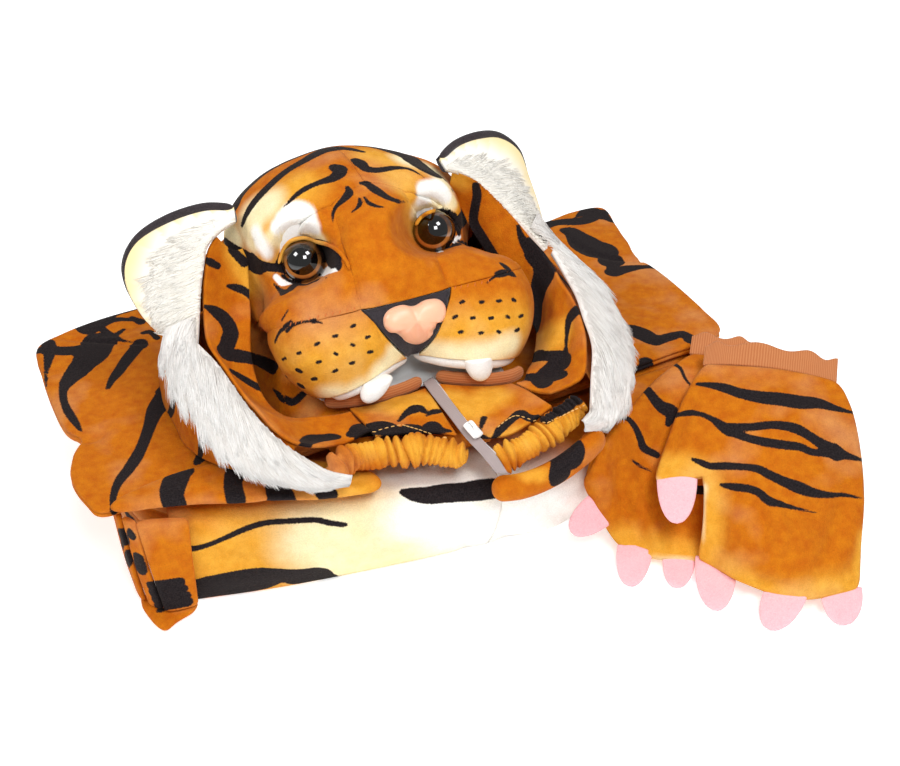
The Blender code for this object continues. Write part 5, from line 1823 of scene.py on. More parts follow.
# Rows past both ends of each trim, where the pile fans out and thins
FUR_ENDS = {
    "left": (((-124, -33, 127), (-141, -24, 116)), ((-76, -138, 82), (-78, -141, 80))),
    "right": (((66, -36, 144), (80, -16, 141)), ((48, -142, 86), (50, -144, 82))),
}
for side, sign in SIDES:
    rows = FURS[side]
    top, under = fur(rows, FUR_RISE), fur(rows, -FUR_UNDER, -1)
    base = closed_between("fur_backing_" + side, top, under, (20, 90), WHITE_FUR)
    dress(base, "fur_trim_" + side)
    # A run of 0.3 gives the backing most of the painted root shade of the strands.
    for name, value in (("run", 0.3), ("tone", 0.35), ("gold", 0.0)):
        store(base, name, [value] * len(base.data.vertices))
    rng = np.random.default_rng(31 + sign)
    roots = list(zip(rng.random(FUR_STRANDS) ** 0.8 * 0.92, rng.random(FUR_STRANDS) * 1.10 - 0.10))
    first, last = FUR_ENDS[side]
    combed = strands(
        "fur_" + side, fur((first, *rows, last), FUR_RISE), roots,
        lambda u, v: min(0.5, 1.12 - u) * (1 - 0.4 * smooth((v - 0.8) / 0.2)),
        FUR_HAIR, WHITE_FUR, 41 + sign, FUR_WISPS, pull=0.6, comb=0.13, lift=(0.1, 1.5), low=fur_floor,
    )
    fur_pieces.append(attach(combed))
print("fur triangles", faces_of(fur_pieces))

# %% [markdown]
# ## Neck of the hood
# Below the mouth the hood closes with two chin panels and a zip. Its neck edge is drawn up on elastic,
# which throws short upright puckers, and a ribbed binding runs round the face opening above.

# %% Lining, bindings, chin and gathers
LINING = (
    ((-74, -58, 94), (-50, -58, 97), (-20, -58, 98), (10, -58, 98), (32, -58, 96)),
    ((-74, -60, 89), (-50, -60, 89), (-20, -60, 90), (10, -60, 90), (32, -60, 90)),
    ((-72, -66, 86.5), (-50, -67, 86), (-20, -67, 86), (10, -69, 86.8), (32, -70, 87.5)),
    ((-68, -75.5, 86.5), (-48, -80.4, 86), (-20, -78.8, 86.5), (10, -84.8, 87.6), (30, -90, 87.4)),
)
LINING_FOLDS = seen(
    "photo",
    ([(402, 372, 3), (420, 366, 4), (438, 376, 3)], 3.5, 1.2),
    ([(412, 382, 2), (430, 372, 3), (452, 374, 2)], 3.0, -1.0),
    ([(390, 384, 3), (404, 372, 3)], 3.5, 0.9),
)
lining = cloth(
    "face_opening_lining", patch(LINING), (90, 40), LINING_CLOTH, wall=1.2,
    creases=LINING_FOLDS, weave=(106, 40),
)
dress(lining, "hood_face_lining")

BINDINGS = {
    "left": ((-70, -78, 90), (-60, -81, 89.5), (-44, -83, 89), (-28, -82, 89.5), (-15.6, -80, 91)),
    "right": ((-7.9, -80.6, 92.5), (3, -85.5, 91), (18, -91, 90), (30, -92.6, 90), (39, -91, 91)),
}
BINDING_FORM = (4.2, 2.0)
for side, sign in SIDES:
    ring = roll_ring(BINDINGS[side], *BINDING_FORM)
    made = body("face_binding_" + side, ring, (30, 80), RIB, weave=(20, 60))
    dress(made, "hood_face_binding_" + side)

LOOP_FORM = (3.0, 1.6)
LOOP_LIFT = 2.5
BINDING_LOOP = ((283, 299), (272, 300), (263, 306), (258, 318), (259, 330), (265, 339), (272, 343))
bowl_tree = skin([*curtains.values()])
loop_line = [on_skin(bowl_tree, x, y, lift=LOOP_LIFT) for x, y in BINDING_LOOP]
loop_line = [spot for spot in loop_line if spot]
print("binding loop points", len(loop_line))
if len(loop_line) > 3:
    loop_form = roll_ring(loop_line, *LOOP_FORM, upward=-BACK)
    attach(body("face_binding_loop", loop_form, (20, 60), RIB, weave=(20, 50)))

CHINS = {
    "left": (
        ((-58, -84.4, 86.5), (-44, -85.8, 86.5), (-30, -85.2, 87), (-15, -83.2, 88)),
        ((-56, -98, 87), (-43, -99, 87.5), (-30, -101, 88), (-15, -104, 88)),
        ((-54, -113, 86.5), (-42, -115.6, 87), (-28, -119.3, 86.8), (-14, -125.5, 85)),
    ),
    "right": (
        ((-9, -84, 90), (4, -89, 88.6), (18, -93.8, 87.6), (30, -95.6, 87.6)),
        ((-8, -104, 90), (6, -110, 88.6), (20, -113, 89), (33, -110, 91)),
        ((-6, -131, 86), (8, -137, 86.4), (22, -135.5, 89.4), (37, -131, 93.5)),
    ),
}
CHIN_FOLDS = {
    "left": seen(
        "photo",
        ([(384, 402, 4), (404, 404, 5), (420, 412, 3)], 5.0, 1.4),
        ([(390, 416, 2), (408, 418, 3), (424, 424, 2)], 3.5, -1.2),
        ([(420, 396, 3), (432, 412, 3)], 4.0, 0.9),
    ),
    "right": seen(
        "photo",
        ([(458, 400, 3), (472, 418, 4), (484, 434, 3)], 6.0, 1.3),
        ([(480, 404, 2), (478, 424, 3), (488, 440, 2)], 4.0, -1.6),
        ([(505, 392, 4), (500, 412, 4)], 6.0, 1.0),
    ),
}
chins = {}
for side, sign in SIDES:
    made = cloth(
        "chin_panel_" + side, patch(CHINS[side]), (44, 48), TIGER, behind=1, wall=2.0,
        creases=CHIN_FOLDS[side],
    )
    chins[side] = dress(made, "hood_chin_" + side)

BANDS = {
    "left": ((-83, -125, 81), (-66, -119, 80), (-45, -120.8, 79), (-26, -125.8, 78), (-11, -134, 75)),
    "right": ((0, -143, 76), (14, -144, 79), (30, -140, 83), (44, -135, 87), (55, -131, 90)),
}
BAND_FORM = (9.0, 6.9)
PLEATS = {"left": 13.0, "right": 12.0}


def pucker(pleats):
    """Elastic puckers: sharp troughs between round crests, uneven, that lean and fade at the edges."""

    def swell(v):
        return rounded_ends(v, 0.08)

    def depth(turn, v):
        height = cos(tau * turn)
        wander = 0.55 * sin(tau * 1.3 * v + 0.6) + 0.36 * sin(tau * 3.7 * v + 2.0)
        wander += 0.16 * sin(tau * turn + 9 * v)
        lean = 0.55 * sin(tau * 2.1 * v + 1.1) * height
        crest = abs(sin(pi * (pleats * v + wander + lean)))
        second = abs(sin(pi * (pleats * 1.6 * v - 0.9 * wander + 0.6 * height + 0.3)))
        deep = 0.34 + 0.13 * sin(tau * 2.3 * v + 0.4) + 0.06 * sin(tau * 5.1 * v)
        puff = 1.0 + 0.10 * sin(tau * 1.9 * v + 1.0) + 0.06 * sin(tau * 4.6 * v + 3 * height)
        return (1.02 - deep * (1 - crest) ** 1.3 - 0.09 * (1 - second) ** 1.5) * puff

    return swell, depth


gathers = {}
for side, sign in SIDES:
    swell, depth = pucker(PLEATS[side])
    plain = roll_ring(BANDS[side], *BAND_FORM, swell=swell)
    path = vectors(BANDS[side])

    def gather_ring(turn, v):
        centre = along(path, min(max((v - 0.03) / 0.94, 0), 1))
        return centre + (plain(turn, v) - centre) * depth(turn, v)

    gathers[side] = dress(body("neck_gather_" + side, gather_ring, (60, 260), TIGER), "hood_gather_" + side)

COLLAR_ROLL = ((-4, -149, 63), (12, -152, 62.8), (30, -150.6, 64.8), (48, -145.6, 68.8), (64, -138, 73))
COLLAR_FOLDS = seen(
    "photo",
    ([(478, 452, 2), (500, 462, 3), (530, 468, 2)], 3.0, -1.0),
    ([(516, 452, 3), (536, 450, 3), (556, 444, 2)], 4.0, 0.8),
)
COLLAR_FORM = (7.4, 5.8)
collar = body("collar_edge", roll_ring(COLLAR_ROLL, *COLLAR_FORM), (48, 110), TIGER, creases=COLLAR_FOLDS)
dress(collar, "hood_collar_roll")

NECK_STRIPES = seen(
    "photo",
    [(399, 421, 3), (408, 412, 7), (418, 408, 8), (426, 412, 4)],
    [(426, 416, 2), (433, 412, 5), (440, 411, 4)],
    [(402, 432, 8), (412, 429, 12), (424, 432, 7), (432, 427, 11), (441, 430, 6), (450, 431, 3)],
    [(366, 430, 12), (384, 428, 14), (402, 434, 8)],
    [(470, 432, 3), (480, 436, 5), (492, 439, 4), (500, 430, 8), (510, 421, 7), (520, 414, 8),
     (530, 418, 7), (543, 418, 7), (552, 416, 6)],
    [(552, 415, 8), (562, 406, 12), (576, 398, 14), (590, 390, 14)],
    [(484, 418, 6), (480, 430, 4)],
    [(486, 454, 4), (492, 455, 5)],
)
NECK_GOLD = seen(
    "photo",
    ([(366, 442, 3), (400, 448, 5), (440, 454, 5), (460, 458, 3)], 12.0),
    ([(494, 446, 3), (520, 438, 5), (556, 430, 5), (596, 416, 3)], 12.0),
    ([(366, 404, 6), (392, 402, 8), (416, 400, 8), (440, 402, 8)], 10.0),
    ([(452, 398, 8), (470, 408, 8), (492, 396, 8)], 12.0),
)
paint([*chins.values(), *gathers.values()], stripe=NECK_STRIPES, gold=NECK_GOLD)
COLLAR_STRIPES = seen(
    "photo",
    [(566, 440, 22), (564, 456, 24), (560, 476, 20)],
    [(488, 452, 3), (495, 456, 6)],
)
paint([collar], stripe=COLLAR_STRIPES, gold=seen("photo", ([(500, 468, 5), (540, 474, 5)], 6.0)))
print("neck triangles", faces_of([*chins.values(), *gathers.values(), collar, lining]))

# %% [markdown]
# ## Zip and stitches
# A coil zip is one plastic thread wound along the edge of its tape, so a flattened helix gives its teeth.
# The stitches are short capsules: one seed with few faces is copied along each seam.

# %% Zip
ZIP_TAPE = (
    ((-14.6, -80, 88.6), (-9, -80, 91)),
    ((-14.4, -96, 88.6), (-8.6, -98, 91)),
    ((-13.6, -114, 88.4), (-7.6, -117, 89.8)),
    ((-11.5, -131, 85.6), (-5.4, -134, 86.6)),
    ((-7.5, -143, 81.6), (-1, -147, 82.4)),
    ((-3, -152, 75), (2.5, -154, 75)),
)
tape_form = patch(ZIP_TAPE)
dress(cloth("zip_tape_cloth", tape_form, (14, 110), TAPE_CLOTH, wall=1.0, weave=(6.2, 80)), "zip_tape")
COIL_TURNS = 64
COIL_PLACE = 0.86
COIL_END = 0.80
COIL_RISE = 1.0
COIL_HALF_HEIGHT = 0.55
COIL_HALF_WIDTH = 1.35
COIL_WIRE = 0.26


def coil_ring(turn, v):
    """The coil's thread: a thin round wire on a flattened helix along the tape's edge."""
    place = v * COIL_END

    def wire(t):
        t = min(max(t, 0.0), 1.0)
        spot = tape_form(COIL_PLACE, t * COIL_END)
        ahead, behind = min(t * COIL_END + 0.02, 1), max(t * COIL_END - 0.02, 0)
        run = (tape_form(COIL_PLACE, ahead) - tape_form(COIL_PLACE, behind)).normalized()
        out = normal_at(tape_form, COIL_PLACE, inside(place))
        across = run.cross(out)
        angle = tau * COIL_TURNS * t
        height = COIL_RISE + COIL_HALF_HEIGHT * sin(angle)
        return spot + out * height + across * (COIL_HALF_WIDTH * cos(angle))

    centre = wire(v)
    ahead = (wire(v + 0.001) - wire(v - 0.001)).normalized()
    side = ahead.cross(Vector((0.2, 0.3, 0.93))).normalized()
    top = side.cross(ahead)
    size = COIL_WIRE * min(v / 0.002, (1 - v) / 0.002, 1.0)
    return centre + (side * cos(tau * turn) + top * sin(tau * turn)) * size


coil = attach(body("zip_coil", coil_ring, (5, COIL_TURNS * 10), COIL_PLASTIC))
SLIDER = ((-8.8, -127, 91.6), (-7.6, -132, 90.3), (-6.2, -137, 88.8))
SLIDER_BRIDGE = ((-8.4, -128.6, 92.6), (-8.0, -130.0, 94.0), (-7.2, -133.2, 93.2), (-6.8, -135.4, 90.8))
SLIDER_FORM = roll_ring(SLIDER, 1.8, 3.2, close=0.1)
BRIDGE_FORM = roll_ring(SLIDER_BRIDGE, 0.7, 1.1, close=0.06)
dress(body("zip_slider_body", SLIDER_FORM, (28, 26), COIL_PLASTIC), "zip_slider")
attach(body("zip_slider_bridge", BRIDGE_FORM, (14, 24), COIL_PLASTIC))
print("coil triangles", faces_of([coil]))

# %% Stitches
STITCH_SIDES = 6


def stitches(name, tree, lines, look, pitch=3.4, length=2.3, radius=0.34, slant=0.0):
    """Separate stitches along lines seen in the picture, each lying on the cloth."""
    seed = bmesh.new()
    bmesh.ops.create_uvsphere(seed, u_segments=STITCH_SIDES, v_segments=4, radius=1)
    seed_mesh = bpy.data.meshes.new("stitch")
    seed.to_mesh(seed_mesh)
    seed.free()
    work = bmesh.new()
    for line in lines:
        spots = [on_skin(tree, x, y, lift=0.15) for x, y in resampled(line, 60)]
        spots = [spot for spot in spots if spot]
        if len(spots) < 4:
            continue
        length_all = sum((b - a).length for a, b in zip(spots, spots[1:]))
        count = max(int(length_all / pitch), 1)
        for k in range(count):
            middle = along(spots, (k + 0.5) / count)
            ahead = along(spots, min((k + 0.9) / count, 1)) - along(spots, max((k + 0.1) / count, 0))
            if ahead.length < 1e-6:
                continue
            normal = tree.find_nearest(middle)[1]
            ahead = (ahead - normal * ahead.dot(normal)).normalized()
            side = normal.cross(ahead)
            ahead, side = ahead * cos(slant) + side * sin(slant), side * cos(slant) - ahead * sin(slant)
            turn = Matrix((side * radius, normal * radius, ahead * (length / 2))).transposed()
            first = len(work.verts)
            work.from_mesh(seed_mesh)
            work.verts.ensure_lookup_table()
            for v in work.verts[first:]:
                v.co = middle + turn @ v.co
    return attach(finish_mesh(name, work, look))


def resampled(line, count):
    line = vectors([(x, y, 0) for x, y in line])
    return [along(line, k / count)[:2] for k in range(count + 1)]


neck_tree = skin([*chins.values(), *gathers.values(), *curtains.values(), collar])
NECK_STITCHES = {
    "left": (
        ((369, 434), (380, 430), (391, 427), (402, 425)),
        ((402, 425), (416, 429), (432, 434), (449, 439)),
    ),
    "right": (
        ((497, 428), (507, 420), (517, 416), (532, 420), (547, 423)),
        ((547, 423), (560, 417), (574, 410), (587, 404)),
    ),
}
seams = [
    stitches("neck_stitches_" + side, neck_tree, NECK_STITCHES[side], GOLD_THREAD)
    for side, sign in SIDES
]
MUZZLE_STITCHES = {
    "left": (((288, 325), (302, 321), (322, 316), (340, 312), (358, 308)),),
    "right": (((447, 289), (460, 287), (476, 284), (492, 280)),),
}
face_tree = skin(face)
seams += [
    stitches(
        "muzzle_stitches_" + side, face_tree, MUZZLE_STITCHES[side],
        ORANGE_THREAD, pitch=3.6, length=2.4, radius=0.28, slant=1.0,
    )
    for side, sign in SIDES
]
print("stitches", faces_of(seams))

# %% [markdown]
# ## Jumpsuit
# The jumpsuit lies folded under the hood. Its hidden layers share one rounded core whose sides show the
# edges of the folds; the sleeves lie on top with round double edges, and the two body pieces come up over
# the front.

# %% Folded core, body pieces and leg
CORE_TOP = 55.0
CORE_LAYERS = 4
LAYER_SWELL = 2.6
CORE_MIDDLE = (2.0, 3.0)
CORE_HALF = (178.0, 103.0)
CORE_CORNER = 5.0
CORE_FACE_SHARE = 0.08
CORE_INSET = 2.2
CORE_TUCK = -6.0
SEAM_X = 8.0
SUIT_GAP = 0.15


def core_ring(turn, v):
    """Up the sides the layers bulge; the ends of v run in over the under side and the top."""
    angle = tau * turn
    c, s = cos(angle), sin(angle)
    reach = (abs(c) ** CORE_CORNER + abs(s) ** CORE_CORNER) ** (-1 / CORE_CORNER)
    inward = min(v / CORE_FACE_SHARE, (1 - v) / CORE_FACE_SHARE, 1.0)
    height = min(max((v - CORE_FACE_SHARE) / 0.84, 0.0), 1.0)
    lean = height + 0.010 * sin(3 * angle + 1.0) * sin(pi * height)
    lean += 0.008 * sin(7 * angle) * sin(pi * height)
    edge = abs(sin(lean * CORE_LAYERS * pi)) ** 0.55
    swell = LAYER_SWELL * edge - CORE_INSET + 0.5 * sin(5 * angle + 4 * height) * edge
    tuck = CORE_TUCK * height * height
    return Vector(
        (
            CORE_MIDDLE[0] + (CORE_HALF[0] + swell) * reach * c * inward,
            CORE_MIDDLE[1] + (CORE_HALF[1] + swell + tuck * max(-s, 0)) * reach * s * inward,
            CORE_TOP * height,
        )
    )


core = dress(body("suit_hidden_layers", core_ring, (300, 96), TIGER), "suit_folded_layers")

SEAM_LEFT, SEAM_RIGHT = SEAM_X - SUIT_GAP, SEAM_X + SUIT_GAP
BELLIES = {
    "left": (
        ((-163, -101, 0), (-146, -105, 0), (-100, -112, 0), (-34, -117, 0), (SEAM_LEFT, -118, 0)),
        ((-163, -103, 18), (-146, -110, 18), (-100, -119, 18), (-34, -127, 18), (SEAM_LEFT, -129, 18)),
        ((-163, -102, 40), (-145, -110, 40), (-100, -122, 40), (-34, -134, 40), (SEAM_LEFT, -136, 40)),
        ((-162, -97, 54), (-144, -104, 54), (-99, -116, 54), (-38, -128, 55), (SEAM_LEFT, -130, 55)),
        ((-161, -87, 57.8), (-143, -89, 57.8), (-97, -96, 57.8), (-40, -106, 57.8), (SEAM_LEFT, -108, 57.8)),
        ((-158, -80, 57.8), (-141, -82, 57.8), (-97, -86, 57.8), (-40, -88, 57.8), (SEAM_LEFT, -88, 57.8)),
    ),
    "right": (
        ((SEAM_RIGHT, -118, 0), (53, -117, 0), (108, -110, 0), (156, -104, 0), (184, -88, 0)),
        ((SEAM_RIGHT, -129, 18), (53, -125, 18), (108, -113, 18), (157, -105, 18), (185, -89, 18)),
        ((SEAM_RIGHT, -136, 40), (53, -130, 40), (107, -113, 40), (156, -103, 40), (185, -87, 40)),
        ((SEAM_RIGHT, -130, 55), (50, -122, 55), (104, -106, 54), (153, -97, 54), (182, -82, 54)),
        ((SEAM_RIGHT, -108, 57.8), (46, -102, 57.8), (100, -92, 57.8), (148, -82, 57.8), (174, -70, 57.8)),
        ((SEAM_RIGHT, -88, 57.8), (44, -84, 57.8), (98, -76, 57.8), (146, -70, 57.8), (168, -62, 57.8)),
    ),
}
BELLY_FOLDS = {
    "left": seen(
        "photo",
        ([(200, 548, 2), (225, 560, 3), (262, 562, 2)], 4.0, -1.3),
        ([(300, 540, 2), (330, 552, 3), (352, 556, 2)], 4.0, -1.0),
        ([(352, 530, 2), (380, 545, 3), (420, 548, 3), (455, 540, 2)], 4.5, -1.6),
        ([(420, 566, 3), (445, 572, 3), (470, 570, 2)], 4.0, -1.2),
        ([(470, 500, 1), (462, 530, 3), (470, 556, 2)], 4.0, -1.4),
        ([(250, 545, 3), (280, 538, 4), (315, 536, 3)], 6.0, 1.3),
        ([(380, 520, 3), (420, 526, 4), (450, 520, 3)], 6.0, 1.4),
    ),
    "right": seen(
        "photo",
        ([(500, 505, 2), (508, 525, 3), (504, 550, 2)], 4.0, -1.5),
        ([(520, 545, 2), (545, 552, 3), (575, 556, 2)], 4.5, -1.4),
        ([(545, 500, 2), (560, 515, 3), (580, 520, 2)], 4.0, -1.1),
        ([(600, 520, 2), (622, 540, 3), (640, 566, 2)], 5.0, -1.4),
        ([(520, 520, 3), (548, 528, 4), (575, 532, 3)], 6.0, 1.3),
    ),
}
bellies = {}
for side, sign in SIDES:
    bellies[side] = dress(
        cloth(
            "body_piece_" + side, patch(BELLIES[side]), (116, 70), TIGER, behind=-1, wall=2.0,
            creases=BELLY_FOLDS[side], rolled=0.7,
        ),
        "suit_belly_" + side,
    )

# Rows: name, left edge and right edge from the head of the fold to its foot, and thickness.
LEG_FOLDS = (
    (
        "leg_flap", "suit_leg_flap",
        ((-179.0, -99.5, 57), (-175.5, -105.5, 30), (-171.8, -111.5, 5)),
        ((-153.5, -107.0, 57), (-154.0, -110.5, 30), (-154.0, -111.5, 5)),
        5.0,
    ),
    (
        "leg_fold_near", "suit_leg_fold_front",
        ((-184.0, -93.0, 57.2), (-181.2, -97.8, 28), (-177.6, -101.6, 5)),
        ((-179.4, -100.2, 57.2), (-176.0, -105.2, 28), (-172.2, -109.4, 5)),
        3.6,
    ),
    (
        "leg_fold_far", "suit_leg_fold_middle",
        ((-186.6, -82.0, 57.2), (-184.2, -84.0, 28), (-180.8, -86.0, 5)),
        ((-185.4, -91.6, 57.2), (-183.0, -96.0, 28), (-179.8, -99.4, 5)),
        3.4,
    ),
)
FOLD_ROUNDING = 3.0
LEG_CREASES = seen(
    "photo",
    ([(160, 540, 2), (166, 560, 2), (172, 575, 2)], 2.5, -0.7),
    ([(176, 530, 2), (184, 555, 3), (186, 575, 2)], 3.0, -0.9),
)
legs = []
for name, node, left_edge, right_edge, thick in LEG_FOLDS:
    left_edge, right_edge = vectors(left_edge), vectors(right_edge)

    def fold_ring(turn, v):
        inward = sqrt(1 - (1 - min(v / 0.06, (1 - v) / 0.06, 1.0)) ** 2)
        v = min(max((v - 0.03) / 0.94, 0), 1)
        left, right = along(left_edge, v), along(right_edge, v)
        run = (right - left) / 2
        outward = run.cross(Vector((0, 0, 1))).normalized() * (thick / 2)
        c, s = cos(tau * turn), sin(tau * turn)
        reach = (abs(c) ** FOLD_ROUNDING + abs(s) ** FOLD_ROUNDING) ** (-1 / FOLD_ROUNDING)
        return (left + right) / 2 + (run * c + outward * s) * reach * inward

    legs.append(dress(body(name, fold_ring, (56, 60), TIGER, creases=LEG_CREASES), node))
print("suit body triangles", faces_of([core, *bellies.values(), *legs]))

# %% Sleeves, front roll and hem tab
TOP_UNDER = 58.2
SLEEVE_TOP = 63.8
HEM_TAB = (
    (-179, -92), (-181.5, -99), (-180.6, -108), (-177.7, -118.5), (-173.8, -122.5), (-167, -118.5),
    (-157.5, -114), (-154, -108), (-160, -103), (-170, -99),
)
LEFT_LAYER = (
    (-24, 40), (-24, 96), (-60, 108), (-100, 106), (-128, 103), (-157, 98), (-183, 89), (-198, 78),
    (-200, 52), (-200, 20), (-198, -8), (-192, -24), (-199, -40), (-203, -58), (-200, -80), (-192, -93),
    (-160, -86), (-120, -84), (-80, -80), (-50, -70), (-24, -30),
)
RIGHT_LAYER = (
    (-18, 96), (-18, 40), (-18, -30), (0, -70), (40, -82), (80, -78), (116, -72), (146, -66), (168, -62),
    (187, -53), (189, -30), (189, -8), (188, 14), (186, 32), (183, 46), (187, 70), (191, 92), (194, 118),
    (172, 120), (146, 113), (100, 108), (50, 110), (14, 106),
)
FRONT_ROLL = (
    (-186, -92), (-188, -98), (-170, -102), (-150, -107), (-128, -115), (-108, -121), (-90, -127),
    (-74, -130), (-60, -131), (-56, -124), (-62, -112), (-78, -100), (-98, -87), (-120, -81), (-142, -80),
    (-162, -83),
)
# Columns: how far in from the outline, in mm, and height as a share of the thickness.
DOUBLE_EDGE = (
    (12, 0.0), (4, 0.0), (1.6, 0.02), (0.5, 0.12), (0.1, 0.25), (0.5, 0.40), (1.7, 0.49), (0.5, 0.58),
    (0.0, 0.74), (0.5, 0.88), (1.6, 0.97), (3.4, 1.0),
)
ROLLED_EDGE = (
    (6, 0.0), (2.5, 0.02), (1.2, 0.10), (0.3, 0.28), (0.0, 0.48), (0.3, 0.66), (1.2, 0.84), (2.5, 0.94),
    (4.2, 0.99), (6, 1.0),
)


def pile_top(y):
    """Height that a sleeve lies on: the body piece's edge in front, and the pile behind it."""
    front = min(max((-y - 52) / 24, 0), 1)
    return share(CORE_TOP + 0.65, TOP_UNDER, front)


def layer_ring(outline, middle, under, top, crown, edge_form, inner=44):
    """Rings of a laid layer, from the middle of its under side round its edge to the middle of its top."""
    outline = vectors([(x, y, 0) for x, y in outline])
    closed = [outline[-1]] + outline + outline[:2]
    centre = Vector((*middle, 0))
    rings = [(None, 1.0, 0.0), (None, 0.5, 0.0)] + [(inset, None, height) for inset, height in edge_form]
    rings += [(edge_form[-1][0], k / inner, 1.0) for k in range(1, inner + 1)]

    def ring(turn, v):
        place = (turn % 1.0) * len(outline)
        i = min(int(place), len(outline) - 1)
        edge = blend(*closed[i : i + 4], place - i)
        reach = (centre - edge).length
        inset, part, height = rings[round(v * (len(rings) - 1))]
        if inset is not None:
            part = share(inset / reach, 1.0, part or 0.0)
        spot = edge + (centre - edge) * part
        base = under(spot.y) if callable(under) else under
        rise = crown * (1 - (1 - part) ** 2) if height == 1.0 else 0.0
        return Vector((spot.x, spot.y, base + (top - base) * height + rise))

    return ring, len(rings) - 1


LEFT_FOLDS = seen(
    "photo",
    ([(60, 338, 1), (90, 340, 1), (120, 342, 1), (145, 343, 1)], 1.6, -1.6),
    ([(44, 366, 2), (62, 372, 3), (84, 396, 2)], 4.0, -0.8),
    ([(96, 430, 2), (112, 446, 3), (128, 456, 2)], 4.5, -0.9),
    ([(78, 440, 2), (92, 438, 3), (104, 430, 1)], 2.6, -1.4),
    ([(150, 380, 2), (176, 402, 3), (184, 424, 2)], 4.0, 0.7),
    ([(186, 430, 2), (176, 452, 3), (160, 472, 2)], 3.5, -0.9),
) + seen(
    "top",
    ([(-190, 60, 2), (-176, 40, 3), (-170, 10, 2)], 5.0, -0.8),
    ([(-180, 84, 2), (-150, 78, 3), (-128, 88, 2)], 4.0, -0.9),
    ([(-120, 84, 2), (-92, 96, 3), (-66, 94, 2)], 4.5, -0.8),
)
RIGHT_FOLDS = seen(
    "photo",
    ([(563, 233, 1), (586, 250, 1), (612, 258, 1), (650, 262, 1), (684, 278, 1)], 1.6, -1.6),
    ([(612, 290, 3), (640, 300, 4), (668, 296, 2)], 6.0, -0.9),
    ([(650, 346, 2), (670, 342, 3), (692, 334, 1)], 3.0, -1.2),
    ([(618, 316, 2), (636, 322, 3), (664, 318, 2)], 4.0, 0.7),
    ([(590, 232, 2), (616, 238, 3), (636, 250, 2)], 4.0, 0.6),
) + seen(
    "top",
    ([(120, 96, 2), (140, 84, 3), (152, 60, 2)], 5.0, -0.9),
    ([(60, 98, 2), (88, 92, 3), (112, 98, 2)], 4.0, -0.8),
)
layers = {}
for side, outline, middle, creases in (
    ("left", LEFT_LAYER, (-110, 10), LEFT_FOLDS),
    ("right", RIGHT_LAYER, (90, 20), RIGHT_FOLDS),
):
    ring, rings = layer_ring(outline, middle, pile_top, SLEEVE_TOP, 0.3, DOUBLE_EDGE)
    layers[side] = dress(
        body("sleeve_" + side, ring, (430, rings), TIGER, creases=creases), "suit_sleeve_" + side
    )
ROLL_FOLDS = seen(
    "photo",
    ([(150, 504, 2), (200, 494, 2), (250, 478, 2), (300, 472, 2)], 3.0, -0.8),
    ([(200, 516, 1), (230, 506, 2), (262, 502, 1)], 2.6, -0.9),
    ([(262, 466, 2), (272, 486, 2), (262, 508, 1)], 2.6, -0.8),
)
ring, rings = layer_ring(FRONT_ROLL, (-105, -103), SLEEVE_TOP + 0.35, SLEEVE_TOP + 5.35, 0.9, ROLLED_EDGE, 12)
roll = dress(body("front_roll", ring, (300, rings), TIGER, creases=ROLL_FOLDS), "suit_front_roll")
ring, rings = layer_ring(HEM_TAB, (-168, -108), 0.3, 4.2, 0.2, ROLLED_EDGE, 6)
tab = dress(body("leg_hem", ring, (130, rings), TIGER), "suit_leg_hem_tab")
print("sleeve triangles", faces_of([*layers.values(), roll, tab]))

# %% [markdown]
# ## Paw mitts
# Each mitt is a plush back over a palm, with a thumb, a rib cuff and felt claws. The back is one sheet
# that is cut at the thumb, and its corners are rounded before it gets its thickness. The cuff's ribs run
# to the wrist, so the knit is laid out with its length along the seam.

# %% Mitts
MITTS = {
    "front": (
        ((140, -111, 84), (150, -120, 86), (170, -133, 87), (188, -144, 85), (203, -152, 81)),
        ((123, -122, 75), (133, -135, 78), (154, -153, 80), (176, -165, 78), (201, -170, 72)),
        ((108, -133, 59), (117, -150, 64), (138, -172, 68), (164, -186, 66), (195, -190, 58)),
        ((90, -151, 43), (112, -166, 49), (127, -190, 53), (153, -205, 51), (186, -209, 44)),
        ((81, -164, 29), (107, -178, 30), (117, -207, 35), (143, -222, 33), (177, -224, 26)),
        ((76, -173, 10), (101.5, -183.7, 9.1), (112, -211, 12), (134, -233, 11), (169, -238, 9)),
    ),
    "rear": (
        ((149, -82, 72), (159, -90, 73), (168, -96, 73), (179, -101, 72)),
        ((118, -98, 71), (130, -108, 70), (145, -115, 67), (162, -121, 62)),
        ((89, -117, 65), (108, -122, 56), (126, -132, 50), (145, -142, 43)),
        ((64, -135, 57), (90, -134, 38), (111, -147, 30), (133, -162, 23)),
        ((57.0, -129.8, 36.4), (70, -156, 9), (86, -173, 8), (116, -186, 6)),
    ),
}
MITT_CELLS = {"front": (88, 100), "rear": (76, 92)}
MITT_BACK = 1.8
MITT_THICK = 8.0
MITT_EDGE = 3.4
THUMB_SHARE = 0.25
THUMB_END = 0.6
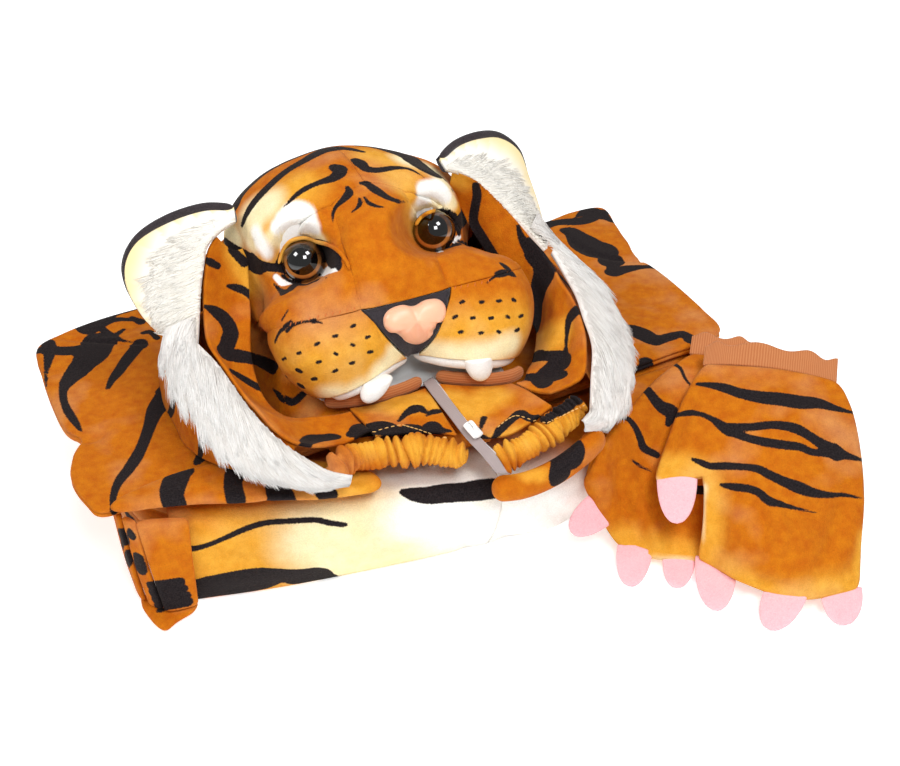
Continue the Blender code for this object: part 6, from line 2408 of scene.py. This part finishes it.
MITT_FOLDS = {
    "front": seen(
        "photo",
        ([(722, 486, 2), (744, 494, 3), (764, 510, 4), (768, 536, 5), (748, 572, 3)], 3.6, -2.0),
        ([(732, 484, 2), (754, 496, 3), (774, 514, 4), (777, 540, 4), (760, 572, 2)], 4.0, 2.9),
        ([(850, 478, 3), (836, 530, 4), (812, 588, 3)], 4.5, -1.7),
        ([(858, 500, 3), (848, 540, 4), (828, 584, 3)], 5.0, 2.0),
        ([(744, 574, 2), (772, 584, 4), (802, 596, 3)], 3.6, -1.6),
        ([(748, 566, 2), (776, 574, 4), (800, 584, 3)], 4.0, 2.4),
        ([(700, 478, 3), (706, 520, 4), (704, 556, 3)], 6.0, 2.0),
        ([(792, 520, 5), (800, 550, 5)], 9.0, 2.0),
        ([(716, 372, 2), (770, 380, 3), (830, 388, 2)], 3.5, -1.1),
        ([(690, 400, 2), (678, 430, 3), (668, 456, 2)], 4.0, -0.8),
    ),
    "rear": seen(
        "photo",
        ([(618, 466, 2), (624, 500, 3), (640, 530, 3), (656, 552, 2)], 3.6, -1.8),
        ([(628, 466, 2), (636, 500, 3), (652, 530, 3), (666, 552, 2)], 4.0, 2.7),
        ([(600, 452, 2), (602, 490, 3), (610, 526, 2)], 5.0, 2.5),
        ([(620, 536, 2), (650, 546, 3), (682, 552, 2)], 3.4, -1.4),
        ([(588, 470, 3), (594, 500, 3)], 7.0, 1.7),
    ),
}
# Columns: corner's u and v, how far its rounding reaches, how far the corner point is drawn in.
CORNERS = {
    "front": (
        (0.0, 0.0, 0.08, 0.02, 0.02), (1.0, 0.0, 0.08, -0.02, 0.02), (1.0, 1.0, 0.07, -0.014, -0.014),
        (0.25, 1.0, 0.07, 0.012, -0.012), (0.0, 0.6, 0.06, 0.012, -0.012),
        (0.25, 0.6, 0.05, -0.008, -0.012),
    ),
    "rear": (
        (0.0, 0.0, 0.08, 0.02, 0.02), (1.0, 0.0, 0.08, -0.02, 0.02), (1.0, 1.0, 0.07, -0.014, -0.014),
        (0.0, 1.0, 0.10, 0.02, -0.02),
    ),
}


def eased(which, u, v):
    """Draw the corners of the cut in, so that the mitt's outline is round."""
    shift_u = shift_v = 0.0
    for corner_u, corner_v, reach, pull_u, pull_v in CORNERS[which]:
        near = max(1 - abs(u - corner_u) / reach, 0) * max(1 - abs(v - corner_v) / reach, 0)
        shift_u += pull_u * near * near
        shift_v += pull_v * near * near
    return min(max(u + shift_u, 0), 1), min(max(v + shift_v, 0), 1)


def has_thumb(u, v):
    return u > THUMB_SHARE or v < THUMB_END


def mitt_thick(u, v):
    across = 1 - abs(2 * u - 1) ** 3
    down = 1 - abs(2 * v - 1) ** 4
    return MITT_EDGE + (MITT_THICK - MITT_EDGE) * sqrt(max(across * down, 0.0))


def palm(name, which, surface, cells, look, keep):
    """Palm side of a mitt: it starts under the back's wall and is fullest in the middle."""
    work = bmesh.new()
    bmesh.ops.create_grid(work, x_segments=cells[0], y_segments=cells[1], size=1)
    if keep:
        gone = [f for f in work.faces if not keep(*[(c + 1) / 2 for c in f.calc_center_median()[:2]])]
        bmesh.ops.delete(work, geom=gone, context="FACES")
    first = list(work.verts)
    grown = bmesh.ops.extrude_face_region(work, geom=work.faces[:])
    second = [v for v in grown["geom"] if isinstance(v, bmesh.types.BMVert)]
    for verts, part in ((first, 0.0), (second, 0.6)):
        for v in verts:
            u, w = eased(which, (v.co.x + 1) / 2, (v.co.y + 1) / 2)
            normal = normal_at(surface, inside(u), inside(w))
            v.co = surface(u, w) + normal * (MITT_BACK + 0.2 + part * mitt_thick(u, w))
    return finish_mesh(name, work, look)


mitts = {}
for which, keep in (("front", has_thumb), ("rear", None)):
    form = patch(MITTS[which])
    back = cloth(
        "mitt_back_" + which, lambda u, v: form(*eased(which, u, v)), MITT_CELLS[which], TIGER, behind=1,
        wall=MITT_BACK, creases=MITT_FOLDS[which], rolled=1.3, keep=keep,
    )
    under = palm("mitt_palm_" + which, which, form, (44, 50), TIGER, keep)
    mitts[which] = (dress(back, f"mitt_{which}_back"), dress(under, f"mitt_{which}_palm"))
print("mitt triangles", faces_of([piece for pair in mitts.values() for piece in pair]))

# %% Cuffs
# Columns: points along the cuff seam, number of scallops.
CUFFS = {
    "front": (((141, -109, 81), (152, -118, 84), (171, -131, 85), (188, -142, 83), (202, -150, 79)), 3.5),
    "rear": (((150, -80, 69.5), (160, -88, 70.5), (168, -94, 70.5), (178, -99, 69.5)), 2),
}
CUFF_WIDTH = 17.0
CUFF_WAVE = 3.0
CUFF_THICK = 1.8
cuffs = {}
for which, (seam, waves) in CUFFS.items():
    seam = vectors(seam)
    run = (seam[-1] - seam[0]).normalized()
    wrist = Vector((-run.y, run.x, 0.30)).normalized()
    seam_length = sum((b - a).length for a, b in zip(seam, seam[1:]))

    def cuff(u, v):
        wave = 0.5 - 0.5 * cos(tau * waves * u + 0.8 * sin(tau * u))
        spot = along(seam, u) + wrist * (0.3 + v * (CUFF_WIDTH - CUFF_WAVE + CUFF_WAVE * wave))
        spot.z += 0.6 * wave * v * v
        return spot

    cuffs[which] = dress(
        cloth("rib_cuff_" + which, cuff, (110, 26), RIB, behind=-1, wall=CUFF_THICK, rolled=0.3,
              weave=(seam_length, CUFF_WIDTH)),
        f"mitt_{which}_cuff",
    )
print("cuff triangles", faces_of(cuffs.values()))

# %% Claws
# Columns: node, root, tip, direction of its root edge, width.
CLAWS = (
    ("mitt_front_claw_thumb", (101.0, -157.8, 44.2), (91, -177.8, 33), (22, -15, 6), 22.0),
    ("mitt_front_claw_a", (107.3, -194.2, 8.5), (94, -215, 2.2), (13, -22, 2), 25.0),
    ("mitt_front_claw_b", (127.5, -228.4, 9.4), (113.5, -239.5, 2.2), (22, -22, -1), 22.0),
    ("mitt_front_claw_c", (158.0, -237.6, 7.8), (152, -251, 2.2), (35, -5, -2), 24.0),
    ("mitt_rear_claw_thumb", (61.0, -142.3, 24), (43, -148, 20), (14, -24, -29), 20.0),
    ("mitt_rear_claw_a", (75.0, -163.0, 6.4), (62, -181.5, 2.2), (16, -17, -1), 20.0),
    ("mitt_rear_claw_b", (94.6, -177.6, 5.2), (85.4, -192.5, 2.2), (30, -13, -2), 18.0),
)
CLAW_THICK = 3.2
CLAW_BACK = 0.06
CLAW_TUCK = 5.0
claws = []
for node, root, tip, width_way, width in CLAWS:
    root, tip = Vector(root), Vector(tip)
    root = root - (tip - root).normalized() * CLAW_TUCK
    across = Vector(width_way).normalized()
    up = across.cross(tip - root).normalized()

    def claw_ring(turn, v):
        """Two layers of felt, stitched and cut round: the sides are steep and the faces nearly flat."""
        inward = min(v / CLAW_BACK, 1.0)
        v = max((v - CLAW_BACK) / (1 - CLAW_BACK), 0.0)
        c, s = cos(tau * turn), sin(tau * turn)
        square = (abs(c) ** 3 + abs(s) ** 3) ** (-1 / 3)
        half = 0.5 * width * sqrt(max(1 - v**2.3, 0.0))
        thick = 0.5 * CLAW_THICK * sqrt(max(1 - v**6, 0.0))
        reach = 0.985 * v
        return root.lerp(tip, reach) + (across * (half * c) + up * (thick * s)) * square * inward

    claws.append(dress(body(node.replace("mitt_", "felt_"), claw_ring, (48, 34), PINK_FELT), node))
print("claws", len(claws))

# %% [markdown]
# ## Print
# The print is laid piece by piece, as the strokes of its stripes with their own widths. The left sleeve
# has long stripes that hang from the shoulder, the belly has thin bands, and each mitt has forked marks.
# Hidden sides get marks of the same kind, no two alike.

# %% Print on the sleeves and the roll
LEFT_STRIPES = seen(
    "photo",
    [(48, 343, 14), (50, 350, 12), (48, 362, 8), (46, 374, 4), (46, 386, 2)],
    [(100, 342, 22), (94, 352, 22), (84, 364, 18), (74, 375, 13), (65, 386, 9), (63, 396, 8), (66, 407, 8),
     (71, 416, 8), (77, 425, 6), (82, 433, 2)],
    [(141, 343, 9), (134, 351, 9), (126, 361, 9), (119, 371, 8), (112, 380, 6), (108, 388, 4)],
    [(168, 372, 14), (170, 385, 18), (164, 398, 16), (155, 412, 14), (149, 428, 11), (143, 444, 10),
     (136, 458, 10), (128, 470, 9), (120, 480, 8), (115, 490, 7), (113, 500, 7), (114, 512, 7)],
    [(92, 320, 8), (99, 326, 7), (107, 333, 6), (118, 339, 4), (130, 342, 2)],
    [(132, 318, 4), (141, 322, 6)],
    [(143, 333, 3), (150, 332, 4), (157, 338, 5)],
    [(215, 428, 16), (212, 440, 18), (205, 452, 12), (197, 463, 6)],
) + seen(
    "top",
    [(-196, 74, 8), (-178, 66, 10), (-160, 70, 7), (-146, 80, 3)],
    [(-170, 98, 9), (-166, 86, 8), (-150, 92, 6), (-138, 88, 3)],
    [(-118, 106, 10), (-112, 92, 9), (-96, 86, 7), (-84, 90, 4)],
    [(-70, 108, 9), (-66, 96, 8), (-54, 90, 5), (-46, 94, 3)],
) + seen("back", [(-160, 60, 9), (-140, 61, 8), (-122, 60, 5)], [(-92, 60, 8), (-70, 61, 6), (-52, 60, 3)])
paint(
    [layers["left"]],
    stripe=LEFT_STRIPES,
    gold=seen("photo", ([(30, 360, 10), (40, 400, 14), (52, 436, 10)], 24.0)),
)
RIGHT_STRIPES = seen(
    "photo",
    [(578, 216, 3), (588, 211, 7), (598, 214, 9), (608, 219, 4), (618, 225, 3), (630, 238, 3), (642, 252, 4),
     (650, 262, 6), (653, 268, 3)],
    [(563, 230, 4), (572, 232, 9), (582, 241, 16), (593, 248, 17), (604, 252, 16), (612, 262, 15),
     (613, 272, 9), (626, 269, 7), (642, 267, 4), (660, 267, 3), (670, 272, 3), (678, 281, 2)],
    [(617, 328, 3), (630, 329, 8), (642, 334, 12), (655, 340, 10), (668, 337, 8), (682, 334, 7),
     (692, 340, 8), (700, 346, 6), (706, 349, 3)],
    [(632, 371, 8), (645, 368, 10), (662, 368, 6)],
) + seen(
    "top",
    [(190, 110, 9), (172, 104, 11), (154, 108, 8), (140, 102, 4)],
    [(126, 112, 8), (118, 98, 9), (104, 92, 6), (92, 98, 3)],
    [(70, 110, 9), (60, 96, 8), (46, 92, 6), (30, 98, 3)],
    [(6, 108, 7), (0, 96, 8), (-10, 92, 4)],
) + seen("back", [(150, 61, 8), (128, 60, 9), (110, 61, 4)], [(60, 60, 7), (40, 61, 8), (22, 60, 3)])
paint([layers["right"]], stripe=RIGHT_STRIPES)
ROLL_STRIPES = seen(
    "photo",
    [(180, 472, 16), (174, 484, 22), (172, 496, 24), (176, 508, 22)],
    [(242, 461, 12), (236, 472, 18), (233, 484, 19), (236, 500, 20)],
    [(276, 488, 22), (281, 498, 26), (284, 512, 22)],
    [(318, 484, 14), (328, 496, 20)],
    [(196, 512, 12), (208, 513, 12), (217, 511, 7)],
    [(115, 518, 5), (130, 518, 7), (146, 517, 6)],
)
paint([roll], stripe=ROLL_STRIPES, gold=seen("photo", ([(300, 470, 8), (352, 484, 10)], 20.0)))

# %% Print on the body pieces, leg and core
BELLY_STRIPES = seen(
    "photo",
    [(175, 550, 4), (190, 549, 6), (205, 546, 5), (225, 538, 5), (245, 529, 6), (265, 523, 6), (290, 521, 6),
     (315, 520, 6), (330, 523, 6), (345, 525, 5)],
    [(186, 594, 18), (210, 588, 20), (238, 584, 22), (262, 580, 20), (283, 576, 12), (300, 577, 14),
     (316, 575, 13), (330, 577, 6), (348, 577, 3), (370, 574, 2), (400, 568, 1.5), (430, 562, 1.5)],
    [(403, 492, 7), (414, 494, 14), (428, 495, 18), (445, 493, 20), (465, 492, 20), (482, 490, 22),
     (500, 488, 19), (512, 486, 10), (521, 483, 4)],
)
BELLY_PALE = seen(
    "photo",
    ([(410, 470, 14), (450, 472, 20), (500, 470, 16)], 24.0),
    ([(470, 530, 16), (520, 522, 30), (560, 520, 34), (640, 520, 40)], 34.0),
    ([(420, 520, 10), (460, 524, 16)], 30.0),
)
BELLY_CREAM = seen(
    "photo",
    ([(330, 540, 30), (380, 540, 34), (430, 535, 34), (480, 530, 34)], 30.0),
    ([(340, 566, 14), (400, 560, 14), (460, 552, 14)], 26.0),
)
BELLY_GOLD = seen(
    "photo",
    ([(205, 560, 26), (250, 555, 30), (300, 550, 30)], 26.0),
    ([(270, 588, 6), (310, 588, 6)], 8.0),
)
paint([*bellies.values()], stripe=BELLY_STRIPES, pale=BELLY_PALE, cream=BELLY_CREAM, gold=BELLY_GOLD)
LEG_STRIPES = seen(
    "photo",
    [(151, 586, 9), (180, 582, 9)],
    [(153, 593, 9), (183, 589, 9)],
    [(156, 600, 9), (186, 596, 9)],
    [(159, 607, 9), (188, 602, 9)],
    [(130, 531, 4), (131, 535, 7)],
    [(128, 552, 6), (127, 562, 6)],
    [(138, 558, 8), (140, 568, 10)],
) + seen("left", [(-94, 46, 5), (-90, 36, 4)], [(-86, 22, 6), (-90, 14, 4)])
paint([*legs, tab], stripe=LEG_STRIPES)
CORE_STRIPES = seen(
    "back",
    [(-150, 48, 8), (-128, 50, 9), (-108, 47, 5)],
    [(-80, 20, 7), (-58, 22, 9), (-40, 19, 4)],
    [(-20, 50, 8), (4, 47, 10), (26, 50, 4)],
    [(50, 34, 7), (72, 36, 9), (92, 33, 4)],
    [(110, 8, 7), (134, 10, 8), (152, 7, 3)],
    [(-120, 8, 6), (-100, 9, 8), (-84, 7, 3)],
) + seen(
    "left",
    [(70, 48, 8), (50, 50, 9), (34, 47, 4)],
    [(10, 34, 7), (-8, 36, 9), (-24, 33, 4)],
    [(60, 8, 6), (44, 10, 8), (30, 7, 3)],
    [(-40, 20, 7), (-56, 22, 8)],
) + seen(
    "right",
    [(80, 20, 8), (60, 22, 9), (42, 19, 4)],
    [(20, 48, 8), (0, 50, 9), (-16, 47, 4)],
    [(-30, 34, 7), (-48, 36, 8)],
    [(40, 34, 6), (26, 35, 5)],
)
paint([core], stripe=CORE_STRIPES)

# %% Print on the mitts
FRONT_MITT_STRIPES = seen(
    "photo",
    [(697, 384, 3), (710, 385, 6), (725, 388, 9), (740, 393, 10), (760, 397, 12), (780, 399, 13),
     (800, 402, 13), (818, 403, 10), (835, 408, 6), (854, 413, 2)],
    [(677, 415, 4), (688, 413, 6), (700, 414, 5), (712, 419, 6), (722, 426, 10), (730, 431, 12)],
    [(730, 426, 6), (750, 427, 8), (770, 425, 8), (785, 426, 9), (797, 429, 10), (808, 435, 9),
     (820, 443, 10), (830, 450, 14)],
    [(730, 430, 12), (745, 437, 8), (765, 442, 9), (785, 445, 9), (800, 447, 8), (812, 452, 7),
     (825, 453, 8)],
    [(835, 452, 16), (845, 455, 8), (855, 458, 5), (863, 460, 2)],
    [(692, 459, 3), (700, 462, 6), (710, 466, 7), (725, 466, 8), (745, 467, 7), (758, 469, 8), (770, 475, 9),
     (785, 482, 10), (800, 488, 12), (815, 493, 9), (830, 495, 6), (845, 495, 4), (864, 499, 2)],
    [(721, 485, 4), (735, 487, 8), (750, 489, 8), (760, 493, 8), (768, 500, 9), (780, 504, 6), (795, 508, 4),
     (817, 513, 1)],
)
REAR_MITT_STRIPES = seen(
    "photo",
    [(672, 363, 2), (680, 368, 3), (685, 378, 3), (691, 386, 2)],
    [(642, 388, 3), (648, 391, 8), (655, 400, 10), (662, 407, 12), (672, 413, 14), (668, 424, 6)],
    [(620, 418, 3), (628, 419, 5), (635, 427, 6), (640, 438, 7), (644, 448, 8), (657, 455, 7)],
    [(632, 460, 2), (640, 466, 3), (652, 471, 2)],
    [(698, 490, 9), (702, 490, 9)],
)
MITT_CREAM = {
    "front": seen(
        "photo",
        ([(656, 482, 2), (674, 485, 2), (696, 484, 2)], 4.0),
        ([(704, 488, 1), (701, 520, 1), (698, 560, 2)], 3.5),
        ([(700, 566, 2), (724, 576, 2), (748, 590, 2), (770, 600, 2), (797, 606, 2), (856, 592, 2)], 4.5),
    ),
    "rear": seen(
        "photo",
        ([(576, 480, 1), (584, 504, 1), (606, 536, 1)], 3.5),
        ([(612, 550, 1), (640, 558, 1), (690, 562, 1)], 3.5),
    ),
}
MITT_GOLD = {
    "front": seen(
        "photo",
        ([(658, 468, 8), (684, 470, 10), (704, 476, 8)], 12.0),
        ([(706, 490, 6), (706, 520, 9), (706, 560, 10)], 15.0),
        ([(716, 574, 8), (760, 592, 10), (800, 600, 8), (850, 590, 8)], 16.0),
        ([(862, 540, 3), (860, 570, 4)], 8.0),
    ),
    "rear": seen(
        "photo",
        ([(578, 470, 8), (582, 500, 10), (600, 530, 8)], 14.0),
        ([(605, 545, 10), (640, 552, 10), (690, 556, 10)], 14.0),
    ),
}
for which, stripes in (("front", FRONT_MITT_STRIPES), ("rear", REAR_MITT_STRIPES)):
    paint([*mitts[which]], stripe=stripes, gold=MITT_GOLD[which], cream=MITT_CREAM[which])
print("print laid")

# %% [markdown]
# ## What each sheet was cut to
# A rebuilt garment is only useful if it can be cut again, so the table lists, for each sheet, the flat size
# of what shows of it, in millimetres, how it is held and what it lies on. Nothing else in the script reads
# it.

# %% Cut sizes
# Columns: piece, width and length of its flat blank, area of the cut, how it is held, what it lies on.
CUTS = (
    ("face_bridge", 64, 80, 4800, "stretched", "head_padding"),
    ("face_forehead_left", 128, 104, 9050, "stretched", "head_padding"),
    ("face_forehead_right", 128, 104, 9050, "stretched", "head_padding"),
    ("face_eye_patch_left", 78, 22, 1150, "stretched", "head_padding"),
    ("face_eye_patch_right", 78, 22, 850, "stretched", "head_padding"),
    ("face_cheek_left", 82, 46, 3000, "stretched", "head_padding"),
    ("face_cheek_right", 82, 46, 2850, "stretched", "head_padding"),
    ("face_pad_left", 104, 66, 4450, "stretched", "head_padding"),
    ("face_pad_right", 104, 66, 4650, "stretched", "head_padding"),
    ("nose_felt", 44, 30, 1100, "stretched", "head_padding"),
    ("eyelid_left", 75, 10, 250, "folded", "eye_left"),
    ("eyelid_right", 75, 10, 380, "folded", "eye_right"),
    ("lip_left", 72, 14, 620, "folded", "face_pad_left"),
    ("lip_right", 94, 14, 1180, "folded", "face_pad_right"),
    ("face_opening_lining", 110, 34, 3300, "draped", "hood_hidden_layers"),
    ("face_binding_left", 62, 10, 540, "folded", "chin_panel_left"),
    ("face_binding_right", 52, 10, 460, "folded", "chin_panel_right"),
    ("chin_panel_left", 46, 42, 1500, "draped", "hood_hidden_layers"),
    ("chin_panel_right", 50, 46, 1980, "draped", "hood_hidden_layers"),
    ("neck_gather_left", 90, 30, 2200, "gathered", "chin_panel_left"),
    ("neck_gather_right", 72, 30, 1800, "gathered", "chin_panel_right"),
    ("collar_edge", 85, 20, 1600, "folded", "sleeve_right"),
    ("zip_tape_cloth", 10, 80, 546, "draped", "chin_panel_left"),
    ("hood_bowl_left", 150, 60, 4900, "draped", "hood_hidden_layers"),
    ("hood_bowl_right", 150, 60, 4500, "draped", "hood_hidden_layers"),
    ("hood_back_panel_left", 230, 110, 17000, "draped", "hood_hidden_layers"),
    ("hood_back_panel_right", 240, 120, 19900, "draped", "hood_hidden_layers"),
    ("ear_front_left", 92, 46, 3150, "stretched", "hood_bowl_left"),
    ("ear_front_right", 92, 46, 3280, "stretched", "hood_bowl_right"),
    ("ear_back_cloth_left", 92, 46, 3000, "stretched", "ear_front_left"),
    ("ear_back_cloth_right", 92, 46, 3100, "stretched", "ear_front_right"),
    ("body_piece_left", 172, 96, 15900, "folded", "suit_hidden_layers"),
    ("body_piece_right", 180, 98, 16400, "folded", "suit_hidden_layers"),
    ("leg_flap", 28, 56, 1500, "folded", "suit_hidden_layers"),
    ("leg_fold_near", 11, 56, 600, "folded", "suit_hidden_layers"),
    ("leg_fold_far", 14, 58, 800, "folded", "suit_hidden_layers"),
    ("leg_hem", 28, 30, 600, "folded", "table"),
    ("sleeve_left", 180, 200, 34100, "folded", "suit_hidden_layers"),
    ("sleeve_right", 212, 200, 40200, "folded", "suit_hidden_layers"),
    ("front_roll", 135, 50, 4000, "folded", "sleeve_left"),
    ("mitt_back_front", 125, 150, 13000, "laid", "mitt_palm_front"),
    ("mitt_palm_front", 125, 150, 11600, "laid", "mitt_back_rear"),
    ("mitt_back_rear", 95, 125, 9000, "laid", "mitt_palm_rear"),
    ("mitt_palm_rear", 95, 125, 8200, "laid", "body_piece_right"),
    ("rib_cuff_front", 78, 18, 1380, "stretched", "mitt_back_front"),
    ("rib_cuff_rear", 36, 18, 640, "stretched", "mitt_back_rear"),
    ("felt_front_claw_thumb", 22, 34, 600, "laid", "mitt_palm_front"),
    ("felt_front_claw_a", 25, 32, 620, "laid", "mitt_palm_front"),
    ("felt_front_claw_b", 22, 29, 490, "laid", "mitt_palm_front"),
    ("felt_front_claw_c", 24, 25, 460, "laid", "mitt_palm_front"),
    ("felt_rear_claw_thumb", 20, 28, 450, "laid", "mitt_palm_rear"),
    ("felt_rear_claw_a", 20, 32, 510, "laid", "mitt_palm_rear"),
    ("felt_rear_claw_b", 18, 27, 380, "laid", "mitt_palm_rear"),
)
for name, width, length, area, held, rests_on in CUTS:
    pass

# %% Sizes
low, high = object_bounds()
print("visual", [round(v, 4) for v in low], [round(v, 4) for v in high])
